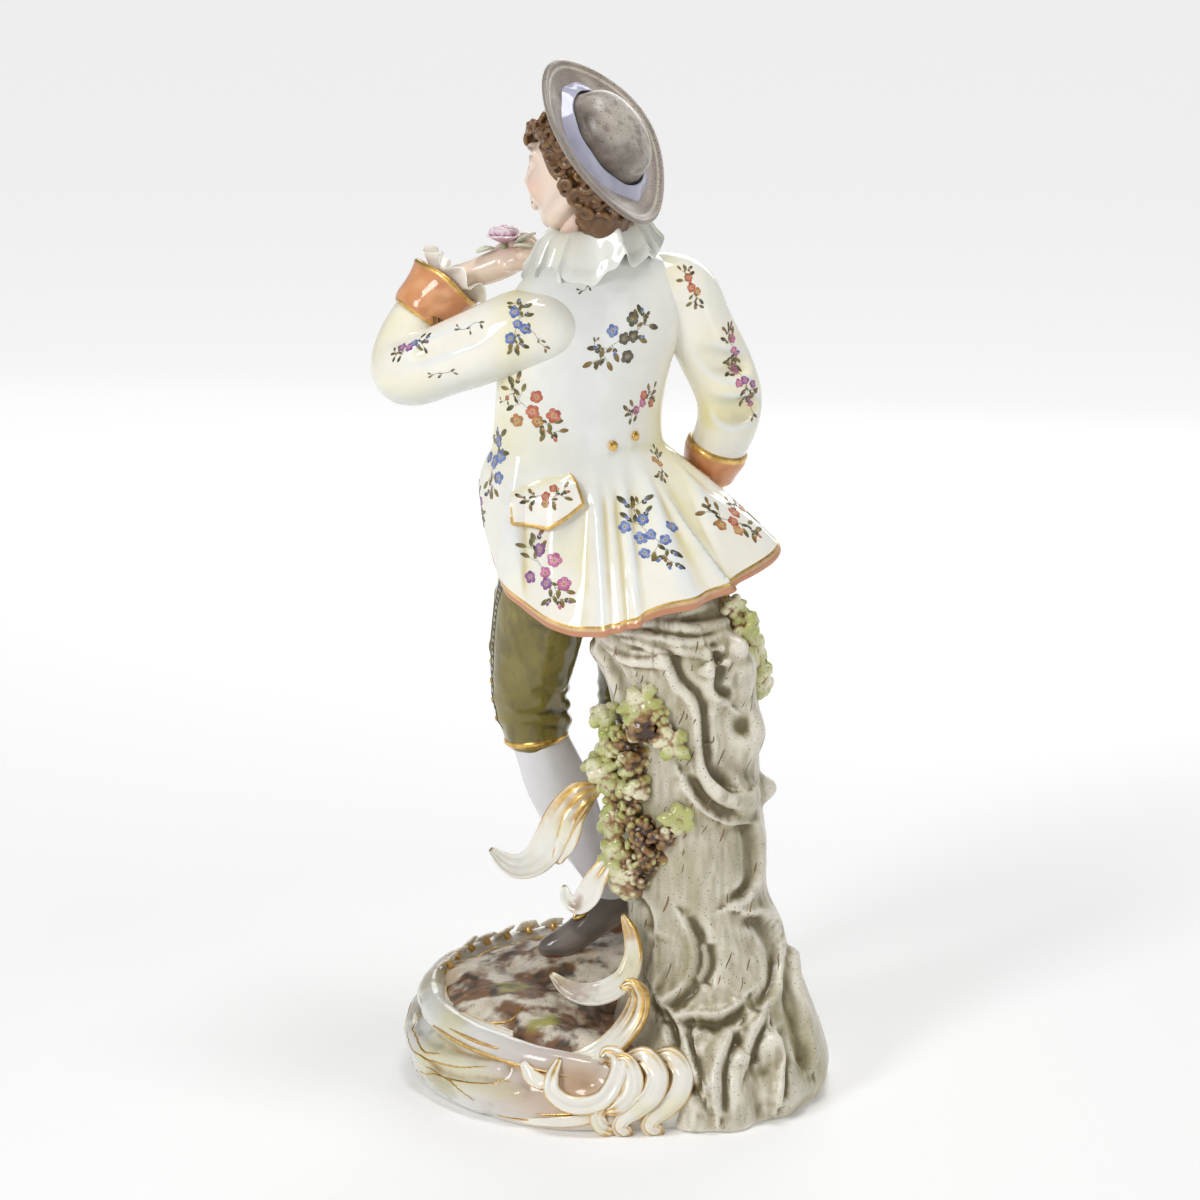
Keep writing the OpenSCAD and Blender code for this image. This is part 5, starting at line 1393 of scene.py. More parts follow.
head = Clay((-38, -26, 335), (22, 30, 394), 0.45)
head.egg(skull(-3, 0, 6), (19.5, 16.6, 18.5), HEAD_AXES)
head.egg(skull(4.5, 0, -5), (14.6, 13.0, 18.5), HEAD_AXES, melt=5)
head.egg(skull(9.5, 0, -19.5), (6.2, 7.0, 5.2), HEAD_AXES, melt=5)
for s in (-1, 1):
    head.rope(on_head((-3, 13.2 * s, -10, 3.6), (6, 9.0 * s, -18.5, 3.4)), melt=5)
    head.egg(skull(12.6, 7.6 * s, -6.5), (5.5, 5.0, 5.5), HEAD_AXES, melt=5)
head.rope(on_head((18.4, 0, 5.5, 1.5), (20.8, 0, -1.5, 1.7), (22.6, 0, -6.4, 2.1)), melt=2.6)
for s in (-1, 1):
    head.ball(skull(19.6, 2.5 * s, -7.4), 1.65, melt=1.6)
    head.rope(on_head((18.3, 2.4 * s, 6.6, 1.3), (17.2, 7.0 * s, 7.6, 1.4), (13.4, 11.2 * s, 6.0, 1.2)),
              melt=2.6)
    head.ball(skull(19.3, 6.9 * s, 2.0), 2.9, melt=3.4, carve=True)
    head.ball(skull(14.0, 6.9 * s, 1.8), 4.0, melt=0.5)
    head.rope(on_head((16.4, 3.9 * s, 2.3, 0.55), (18.0, 6.6 * s, 4.0, 0.75), (15.6, 9.9 * s, 2.4, 0.55)),
              melt=0.9)
    head.rope(on_head((16.4, 4.0 * s, 1.4, 0.45), (17.6, 6.8 * s, -0.2, 0.55), (15.4, 9.7 * s, 1.3, 0.45)),
              melt=0.9)
head.rope(dense(on_head((16.6, -5.0, -13.2, 0.7), (19.0, -2.4, -12.2, 1.25), (19.8, 0, -12.6, 1.2),
                        (19.0, 2.4, -12.2, 1.25), (16.6, 5.0, -13.2, 0.7)), 16), melt=1.4)
head.rope(dense(on_head((16.4, -4.4, -14.2, 0.7), (18.6, -2.0, -15.2, 1.35), (19.0, 0, -15.4, 1.45),
                        (18.6, 2.0, -15.2, 1.35), (16.4, 4.4, -14.2, 0.7)), 16), melt=1.4)
head.rope(on_head((18.2, -4.4, -13.7, 0.35), (20.2, 0, -13.9, 0.4), (18.2, 4.4, -13.7, 0.35)), melt=0.6,
          carve=True)
head.rope(on_head((19.4, 0, -9.2, 0.5), (19.2, 0, -11.0, 0.6)), melt=1.2, carve=True)
for s in (-1, 1):
    ear = [skull(-2.0 + 3.0 * math.cos(t) - 0.8, (16.4 + 0.9 * math.sin(t * 2)) * s,
                 -1.0 + 5.2 * math.sin(t) + 1.4) for t in np.linspace(-2.0, 2.6, 12)]
    head.egg(skull(-2.4, 15.8 * s, 0), (2.6, 1.6, 4.6), HEAD_AXES, melt=1.5)
    head.rope([(*q, 0.9) for q in ear], melt=0.8)
    head.ball(skull(-1.0, 16.4 * s, -5.0), 1.5, melt=1.2)
    head.ball(skull(-1.4, 17.8 * s, 0.4), 1.4, melt=1.2, carve=True)
v, f = head.mesh(2)
local = (v - HEAD_C) @ np.array(HEAD_AXES).T
fore, side, up = local.T
front = ramp(fore, 6, 12)
# Blush deeper in the hollows: partly the flesh's own blush, partly painted shade
paint = wash(FLESH, BLUSH, 0.35 * ramp(hollows(v, f, 12), 0.3, 1.6))
for s in (-1, 1):
    paint = wash(paint, BLUSH, 0.55 * front * np.exp(-((side - 9.5 * s) / 4.5) ** 2 - ((up + 7) / 4.0) ** 2))
    eye = ((side - 6.9 * s) / 2.9) ** 2 + ((up - 1.75) / 1.35) ** 2
    paint = wash(paint, "F3F1EC", front * ramp(-eye, -1.1, -0.75))
    iris = np.hypot(side - 6.9 * s, up - 1.7)
    paint = wash(paint, "5E6E7C", front * ramp(-iris, -1.35, -1.05) * (eye < 1))
    paint = wash(paint, DARK, front * ramp(-iris, -0.75, -0.5) * (eye < 1))
    lash = np.abs(up - 1.75 - 1.75 * np.sqrt(np.maximum(1 - ((side - 6.9 * s) / 3.3) ** 2, 0)))
    paint = wash(paint, BROWN,
                 0.8 * front * ramp(-lash, -0.6, -0.25) * (np.abs(side - 6.9 * s) < 3.2) * (up > 1.6))
    brow = np.abs(up - 8.0 + 0.10 * (np.abs(side) - 6.5) ** 2 * 0.6)
    paint = wash(paint, BROWN,
                 0.7 * front * ramp(-brow, -1.0, -0.35) * (np.abs(np.abs(side) - 7.2) < 4.3) * (side * s > 0))
mouth = (np.abs(side) / 4.9) ** 2 + ((up + 13.8) / (2.4 - 0.25 * np.abs(side))) ** 2
paint = wash(paint, LIPS, 0.8 * front * ramp(-mouth, -1.15, -0.6))
paint = wash(paint, "8A3A36", 0.7 * front * ramp(-np.abs(up + 13.8), -0.5, -0.15) * (np.abs(side) < 4.2))
add("head_glazed", v, f, FLESH_GLAZE, ["head"], paint)

hair = Clay((-40, -32, 332), (26, 34, 398), 0.5)
hair.egg(skull(-4.2, 0, 7), (20.6, 18.6, 19.6), HEAD_AXES)
hair.egg(skull(-12, 0, -8), (12.5, 15.0, 15), HEAD_AXES, melt=4)
hair.egg(skull(-13, 3, -19), (8.5, 10.0, 9), HEAD_AXES, melt=4)
hair.egg(skull(15.5, 0, -8.0), (13, 24, 21), HEAD_AXES, melt=2, carve=True)
hair.egg(skull(10, 0, -24), (15, 22, 16), HEAD_AXES, melt=2, carve=True)
random = np.random.default_rng(21)
golden = math.pi * (3 - math.sqrt(5))          # the turn that spreads points evenly
LOCKS = 130


def ringlet(c, n, size, thick):
    """A lock curled up on itself, its middle standing out along n."""
    t1 = unit(np.cross(n, UP + 0.2 * FACE))
    t2 = np.cross(n, t1)
    turn_dir = 1 if random.random() < 0.5 else -1
    start = random.uniform(0, 6.28)
    path = []
    for k in np.linspace(0, 1, 17):
        r = size * (1 - 0.6 * k)
        a = start + turn_dir * k * 7.2
        path.append((*(c + t1 * r * math.cos(a) + t2 * r * math.sin(a) * 0.8
                       + n * (1.1 + 1.0 * math.sin(3 * k + start))), thick * (1 - 0.35 * k)))
    hair.rope(path, melt=0.45)


for i in range(LOCKS):
    zz = 1 - 2 * (i + 0.5) / LOCKS
    ang = i * golden
    f_, s_, u_ = math.cos(ang) * math.sqrt(1 - zz * zz), math.sin(ang) * math.sqrt(1 - zz * zz), zz
    if (f_ > 0.30 and u_ < 0.30) or (f_ > 0.10 and u_ < -0.05):
        continue
    low_part = u_ < 0.1
    c = (skull(-8.5 + 15.5 * f_, 16.5 * s_, -6 + 19.5 * u_) if low_part
         else skull(-4.2 + 20.5 * f_, 18.5 * s_, 7 + 18.6 * u_))
    ringlet(c, unit(FACE * f_ / 18 + EAR * s_ / 18 + UP * u_ / 19), random.uniform(2.8, 4.6), 1.35)
for fore, side, up in ((4.5, 14.4, 10), (2.5, 15.6, 5), (-1, 16.6, 0.5), (-5, 17.2, 4), (-4.5, 17, -5),
                       (-10, 16.6, -1), (-8.5, 15.8, -10), (-14, 13.6, -6), (-13, 13, -14), (-17, 9, -14),
                       (-10.5, 11.5, -19), (-15, 6, -20), (8.5, 12.6, 14), (12.5, 10, 16), (16.5, 7, 15.5),
                       (18.5, 3, 14), (20, 1.5, 10.5)):
    for s in (-1, 1):
        c = skull(fore, side * s, up)
        ringlet(c, unit(FACE * fore / 20 + EAR * side * s / 18 + UP * 0.1), random.uniform(2.4, 3.8), 1.3)
px, py, pz = np.meshgrid(*(hair.low[k] + hair.cell * np.arange(hair.n[k]) for k in range(3)), indexing="ij")
above = (px - HAT_C[0]) * HAT_N[0] + (py - HAT_C[1]) * HAT_N[1] + (pz - HAT_C[2]) * HAT_N[2] + 0.9
hair.d = np.maximum(hair.d, above).astype(np.float32)
v, f = hair.mesh(1)
v = carved_out(v, f, 0.12 * rough_noise(v, 2.2, 2))
deep = hollows(v, f, 8)
# Lighter on the curls' crowns and near-black in their hollows: painted highlight and painted shade
paint = wash("664321", "94703F", ramp(-deep, 0.1, 1.6))
paint = wash(paint, "2E1C10", 0.9 * ramp(deep, 0.1, 1.4))
paint = wash(paint, "6B4D31", 0.5 * patches(v, 8, 0, 0.8))
add("hair_glazed", v, f, HAIR, ["hair"], paint)

# ------------------------------------------------------------------------------------------------------ hat

a = circle(240)
r = np.concatenate([np.linspace(0.25, 0.9, 34), np.linspace(0.915, 1.0, 8)])
aa, rr = np.meshgrid(a, r)


def brim_at(aa, rr, lift):
    reach = 35.0 * rr
    wide = np.where(np.sin(aa) < 0, 0.80, 1.0)
    roll = np.where(np.sin(aa) > 0, 8.0 * np.sin(aa) ** 2, 3.0 * np.sin(aa) ** 2) * ramp(rr, 0.55, 1.05)
    wave = 1.3 * np.sin(3 * aa + 0.4) * ramp(rr, 0.4, 1.0)
    h = roll + wave + 0.8 * ramp(rr, 0.93, 1.0) + lift
    return (HAT_C + HAT_U * (reach * np.cos(aa))[..., None] + HAT_W * (reach * np.sin(aa) * wide)[..., None]
            + HAT_N * h[..., None])


top = brim_at(aa, rr, 1.2)
low = brim_at(aa, rr, -1.4)
v, f, _ = band(top, low, rim=4)
k = aa.size
rv = np.ones(len(v))
rv[:k] = rr.ravel()
av = np.zeros(len(v))
av[:k] = aa.ravel()
grain = rough_noise(v, 10, 3)
# Darker towards one side of the brim, over the grain: painted shade on that side
paint = wash("BEB2A7", "958A7F", ramp(grain + 0.5 * np.cos(av - 0.2), -0.3, 1.1))
paint = wash(paint, "8A7F75", 0.6 * ramp(rv, 0.80, 0.9) * (rv < 0.985))
paint[:k] = wash(paint[:k], "DAD2C0", 0.9 * bump(rr.ravel(), 0.935, 0.016))
# The underside darker than the top: painted shade
paint[k : 2 * k] = wash("A0958A", "80766C", ramp(grain[k : 2 * k], -0.3, 0.7))
paint[2 * k :] = tint("8B8177")
add("hat_brim_glazed", v, f, HAT, ["hat_brim"], paint)

CROWN_L, CROWN_W, CROWN_H = 21.0, 16.4, 17.0
CROWN_C = HAT_C + 1.0 * HAT_W


def crown_at(aa, t, grow=0.0):
    """The crown's skin: t runs from 0 at the brim to 1 at its top."""
    out = np.where(t < 0.35, 1 - 0.10 * (t / 0.35),
                   0.90 * np.cos((np.clip(t, 0.35, 1) - 0.35) / 0.65 * math.pi / 2) ** 0.72)
    up = np.where(t < 0.35, 0.42 * t / 0.35,
                  0.42 + 0.58 * np.sin((np.clip(t, 0.35, 1) - 0.35) / 0.65 * math.pi / 2) ** 1.1)
    dent = 0.6 * np.exp(-((t - 1) / 0.4) ** 2)
    return (CROWN_C + HAT_U * ((CROWN_L * out + grow) * np.cos(aa))[..., None]
            + HAT_W * ((CROWN_W * out + grow) * np.sin(aa))[..., None]
            + HAT_N * (CROWN_H * up + 0.6 - dent)[..., None])


CROWN_ROWS, CROWN_COLUMNS = 56, 144
aa, tt = np.meshgrid(circle(CROWN_COLUMNS), np.linspace(0, 0.999, CROWN_ROWS))
v = crown_at(aa, tt).reshape(-1, 3)
v = np.vstack([v, crown_at(np.array([0.0]), np.array([0.9999])), HAT_C[None] - HAT_N * 0.5])
f = outward(v, capped(CROWN_ROWS, CROWN_COLUMNS, top_first=True))
grain = rough_noise(v, 8, 3, 2)
lit = ramp((v - HAT_C) @ np.array([0.05, 0, 0.035]) + 0.5 * grain, -0.6, 1.4)
paint = wash("5A5047", "C9C0B4", lit)
paint = wash(paint, "6E645A", 0.5 * patches(v, 3.2, 0.15, 0.7, 2, 9))
add("hat_crown_glazed", v, triangles(f), HAT, ["hat_crown"], paint)

aa, tt = np.meshgrid(circle(180), np.linspace(0.0, 1.0, 18))
grow = mix(4.8, 0.2, tt) + 0.3 * np.sin(aa * 7 + 2 * np.sin(aa * 2)) * (1 - tt)
rise = mix(1.5, 4.9, tt**1.3) + 0.5 * np.sin(math.pi * tt) + 0.2 * np.sin(aa * 9)
outer = (CROWN_C + HAT_U * ((CROWN_L + grow) * np.cos(aa))[..., None]
         + HAT_W * ((CROWN_W + grow) * np.sin(aa))[..., None] + HAT_N * rise[..., None])
parts = [band(outer, outer - HAT_N * 1.0, rim=4)[:2]]
knot_at = crown_at(np.array([-1.9]), np.array([0.16]), 1.2)[0]
for s in (-1, 1):
    loop = [(*(knot_at + HAT_U * s * x + HAT_N * z - HAT_W * y), r) for x, y, z,
            r in ((0.5, 0.4, 0, 0.9), (3, 1.4, 1.6, 1.6), (6, 1.8, 1.8, 1.9), (7.4, 1.4, 0.2, 1.6),
                  (5.5, 1.2, -1.6, 1.5), (2.4, 0.8, -1.0, 1.0))]
    parts.append(tube(loop, 36, 14, 0.6, HAT_N))
v, f = joined(parts)
v = np.asarray(v)
# Darker lilac in the hollows of band and bow: painted shade
paint = wash("B9BACF", "8487A6", ramp(hollows(v, f, 6) + 0.5 * noise(v, 6), -0.3, 1.1))
add("hat_ribbon_glazed", v, triangles(f), PORCELAIN, ["hat_ribbon"], paint)

# ------------------------------------------------------------------------------------------------ neck ruff

RUFF_C = np.array([-3.0, 1.0, 0.0])
a = circle(440)
r = np.linspace(0, 1, 40)
aa, rr = np.meshgrid(a, r)


def ruff_at(aa, rr, lift):
    """The ruff's cloth: folds that open towards its edge, some doubling back over their neighbours."""
    warp = aa + 0.17 * np.sin(2 * aa + 0.6) + 0.09 * np.sin(3 * aa + 2.0)
    swell = 1 + 0.4 * np.sin(3 * aa + 1) + 0.25 * np.sin(4 * aa + 2)
    wave = swell * np.sin(11 * warp + 0.8)
    reach = mix(8.4, 26.5, rr**0.85) * (1 + 0.10 * wave * rr)
    tilt = -5.5 * np.cos(aa - 2.7) * rr
    high = (339.0 + 4.5 * np.sin(math.pi * np.minimum(rr * 1.15, 1)) - 10.5 * rr**2.4 + tilt
            + 3.4 * wave * ramp(rr, 0.1, 0.9))
    t = aa + 0.12 * np.cos(11 * warp + 0.8) * rr
    droop = 0.9 * np.sin(23 * aa) * rr**4
    return (RUFF_C + E_R * (reach * np.cos(t))[..., None] + E_F * (reach * 0.76 * np.sin(t))[..., None]
            + UP * (high + lift + droop)[..., None])


v, f, _ = band(ruff_at(aa, rr, 0.9), ruff_at(aa, rr, -0.9), rim=4)
deep = hollows(v, f, 30)
# Grey in the hollows of the folds: painted shade
paint = wash("F1F1EA", "A9ADA8", 0.9 * ramp(deep, 0.0, 1.3))
paint = wash(paint, LEMON, 0.2 * ramp(noise(v, 12), 0, 0.8))
add("neck_ruff_glazed", v, f, PORCELAIN, ["neck_ruff"], paint)

# ----------------------------------------------------------------------------------------------------- rose

ROSE_C = np.array([-38.0, 15.0, 336.5])
petals = []
for ring_i, (count, size, open_) in enumerate(
        ((3, 5.6, 0.10), (4, 6.2, 0.32), (5, 6.8, 0.62), (5, 6.8, 1.0))):
    for i in range(count):
        turn = 2 * math.pi * i / count + 0.9 * ring_i
        d = np.array([math.cos(turn), math.sin(turn), 0])
        s = np.array([-math.sin(turn), math.cos(turn), 0])
        uu, ww = np.meshgrid(np.linspace(-1, 1, 17), np.linspace(0, 1, 13))
        out = (size
               * (0.10 + 0.26 * np.sin(math.pi * ww) * (1 - 0.4 * open_) + ww * math.sin(open_) * 0.85
                  + 0.12 * ww**3))
        up_ = size * (0.05 + ww * math.cos(open_) * 1.05 - 0.22 * ww**4 * open_) - 1.0
        width = size * 0.68 * np.sin(np.clip(ww, 0, 1) * 2.2 + 0.35) ** 0.8
        curl = 0.5 * size * 0.28 * uu**2
        top = (ROSE_C + d * (out - curl * 0.8)[..., None] + s * (uu * width)[..., None]
               + UP * (up_ + curl * 0.6 + 0.25 * np.sin(3 * uu + i) * ww)[..., None])
        back = top - unit(d * math.cos(open_) - UP * math.sin(open_) * 0.6) * -0.75
        v, f, _ = sheet(top, back, rim=2)
        shade = np.concatenate([ww.ravel(), ww.ravel(), np.ones(len(v) - 2 * ww.size)])
        petals.append((v, f, wash(PINK, "EBD9E2", ramp(shade, 0.2, 1.0))))
v, f, paint = joined(petals)
stem_v, stem_f = tube([(-38, 15, 335, 1.2), (-37.4, 15, 331, 1.2), (-36, 15, 327, 1.1)], 14, 10)
paint = np.vstack([paint, np.tile(tint("8E9A70"), (len(stem_v), 1))])
v, f = joined([(v, f), (stem_v, stem_f)])
add("rose_glazed", v, triangles(f), PORCELAIN, ["rose"], paint)


def leaf(root, tip, up, width, thick=0.9, droop=0.0, nu=15, nw=21):
    """A pointed leaf with a folded midrib. Returns points, faces, and each point's share of the way out from
    the rib and along the leaf."""
    root, tip = np.array(root, float), np.array(tip, float)
    t = tip - root
    s = unit(np.cross(t, up))
    n = unit(np.cross(s, t))
    uu, ww = np.meshgrid(np.linspace(-1, 1, nu), np.linspace(0, 1, nw))
    w = width * 0.5 * np.sin(np.clip(ww, 0.02, 0.985) * math.pi) ** 0.75 * (1 - 0.25 * ww)
    w = w * (1 + 0.07 * np.sin(ww * 20))
    top = (root + t * ww[..., None] + s * (uu * w)[..., None]
           + n * (0.35 * w * np.abs(uu) + thick / 2 - droop * ww**2)[..., None])
    low = top - n * thick
    v, f, _ = sheet(top, low, rim=2)
    rest = len(v) - 2 * uu.size
    return v, f, np.concatenate([np.abs(uu).ravel(), np.abs(uu).ravel(), np.ones(rest)]), np.concatenate(
            [ww.ravel(), ww.ravel(), np.full(rest, 0.5)])


parts = [leaf(*q)
         for q in (((-42, 14, 333.5), (-48.5, 12, 332), UP, 6),
                   ((-33.5, 14, 335), (-25.5, 11.5, 339.5), UP, 6.4),
                   ((-36, 18, 334), (-34, 25.5, 336.5), UP, 6), ((-34, 12, 334.5), (-27, 8, 335), UP, 5))]
v, f, across, along_ = joined(parts)
paint = wash("DADCC8", "A9A98C", bump(across, 0, 0.15) * 0.8)
add("rose_leaves_glazed", v, f, PORCELAIN, ["rose_leaves"], paint)

# -------------------------------------------------------------------------------------------------- foliage

random = np.random.default_rng(5)


def grown(low, high, sprigs, seed, hearts):
    """Foliage: sprigs are [kind, centre, outward direction, size]. Kinds are grapes, leaf and moss."""
    rng = np.random.default_rng(seed)
    clump = Clay(low, high, 0.5)
    for kind, c, out, size in sprigs:
        c, out = np.array(c, float), unit(np.array(out, float))
        s1 = unit(np.cross(out, UP + 0.01))
        s2 = np.cross(out, s1)
        if kind == "leaf":
            lead = rng.uniform(0, 6.28)
            for k in range(5):
                a = lead + 2 * math.pi * k / 5 + rng.uniform(-0.25, 0.25)
                d = s1 * math.cos(a) + s2 * math.sin(a)
                reach = size * (1.3 if k == 0 else rng.uniform(0.8, 1.1))
                clump.rope(dense([(*(c - out * 0.8), 2.6), (*(c + d * reach * 0.5 + out * 1.6), 2.5),
                                  (*(c + d * reach + out * 0.4), 0.9)], 8), melt=0.9, squash=(out, 0.75))
                for j in (-1, 1):
                    e = unit(d + (np.cross(out, d)) * 0.9 * j)
                    clump.link(c + d * reach * 0.45 + out * 1.2,
                               c + d * reach * 0.45 + e * size * 0.42 + out * 0.9, 1.7, 1.0, melt=0.7)
            clump.egg(c - out * 2.5, (size * 0.5, size * 0.5, 3.0), (s1, s2, out), melt=1)
            continue
        clump.egg(c - out * 1.0, (size * 0.85, size * 0.85, size * 0.6), (s1, s2, out), melt=1)
        count = int(size * size * (0.34 if kind == "grapes" else 0.5))
        for i in range(count):
            a = i * golden + rng.uniform(-0.4, 0.4)
            r = size * math.sqrt((i + 0.5) / count)
            p = (c + s1 * r * math.cos(a) + s2 * r * math.sin(a)
                 + out * (size * 0.62 * (1 - (r / size) ** 2) + rng.uniform(-0.9, 1.0)))
            d = unit(s1 * rng.normal() + s2 * rng.normal() * 0.5 + 0.01)
            b = rng.uniform(2.0, 2.9) if kind == "grapes" else rng.uniform(1.2, 2.2)
            clump.link(p, p + d * rng.uniform(1.0, 3.0), b, b * 0.75, melt=0.35)
    v, f = clump.mesh(1)
    v = carved_out(v, f, 0.14 * rough_noise(v, 1.6, 2))
    deep, wide = hollows(v, f, 5), hollows(v, f, 30)
    near = ramp(-trunk(v[:, 0], v[:, 1], v[:, 2]).ravel(), -8.0, -1.5)
    patch = rough_noise(v, 9, 2, 8)
    p = wash("EDE8C4", "C3C57E", patches(v, 7, -0.4, 0.5, 2, 3))
    p = wash(p, "A9B14C", 0.8 * ramp(rough_noise(v, 9, 2, 6) - 0.3 * deep, 0.0, 0.7))
    # Brown, then near-black, in the hollows, next to the trunk and at the clumps' hearts: partly the
    # foliage's own brown paint, partly painted shade
    brown = 0.6 * near + 0.45 * deep + 0.4 * wide + 0.5 * patch
    for x, z, size in hearts:
        brown = brown + 1.3 * bump(np.hypot(v[:, 0] - x, v[:, 2] - z) + 2 * noise(v, 5, 2), 0, size)
    p = wash(p, "8F5F26", 0.92 * ramp(brown, 0.25, 1.05))
    p = wash(p, "341C08", 0.95 * ramp(brown, 1.0, 1.8))
    return v, f, p


OUT = (-0.15, -1, 0.1)
foliage = (("foliage_top", (2, -60, 138), (44, -28, 188),
            [("leaf", (17, -44, 164), OUT, 8.5), ("leaf", (27, -46.5, 148), (0.1, -1, 0.1), 7.5),
             ("moss", (17, -43, 153), OUT, 6), ("moss", (22, -44.5, 157), OUT, 4.5),
             ("leaf", (15, -44.5, 156), (-0.3, -1, 0), 5.5)], 3, ((13, 152, 8), (19, 153, 6))),
           ("foliage_middle", (-14, -52, 108), (26, -14, 168),
            [("grapes", (1.5, -31, 154), (-0.5, -0.9, 0.2), 5),
             ("grapes", (4.5, -33, 145), (-0.4, -0.9, 0.1), 6),
             ("grapes", (1.5, -31, 134), (-0.5, -0.9, 0), 6.5),
             ("grapes", (6, -34, 126), (-0.4, -1, -0.1), 6), ("grapes", (13, -38, 138), (0, -1, 0), 6),
             ("grapes", (13, -38.5, 128), (0, -1, -0.1), 6), ("moss", (8.5, -36, 119), (-0.2, -1, -0.2), 5),
             ("moss", (9, -37, 149), (0, -1, 0.2), 4.5)], 4, ((10, 148, 8), (13, 137, 7), (9, 119, 8))),
           ("foliage_lower", (-10, -62, 74), (46, -18, 130),
            [("moss", (10, -37, 117), (-0.3, -1, 0.2), 5.5), ("leaf", (5, -35, 112), (-0.5, -1, 0.2), 7),
             ("moss", (17, -41, 109), (0, -1, 0.1), 7), ("leaf", (6.5, -36, 101), (-0.3, -1, 0), 7.5),
             ("grapes", (8, -36.5, 94), (-0.3, -1, 0), 6), ("moss", (19, -42.5, 101), (0.1, -1, 0), 6),
             ("leaf", (31, -46.5, 117), (0.2, -1, 0.2), 6.5), ("moss", (25, -45, 110), (0.2, -1, 0.1), 4.5),
             ("leaf", (11, -38, 87), (-0.2, -1, -0.2), 6), ("moss", (15, -40, 93), (0, -1, -0.2), 5.5)], 5,
            ((14, 110, 11), (22, 106, 7), (15, 94, 7), (12, 84, 6))),
           ("foliage_right", (40, -44, 150), (78, 4, 206),
            [("moss", (51, -27, 197), (0.7, -0.7, 0.2), 6), ("grapes", (56, -24, 189), (0.7, -0.7, 0.1), 6),
             ("leaf", (60, -24, 180), (0.8, -0.7, 0), 7.5), ("grapes", (62, -22, 172), (0.8, -0.6, -0.1), 5),
             ("leaf", (63.5, -19, 164), (0.9, -0.5, -0.2), 5.5)], 6, ()))
for name, low, high, sprigs, seed, hearts in foliage:
    v, f, paint = grown(low, high, sprigs, seed, hearts)
    add(name + "_glazed", v, f, FOLIAGE, [name], paint)

# ------------------------------------------------------------------------------------------- rococo scrolls

NEAR = np.array([0.0, -1.0, 0.25])


def add_scrolls(name, parts, nodes, tone=WHITE, earth=()):
    v, f, edge = joined(parts)
    v[:, 2] = np.maximum(v[:, 2], 0.05)
    t = triangles(f)
    deep = patches(v, 14, 0.1, 0.9, 2, 3)
    paint = wash(np.tile(tone, (len(v), 1)), LEMON, 0.45 * deep)
    for at, size, much in earth:
        near = bump(np.linalg.norm(v - at, axis=1), 0, size) + 0.4 * rough_noise(v, 5, 3, 2)
        paint = wash(paint, "8A5208", min(1.3 * much, 0.95) * ramp(near, 0.2, 0.9))
    add(name, v, t, PORCELAIN, nodes, paint, edge)


def rim_roll(a0, a1, s0, s1, z0, z1, w0, w1, steps=14):
    """Stations along the rim: angle, share of the way out, height and half width, each from first to last."""
    return [rim(mix(a0, a1, t), mix(s0, s1, t), mix(z0, z1, t), mix(w0, w1, t))
            for t in np.linspace(0, 1, steps)]


UPWARD = np.array([0.0, -0.45, 1.0])
for side, ends, face, n in (("left", (126, 234, 0.88, 0.88, 32, 30, 5.5, 6.0), UPWARD, 90),
                            ("front", (58, 126, 0.88, 0.88, 31, 32, 5, 5.4), UP + [0, 0.3, 0], 60),
                            ("right", (12, 60, 0.88, 0.88, 29, 31, 4, 5), UP + [0.3, 0, 0], 50)):
    name = "rim_scroll_" + side
    add_scrolls(name + "_glazed", [scroll(rim_roll(*ends), face, 3.0, 0.8, n)], [name])

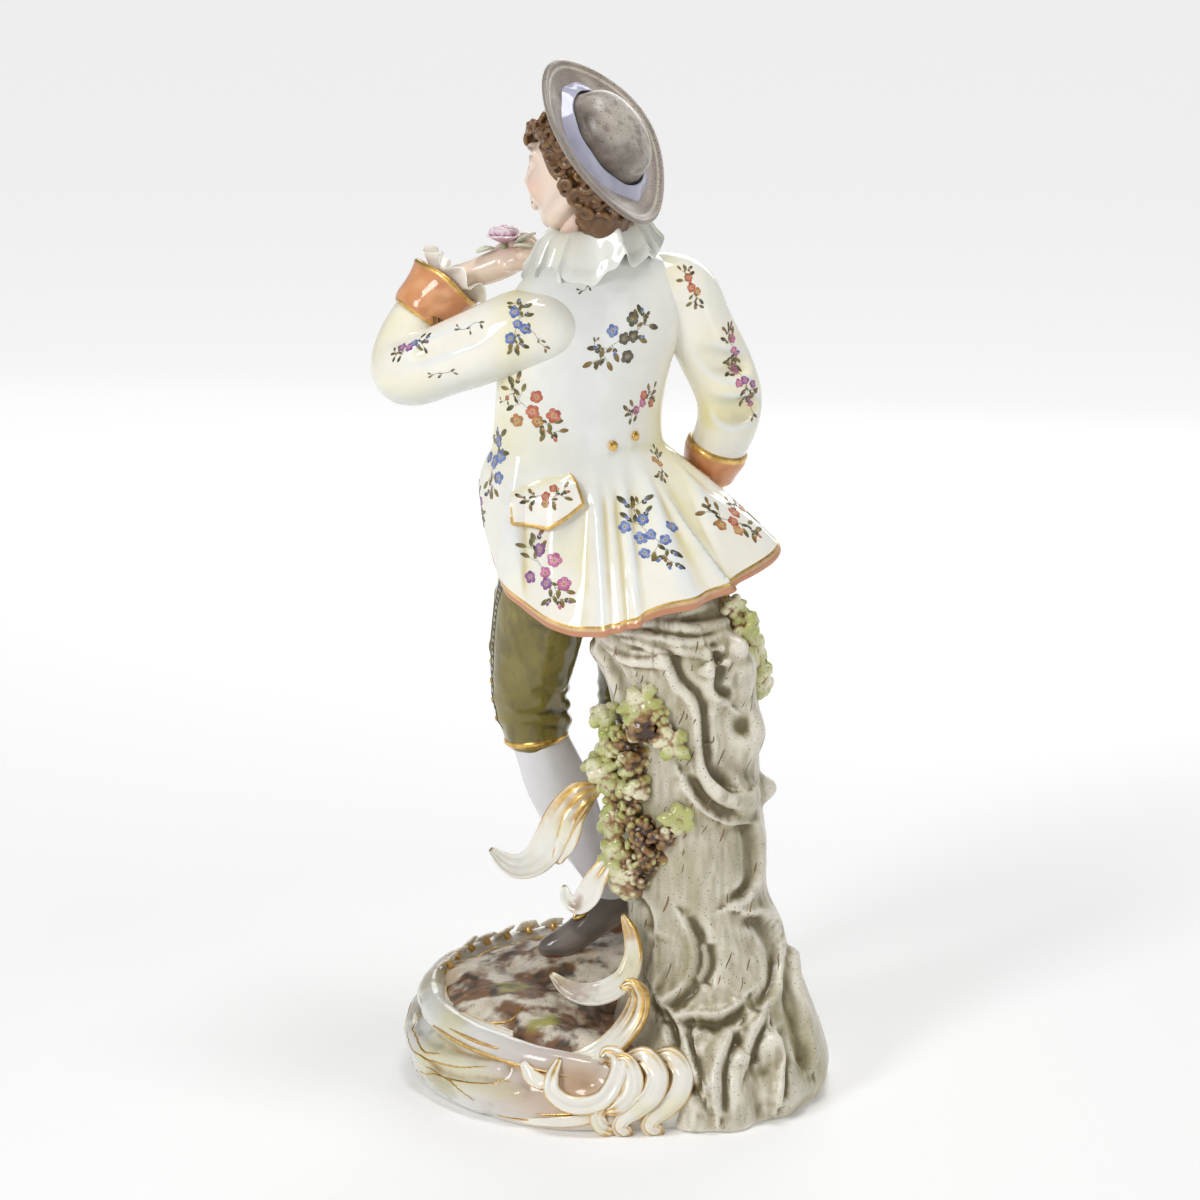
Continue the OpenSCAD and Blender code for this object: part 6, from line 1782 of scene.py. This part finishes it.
near_path = (rim_roll(206, 256, 0.90, 0.875, 29, 23.5, 5.6, 5.6, 8)
             + [[-6, -68, 25, 5.6], [3, -64, 29.0, 5.8], [10, -60.5, 35, 6.0], [14.5, -58, 42, 6.0],
                [15.5, -57, 48.5, 5.0], [12.5, -57, 52.5, 3.4], [9, -57.5, 52, 1.6]])
add_scrolls("rim_scroll_near_glazed",
            [scroll(near_path,
                    np.array([[0, -0.5, 1.0], [0, -0.6, 1.0], [-0.1, -0.7, 0.9], [-0.65, -0.7, 0.55],
                              [-0.8, -0.6, 0.1]]), 4.2, 0.1, 120, ribs=3, gold=(0, 0.3))],
            ["rim_scroll_near"])
lobes = [scroll([(-16, -72, 27, 1.4), (-18.5, -76, 22, 2.8), (-18.5, -79, 17, 3.4), (-13, -81.5, 13, 3.6),
                 (-6, -82.5, 12.5, 3.8), (1, -82.5, 15, 3.8), (5.5, -80, 20.5, 3.8), (7.5, -76, 26, 3.6),
                 (6, -71.5, 29.5, 3), (2, -70, 30, 2), (0.5, -71, 28.5, 1)], NEAR, 3.2, 0.3, 110, ribs=2,
                gold=(0.16, 0.2)),
         scroll([(4, -72, 26, 2.2), (9.5, -75, 27.5, 3.6), (13, -78.5, 21.5, 4.0), (11, -81.5, 15, 3.8),
                 (6, -82.5, 11.5, 3.2), (2, -82.5, 10, 1.4)], NEAR, 3.0, 0.1, 70, ribs=3, gold=(0.35, 0.25)),
         scroll([(11, -70, 27, 2.4), (17, -73, 29, 4.0), (22, -77, 23.5, 4.6), (20.5, -80.5, 16.5, 4.6),
                 (14.5, -82, 11, 4.0), (9, -82.5, 7, 3.4), (7.5, -82, 3.4, 3.2), (10, -82.5, 1.2, 3.4)], NEAR,
                3.6, 0.1, 90, ribs=4, gold=(0.35, 0.25)),
         scroll([(21, -68, 26.5, 2.4), (27, -70.5, 28, 4.0), (32, -74, 23, 4.6), (31, -77.5, 16.5, 4.6),
                 (26, -80, 11, 4.2), (20.5, -81.5, 7, 3.6), (19, -81.5, 3.4, 3.4), (22, -81.5, 1.2, 3.6)],
                NEAR, 3.6, 0.1, 90, ribs=4, gold=(0.35, 0.28)),
         scroll([(1, -82.5, 12, 2.0), (-1, -83, 8, 3.2), (0.5, -82.6, 4, 3.2), (5, -82, 1.4, 3.0)], NEAR, 3.0,
                0.1, 50, ribs=3, gold=(0.3, 0.3)),
         scroll([(-34, -70.5, 2.2, 0.6), (-22, -77, 3.6, 1.8), (-8, -81.4, 6, 2.2), (0, -82.4, 9, 1.8)], NEAR,
                1.6, 0.3, 50, gold=(0.2, 0.5)),
         scroll([(-30, -68, 24.5, 1.4), (-27, -71, 20.5, 3.0), (-22, -74.6, 18.6, 3.0)], NEAR, 2.0, 0.9, 30)]
add_scrolls("shell_foot_near_glazed", lobes, ["shell_foot_near"])
lobes = []
for i, x in enumerate((-4, 5.5, 15)):
    lobes.append(scroll([(x, 71, 35, 3), (x, 75.5, 36, 5.0), (x + 1, 79.5, 31, 5.6), (x - 1, 80.5, 23, 5.4),
                         (x - 3, 80, 15, 4.8), (x - 4, 80, 7, 4.0), (x - 2, 80.5, 2, 4.4)], (0, 1, 0.25), 3.8,
                        0.1, 80, ribs=4, gold=(0.25, 0.22)))
add_scrolls("shell_foot_front_glazed", lobes, ["shell_foot_front"])

curl_path = [(9.5, -39, 75, 1.6), (12.5, -41, 69, 3.4), (13.5, -44, 60, 4.6), (10, -47, 51.5, 5.4),
             (2, -48, 46.5, 5.4), (-7, -46, 45, 4.6), (-14, -43, 47, 3.2), (-19, -40, 51, 1.4)]
add_scrolls("curl_by_shoe_glazed",
            [scroll(curl_path,
                    np.array([[-0.8, -0.6, 0.1], [-0.7, -0.6, 0.5], [-0.3, -0.6, 0.8], [0.1, -0.7, 0.8]]),
                    2.4, 0.9, 90, ribs=3, gold=(0.22, 0), trim=0.3)], ["curl_by_shoe"],
            earth=(((-12, -44, 48), 9, 0.42), ((12, -41, 71), 5, 0.3)))
tendril_path = [(-2, -27, 124, 3.5), (-8, -28, 121, 6.0), (-14, -27, 113, 7.6), (-19, -26, 103, 7.6),
                (-25, -24, 94, 6.6), (-32, -21, 90, 5.4), (-38, -18, 91, 3.8), (-43, -16, 95, 1.8)]
add_scrolls("stump_tendril_glazed",
            [scroll(tendril_path,
                    np.array([[-0.5, -0.9, 0.2], [-0.5, -0.9, 0.35], [-0.2, -0.8, 0.7], [0, -0.7, 0.8]]), 2.4,
                    0.9, 90, ribs=3, gold=(0.4, 0), trim=0.42),
             scroll([(-4, -27, 120, 2.4), (-10, -30, 113, 4.2), (-13, -31, 104, 4.4), (-17, -29, 95, 2.4)],
                    (-0.2, -1, 0.3), 1.8, 0.8, 50, ribs=2, gold=(0.5, 0.2), trim=0.7)], ["stump_tendril"],
            earth=(((-3, -28, 123), 9, 0.5),))
add_scrolls("small_tendril_glazed",
            [scroll([(4, -38, 98, 2.4), (-1, -39, 91, 4.4), (-5, -38, 83, 5.0), (-9, -36, 79, 4.0),
                     (-13, -34, 81, 2.8), (-14, -33, 85, 1.4)], (-0.3, -0.9, 0.4), 2.0, 0.9, 60, ribs=2,
                    gold=(0.3, 0), trim=0.3)], ["small_tendril"], earth=(((-9, -37, 79), 4, 0.5),))

# Little blossoms along the far rim
blossoms = []
rng = np.random.default_rng(12)
for i in range(7):
    c = np.array(rim(112 + 9.5 * i, 0.83, 38.9))
    n = unit(np.array([c[0] - BASE_X, c[1], 0]) * 0.01 + UP * 0.9 + rng.normal(0, 0.12, 3))
    u = unit(np.cross(n, UP + 0.3 * E_R))
    w = np.cross(n, u)
    for j in range(5):
        a = 2 * math.pi * j / 5 + i
        d = u * math.cos(a) + w * math.sin(a)
        v, f, across, along_ = leaf(c + d * 0.6, c + d * 5.2 + n * 0.9, n, 5.0, 0.9, 0, 11, 11)
        blossoms.append((v, f, wash("FBF7EC", "E4CB96", bump(along_, 0.1, 0.35)), np.zeros(len(v))))
    a = circle(20)
    dome = np.array([c + n * (1.1 * h) + (u * math.cos(t) + w * math.sin(t)) * 1.5 * q for q,
                     h in ((0.02, 1.3), (0.6, 1.1), (0.95, 0.6), (1, 0), (1, -2.4), (0.02, -2.6)) for t in a])
    blossoms.append((dome, outward(dome, grid_faces(6, 20, True)), np.tile(tint("C9A55A"), (len(dome), 1)),
                     np.ones(len(dome))))
v, f, paint, gold = joined(blossoms)
add("rim_garland_glazed", v, f, PORCELAIN, ["rim_garland"], paint, gold)

# ------------------------------------------------------------------------------------------ painted flowers

coat_tree = tree_of(coat_piece, left_sleeve_piece, right_sleeve_piece)
VIEW_FROM = np.array([0.0, -1.0, 0.22])

KINDS = {                                       # petal heart, petal, petal outline
    "blue": (tint("B4C2E4"), tint("6D83C0"), tint("3B4C86")),
    "purple": (tint("CFA6CE"), tint("9A5A9C"), tint("5E2C64")),
    "pink": (tint("EDB4CB"), tint("CB6B98"), tint("8C3A68")),
    "red": (tint("EDB094"), tint("CB6546"), tint("8E3A22")),
    "orange": (tint("EBC892"), tint("CB8A48"), tint("85501F")),
    "olive": (tint("8F8B74"), tint("5C5846"), tint("2E2A20")),
}
LEAF_TONES = (tint("6A6230"), tint("857538"), tint("4E4622"), tint("8A6A30"))


class Spray:
    """A painted spray: strokes in a flat frame, then laid over the porcelain."""

    def __init__(self, seed):
        self.rng = np.random.default_rng(seed)
        self.parts = []

    def blade(self, root, tip, width, heart, tone, outline, point=1.0, nu=9, nw=9):
        """A petal or leaf from root to tip, darker at its edge."""
        root, tip = np.array(root, float), np.array(tip, float)
        t = tip - root
        s = np.array([-t[1], t[0]]) / max(np.hypot(*t), 1e-6)
        uu, ww = np.meshgrid(np.linspace(-1, 1, nu), np.linspace(0, 1, nw))
        w = width * 0.5 * np.sin(np.clip(ww, 0.03, 0.97) ** point * math.pi) ** 0.7
        xy = root + t * ww[..., None] + s * (uu * w)[..., None]
        rim_ = np.maximum(np.abs(uu), np.abs(2 * ww - 1) ** 2)
        tone_at = mix(heart, tone, ramp(ww, 0.0, 0.6)[..., None])
        colour = mix(tone_at, outline, ramp(rim_, 0.62, 0.86)[..., None])
        colour = mix(colour, outline, (0.5 * bump(uu, 0, 0.12) * ramp(ww, 0.1, 0.3))[..., None])
        high = np.where((np.abs(uu) < 0.99) & (ww > 0.01) & (ww < 0.99), 0.16, -0.10)
        f = grid_faces(nw, nu)
        n = uu.size
        inner = np.zeros((nw, nu), bool)
        inner[1:-1, 1:-1] = True
        low_index = np.arange(n)
        low_index[inner.ravel()] = n + np.arange(inner.sum())
        f = np.vstack([f, low_index[f][:, ::-1]])
        xy = np.vstack([xy.reshape(-1, 2), xy[inner]])
        high = np.concatenate([high.ravel(), np.full(inner.sum(), -0.25)])
        colour = np.vstack([colour.reshape(-1, 3), np.tile(outline, (inner.sum(), 1))])
        self.parts.append((xy, f, high, colour))

    def stem(self, points, width, tone=None):
        tone = LEAF_TONES[2] if tone is None else tone
        p = spread(np.array([[*q, 0.0] for q in points]), 4 * len(points))[:, :2]
        for a, b in zip(p[:-1], p[1:]):
            d = (b - a) * 0.3
            self.blade(a - d, b + d, width, tone, tone, tone, nu=3, nw=4)

    def flower(self, c, r, kind):
        heart, tone, outline = KINDS[kind]
        start = self.rng.uniform(0, 6.28)
        for k in range(5):
            a = start + 2 * math.pi * k / 5
            d = np.array([math.cos(a), math.sin(a)])
            self.blade(np.array(c) + d * r * 0.12, np.array(c) + d * r * self.rng.uniform(0.85, 1.08),
                       r * 0.92, heart, mix(tone, outline if k % 2 else heart, self.rng.uniform(0, 0.45)),
                       outline, 1.35)
        for k in range(3):
            a = start + 2.1 * k
            d = np.array([math.cos(a), math.sin(a)])
            self.blade(np.array(c) - d * r * 0.2, np.array(c) + d * r * 0.24, r * 0.34, tint("E8C65A"),
                       tint("D9A93C"), tint("7A4A1C"), nu=5, nw=5)

    def leaf(self, root, angle, size, tone=None):
        tone = LEAF_TONES[self.rng.integers(4)] if tone is None else tone
        d = np.array([math.cos(angle), math.sin(angle)])
        self.blade(root, np.array(root) + d * size, size * 0.5, mix(tone, tint("BDB67C"), 0.45), tone,
                   tone * 0.4)

    def bud(self, c, angle, size, kind):
        heart, tone, outline = KINDS[kind]
        d = np.array([math.cos(angle), math.sin(angle)])
        self.blade(c, np.array(c) + d * size, size * 0.66, heart, tone, outline)
        self.leaf(np.array(c) - d * size * 0.5, angle + 0.5, size * 0.8, LEAF_TONES[2])
        self.leaf(np.array(c) - d * size * 0.5, angle - 0.5, size * 0.8, LEAF_TONES[2])

    def grow(self, size, kinds, flowers):
        """A spray about size long on one swaying stem, with blossoms in its middle and leaves at its ends."""
        rng = self.rng
        half = size * 0.5
        sway = rng.choice([-1, 1]) * rng.uniform(0.10, 0.16) * size
        line = np.array([(-half, -sway * 0.5), (-half * 0.4, sway * 0.3), (half * 0.35, -sway * 0.2),
                         (half, sway * 0.6)])
        main = spread(np.hstack([line, np.zeros((4, 1))]), 25)[:, :2]
        self.stem(main[::6], 0.32)
        blade = min(size, 22)
        for k, t in enumerate((0.03, 0.12, 0.22, 0.33, 0.66, 0.76, 0.86, 0.95) if size > 12
                              else (0.1, 0.5, 0.9)):
            p = main[int(t * 24)]
            d = unit(main[min(24, int(t * 24) + 1)] - main[max(0, int(t * 24) - 1)])
            way = math.atan2(d[1], d[0]) + (0 if t > 0.5 else math.pi)
            side = 1 if k % 2 else -1
            reach = rng.uniform(0.09, 0.17) * size
            a = way + side * rng.uniform(0.7, 1.3)
            q = p + np.array([math.cos(a), math.sin(a)]) * reach
            self.stem([p, mix(p, q, 0.5) + d * 0.3, q], 0.26)
            self.leaf(q, a + rng.uniform(-0.3, 0.3), rng.uniform(0.17, 0.24) * blade)
            self.leaf(mix(p, q, 0.4), a - side * 1.3, rng.uniform(0.12, 0.18) * blade)
            if rng.random() < 0.45 and size > 12:
                self.bud(q + d * 0.6, a - side * 0.4, 0.09 * size, kinds[-1])
        self.bud(main[-1], math.atan2(*(main[-1] - main[-4])[::-1]), 0.12 * min(size, 20), kinds[0])
        self.leaf(main[0], math.atan2(*(main[0] - main[3])[::-1]), 0.2 * min(size, 20))
        radius = min(size * 0.14, 2.9)
        for k in range(flowers):
            c = (main[12]
                 + radius * 1.45 * math.sqrt(k)
                 * np.array([math.cos(2.4 * k + sway), math.sin(2.4 * k + sway)]))
            self.flower(c, radius * rng.uniform(0.88, 1.1), kinds[k % len(kinds)])

    def placed(self, tree, at, out, angle=0.0):
        """Lays the spray where a line through `at` along -out meets the porcelain."""
        out = unit(np.array(out, float))
        at = np.array(at, float)
        hit, normal, _, _ = tree.ray_cast(Vector(at + out * 60), Vector(-out))
        if hit is None:
            hit, normal, _, _ = tree.find_nearest(Vector(at))
        c, n = np.array(hit), unit(np.array(normal))
        e1 = unit(np.cross(UP, n))
        e2 = np.cross(n, e1)
        u, w = e1 * math.cos(angle) + e2 * math.sin(angle), -e1 * math.sin(angle) + e2 * math.cos(angle)
        xy, f, high, colour = joined(self.parts)
        flat_pts = c + xy[:, :1] * u + xy[:, 1:] * w
        v = np.empty_like(flat_pts)
        for i, p in enumerate(flat_pts):
            q, m, _, _ = tree.ray_cast(Vector(p + n * 9), Vector(-n), 22.0)
            if q is None:
                q, m, _, _ = tree.find_nearest(Vector(p))
            v[i] = np.array(q) + np.array(m) * high[i]
        return v, f, colour


# Each spray: place, length, kinds, blossoms, turn
SPRAYS = (((9.6, -22, 303), 26, ("olive", "olive", "blue"), 5, 0.5), ((-1, -22, 298), 9, ("olive",), 1, 2.0),
          ((-4.6, -18, 323), 8, ("orange",), 0, 0.9), ((-31.5, -28, 309), 17, ("blue",), 4, 1.4),
          ((-24, -26, 303), 10, ("olive",), 0, 2.2), ((-74, -17, 299), 14, ("purple", "blue"), 3, 0.7),
          ((-61, -22, 289), 9, ("olive",), 0, 0.2), ((36, 8, 318), 14, ("red", "orange"), 3, -1.2),
          ((53, 10, 293.5), 14, ("pink", "purple"), 3, -1.2),
          ((57.5, 10, 281.5), 15, ("purple", "pink"), 4, -1.2), ((60, 12, 272), 9, ("pink",), 1, -1.3),
          ((-26, -18, 273), 25, ("red", "orange"), 5, -0.75), ((-36, -14, 278), 8, ("red",), 1, 0.7),
          ((16.7, -20, 278), 15, ("pink", "red"), 4, 0.6), ((23.4, -18, 253.5), 13, ("orange",), 2, 1.2),
          ((-41, -18, 254), 22, ("blue",), 5, 1.5), ((20, -44, 230), 28, ("blue",), 7, -0.9),
          ((-21, -40, 214), 26, ("pink", "purple"), 6, -0.9),
          ((52.7, -22, 231), 22, ("red", "orange"), 4, -0.6), ((-50, -20, 307), 10, ("olive",), 0, 0.5),)
painted = []
for i, (at, size, kinds, count, angle) in enumerate(SPRAYS):
    s = Spray(100 + i)
    s.grow(size, kinds, count)
    painted.append(s.placed(coat_tree, at, VIEW_FROM, angle))
# Sides that face away: the fronts, the far sleeve sides and the chest
for i, (at, out, size, kinds, count, angle) in enumerate(
        (((-46, 10, 292), (-0.8, 0.6, 0), 15, ("blue", "pink"), 3, 0.4),
         ((-45, 8, 262), (-0.9, 0.5, 0), 18, ("red", "orange"), 3, 1.4),
         ((20, 26, 300), (0.4, 0.9, 0), 18, ("purple", "pink"), 3, 0.3),
         ((28, 26, 262), (0.6, 0.8, 0), 18, ("red",), 3, 1.6),
         ((-70, 8, 284), (-0.5, 0.6, -0.7), 12, ("pink",), 2, 0.2),
         ((52, 30, 285), (0.4, 0.9, 0), 14, ("blue", "purple"), 2, 0.8),
         ((-48, -6, 236), (-1, -0.2, 0), 15, ("purple",), 2, 2.2),
         ((62, 2, 232), (1, -0.2, 0.2), 14, ("orange",), 2, 2.2),
         ((-62, 2, 306), (-0.3, 0.2, 1), 13, ("red",), 2, 1.2),
         ((40, 28, 312), (0.3, 0.8, 0.5), 12, ("red", "orange"), 2, 1.2))):
    s = Spray(300 + i)
    s.grow(size, kinds, count)
    painted.append(s.placed(coat_tree, at, out, angle))
flap_tree = tree_of(flap_piece)
for i, (at, out, angle) in enumerate((((-21, -34, 243), VIEW_FROM, 0.2),
                                      ((54, 20, 246), (0.8, 0.6, 0.2), 0.4))):
    s = Spray(500 + i)
    s.grow(15, ("red", "orange"), 3)
    painted.append(s.placed(flap_tree, at, out, angle))
v, f, colour = joined(painted)
add("coat_flowers_enamel", v, f, ENAMEL, (), colour)

# ----------------------------------------------------------------------------------------------- gilt lines

leg_tree = tree_of(leg_piece)
seams = []
for points in ([(-45, -2, 205), (-47, 8, 190), (-45, 14, 172), (-43, 20, 152), (-40, 22, 137)],
               [(-42, -6, 205), (-45, 2, 190), (-43.5, 9, 172), (-42, 15, 152), (-39, 17, 137)],
               [(34, 20, 205), (33, 28, 190), (31, 34, 170), (28, 40, 150), (27, 42, 137)]):
    seams.append(stroke(leg_tree, points, 0.7))
for t in np.linspace(0.05, 0.95, 22):
    p = spread(np.array([(-43.5, -4, 205), (-46, 5, 190), (-44, 11.5, 172), (-42.5, 17.5, 152),
                         (-39.5, 19.5, 137)], float), 100)[int(t * 99)]
    seams.append(stroke(leg_tree, [p + [0, -2.0, -0.7], p + [0, 0, 0.7], p + [0, 2.0, -0.7]], 0.6, 6))
v, f = joined(seams)
add("breeches_embroidery", v, triangles(f), ENAMEL, (),
    np.tile(tint("4A421F"), (len(v), 1)))
studs = []
for z in (165, 157, 149, 141):
    p = laid(leg_tree, [(-44, 18, z)], 0.0)[0]
    studs.append(knob(p, p - np.array([-27.5, 20, z]), 1.3))
gild("breeches_buttons_gilt", studs)

bark_tree = tree_of(stump_piece)
marks = []
for i in range(95):
    a, z = random.uniform(190, 380), random.uniform(46, 186)
    p = np.array(on_trunk(a, z, 2.0))
    along_wall = unit(np.array(on_trunk(a + 4, z, 2.0)) - p)
    d = unit(UP + along_wall * random.uniform(0.25, 0.6)) * random.uniform(1.6, 4.2)
    marks.append(stroke(bark_tree, [p - d, p + along_wall * 0.3, p + d], random.uniform(0.5, 1.1), 7, 0.06,
                        0.06))
v, f = joined(marks)
add("bark_brushwork", v, triangles(f), BARK, (),
    wash("7A6A4C", "8E7450", ramp(noise(v, 20), -0.3, 0.3)))

base_tree = tree_of(base_piece)
strokes = []
for line, w in (([(189, 25), (197, 20), (206, 17), (213, 21)], 1.1),
                ([(188, 17), (200, 14.5), (212, 15), (224, 18), (232, 22)], 0.9),
                ([(205, 9), (214, 10.5), (224, 12.5), (232, 15), (240, 19)], 0.9),
                ([(208, 11.5), (216, 11), (224, 9.5), (230, 6.5)], 0.8),
                ([(192, 8), (198, 5), (203, 9)], 0.8), ([(236, 2.5), (248, 3.5), (262, 7)], 0.8),
                ([(248, 6), (258, 7.5), (266, 11)], 0.9), ([(172, 22), (184, 16), (196, 12)], 0.9),
                ([(150, 20), (168, 14), (184, 8)], 0.9), ([(118, 10), (140, 14), (160, 20)], 0.9),
                ([(60, 20), (84, 15), (108, 9)], 0.9), ([(40, 8), (66, 12), (90, 18)], 0.9),
                ([(16, 18), (36, 12), (60, 8)], 0.9)):
    pts = [rim(a, 1.0, z, m) for (a, z),
           m in zip(line, np.interp(np.linspace(0, 1, len(line)), [0, 0.5, 1], [0.5, 1.2, 0.5]))]
    strokes.append(stroke(base_tree, pts, w))
ground_tree = tree_of(ground_piece)
for line, w in (([(-67, -9, 36), (-66, -24, 36), (-58, -37, 34), (-46, -42, 33), (-36, -40, 33),
                  (-30, -30, 34)], 1.3), ([(-70, 2, 34), (-64, 18, 38), (-50, 34, 40), (-34, 46, 42)], 1.2)):
    strokes.append(stroke(ground_tree,
                          [(*p, m) for p,
                           m in zip(line,
                                    np.interp(np.linspace(0, 1, len(line)), [0, 0.5, 1], [0.6, 1.2, 0.4]))],
                          w, height=0.5))
gild("base_gilding", strokes)

# ------------------------------------------------------------------------------------- light, floor, camera

floor_mesh = bpy.data.meshes.new("studio_floor")
FLOOR_HALF = 16
floor_mesh.from_pydata([(x * FLOOR_HALF, y * FLOOR_HALF, 0) for x, y in ((-1, -1), (1, -1), (1, 1), (-1, 1))],
                       [], [(0, 1, 2, 3)])
floor = bpy.data.objects.new("studio_floor", floor_mesh)
bpy.context.scene.collection.objects.link(floor)
paper = bpy.data.materials.new("floor_paper")
paper.use_nodes = True
shader = paper.node_tree.nodes["Principled BSDF"]
shader.inputs["Base Color"].default_value = (0.93, 0.93, 0.93, 1)
shader.inputs["Roughness"].default_value = 0.9
shader.inputs["Emission Color"].default_value = (1, 1, 1, 1)
# The paper glows a little more away from the figure, so that it fades into the backdrop
tree = paper.node_tree
place = node_in(tree, "ShaderNodeTexCoord")
away = node_in(tree, "ShaderNodeVectorMath", operation="LENGTH")
tree.links.new(place.outputs["Object"], away.inputs[0])
tree.links.new(spanned(tree, away.outputs["Value"], 0.3, 1.8, 0.14, 0.62), shader.inputs["Emission Strength"])
floor_mesh.materials.append(paper)

world = bpy.data.worlds.new("studio")
world.use_nodes = True
world.node_tree.nodes["Background"].inputs["Color"].default_value = (1, 1, 1, 1)
tree = world.node_tree
direction = node_in(tree, "ShaderNodeTexCoord")
parts_of = node_in(tree, "ShaderNodeSeparateXYZ")
tree.links.new(direction.outputs["Generated"], parts_of.inputs[0])
tree.links.new(spanned(tree, parts_of.outputs["Z"], 0.0, 0.6, 0.58, 0.20),
               tree.nodes["Background"].inputs["Strength"])
bpy.context.scene.world = world
bpy.context.scene.view_settings.view_transform = "Standard"
target = Vector((0, 0, 0.22))
for name, place, size, power in (("key_left", (-1.0, -1.2, 1.0), (0.4, 0.7), 11),
                                 ("fill_right", (1.3, -1.0, 0.5), (0.5, 1.0), 1.6),
                                 ("top", (0.15, -0.1, 1.5), (0.5, 0.5), 8),
                                 ("back", (0.3, 1.3, 0.9), (1.0, 0.8), 6)):
    lamp = bpy.data.lights.new(name, "AREA")
    lamp.shape = "RECTANGLE"
    lamp.size, lamp.size_y = size
    lamp.energy = power
    o = bpy.data.objects.new(name, lamp)
    o.location = place
    o.rotation_euler = (target - Vector(place)).to_track_quat("-Z", "Y").to_euler()
    bpy.context.scene.collection.objects.link(o)

CAMERA_BACK, CAMERA_HEIGHT, CAMERA_DIP, LENS = 1.326, 0.486, 12.4, 102.1      # metres, degrees, millimetres
camera = bpy.data.cameras.new("camera")
camera.sensor_width = 36
camera.lens = LENS
eye = bpy.data.objects.new("camera", camera)
eye.location = (0, -CAMERA_BACK, CAMERA_HEIGHT)
eye.rotation_euler = (math.radians(90 - CAMERA_DIP), 0, 0)
bpy.context.scene.collection.objects.link(eye)
bpy.context.scene.camera = eye
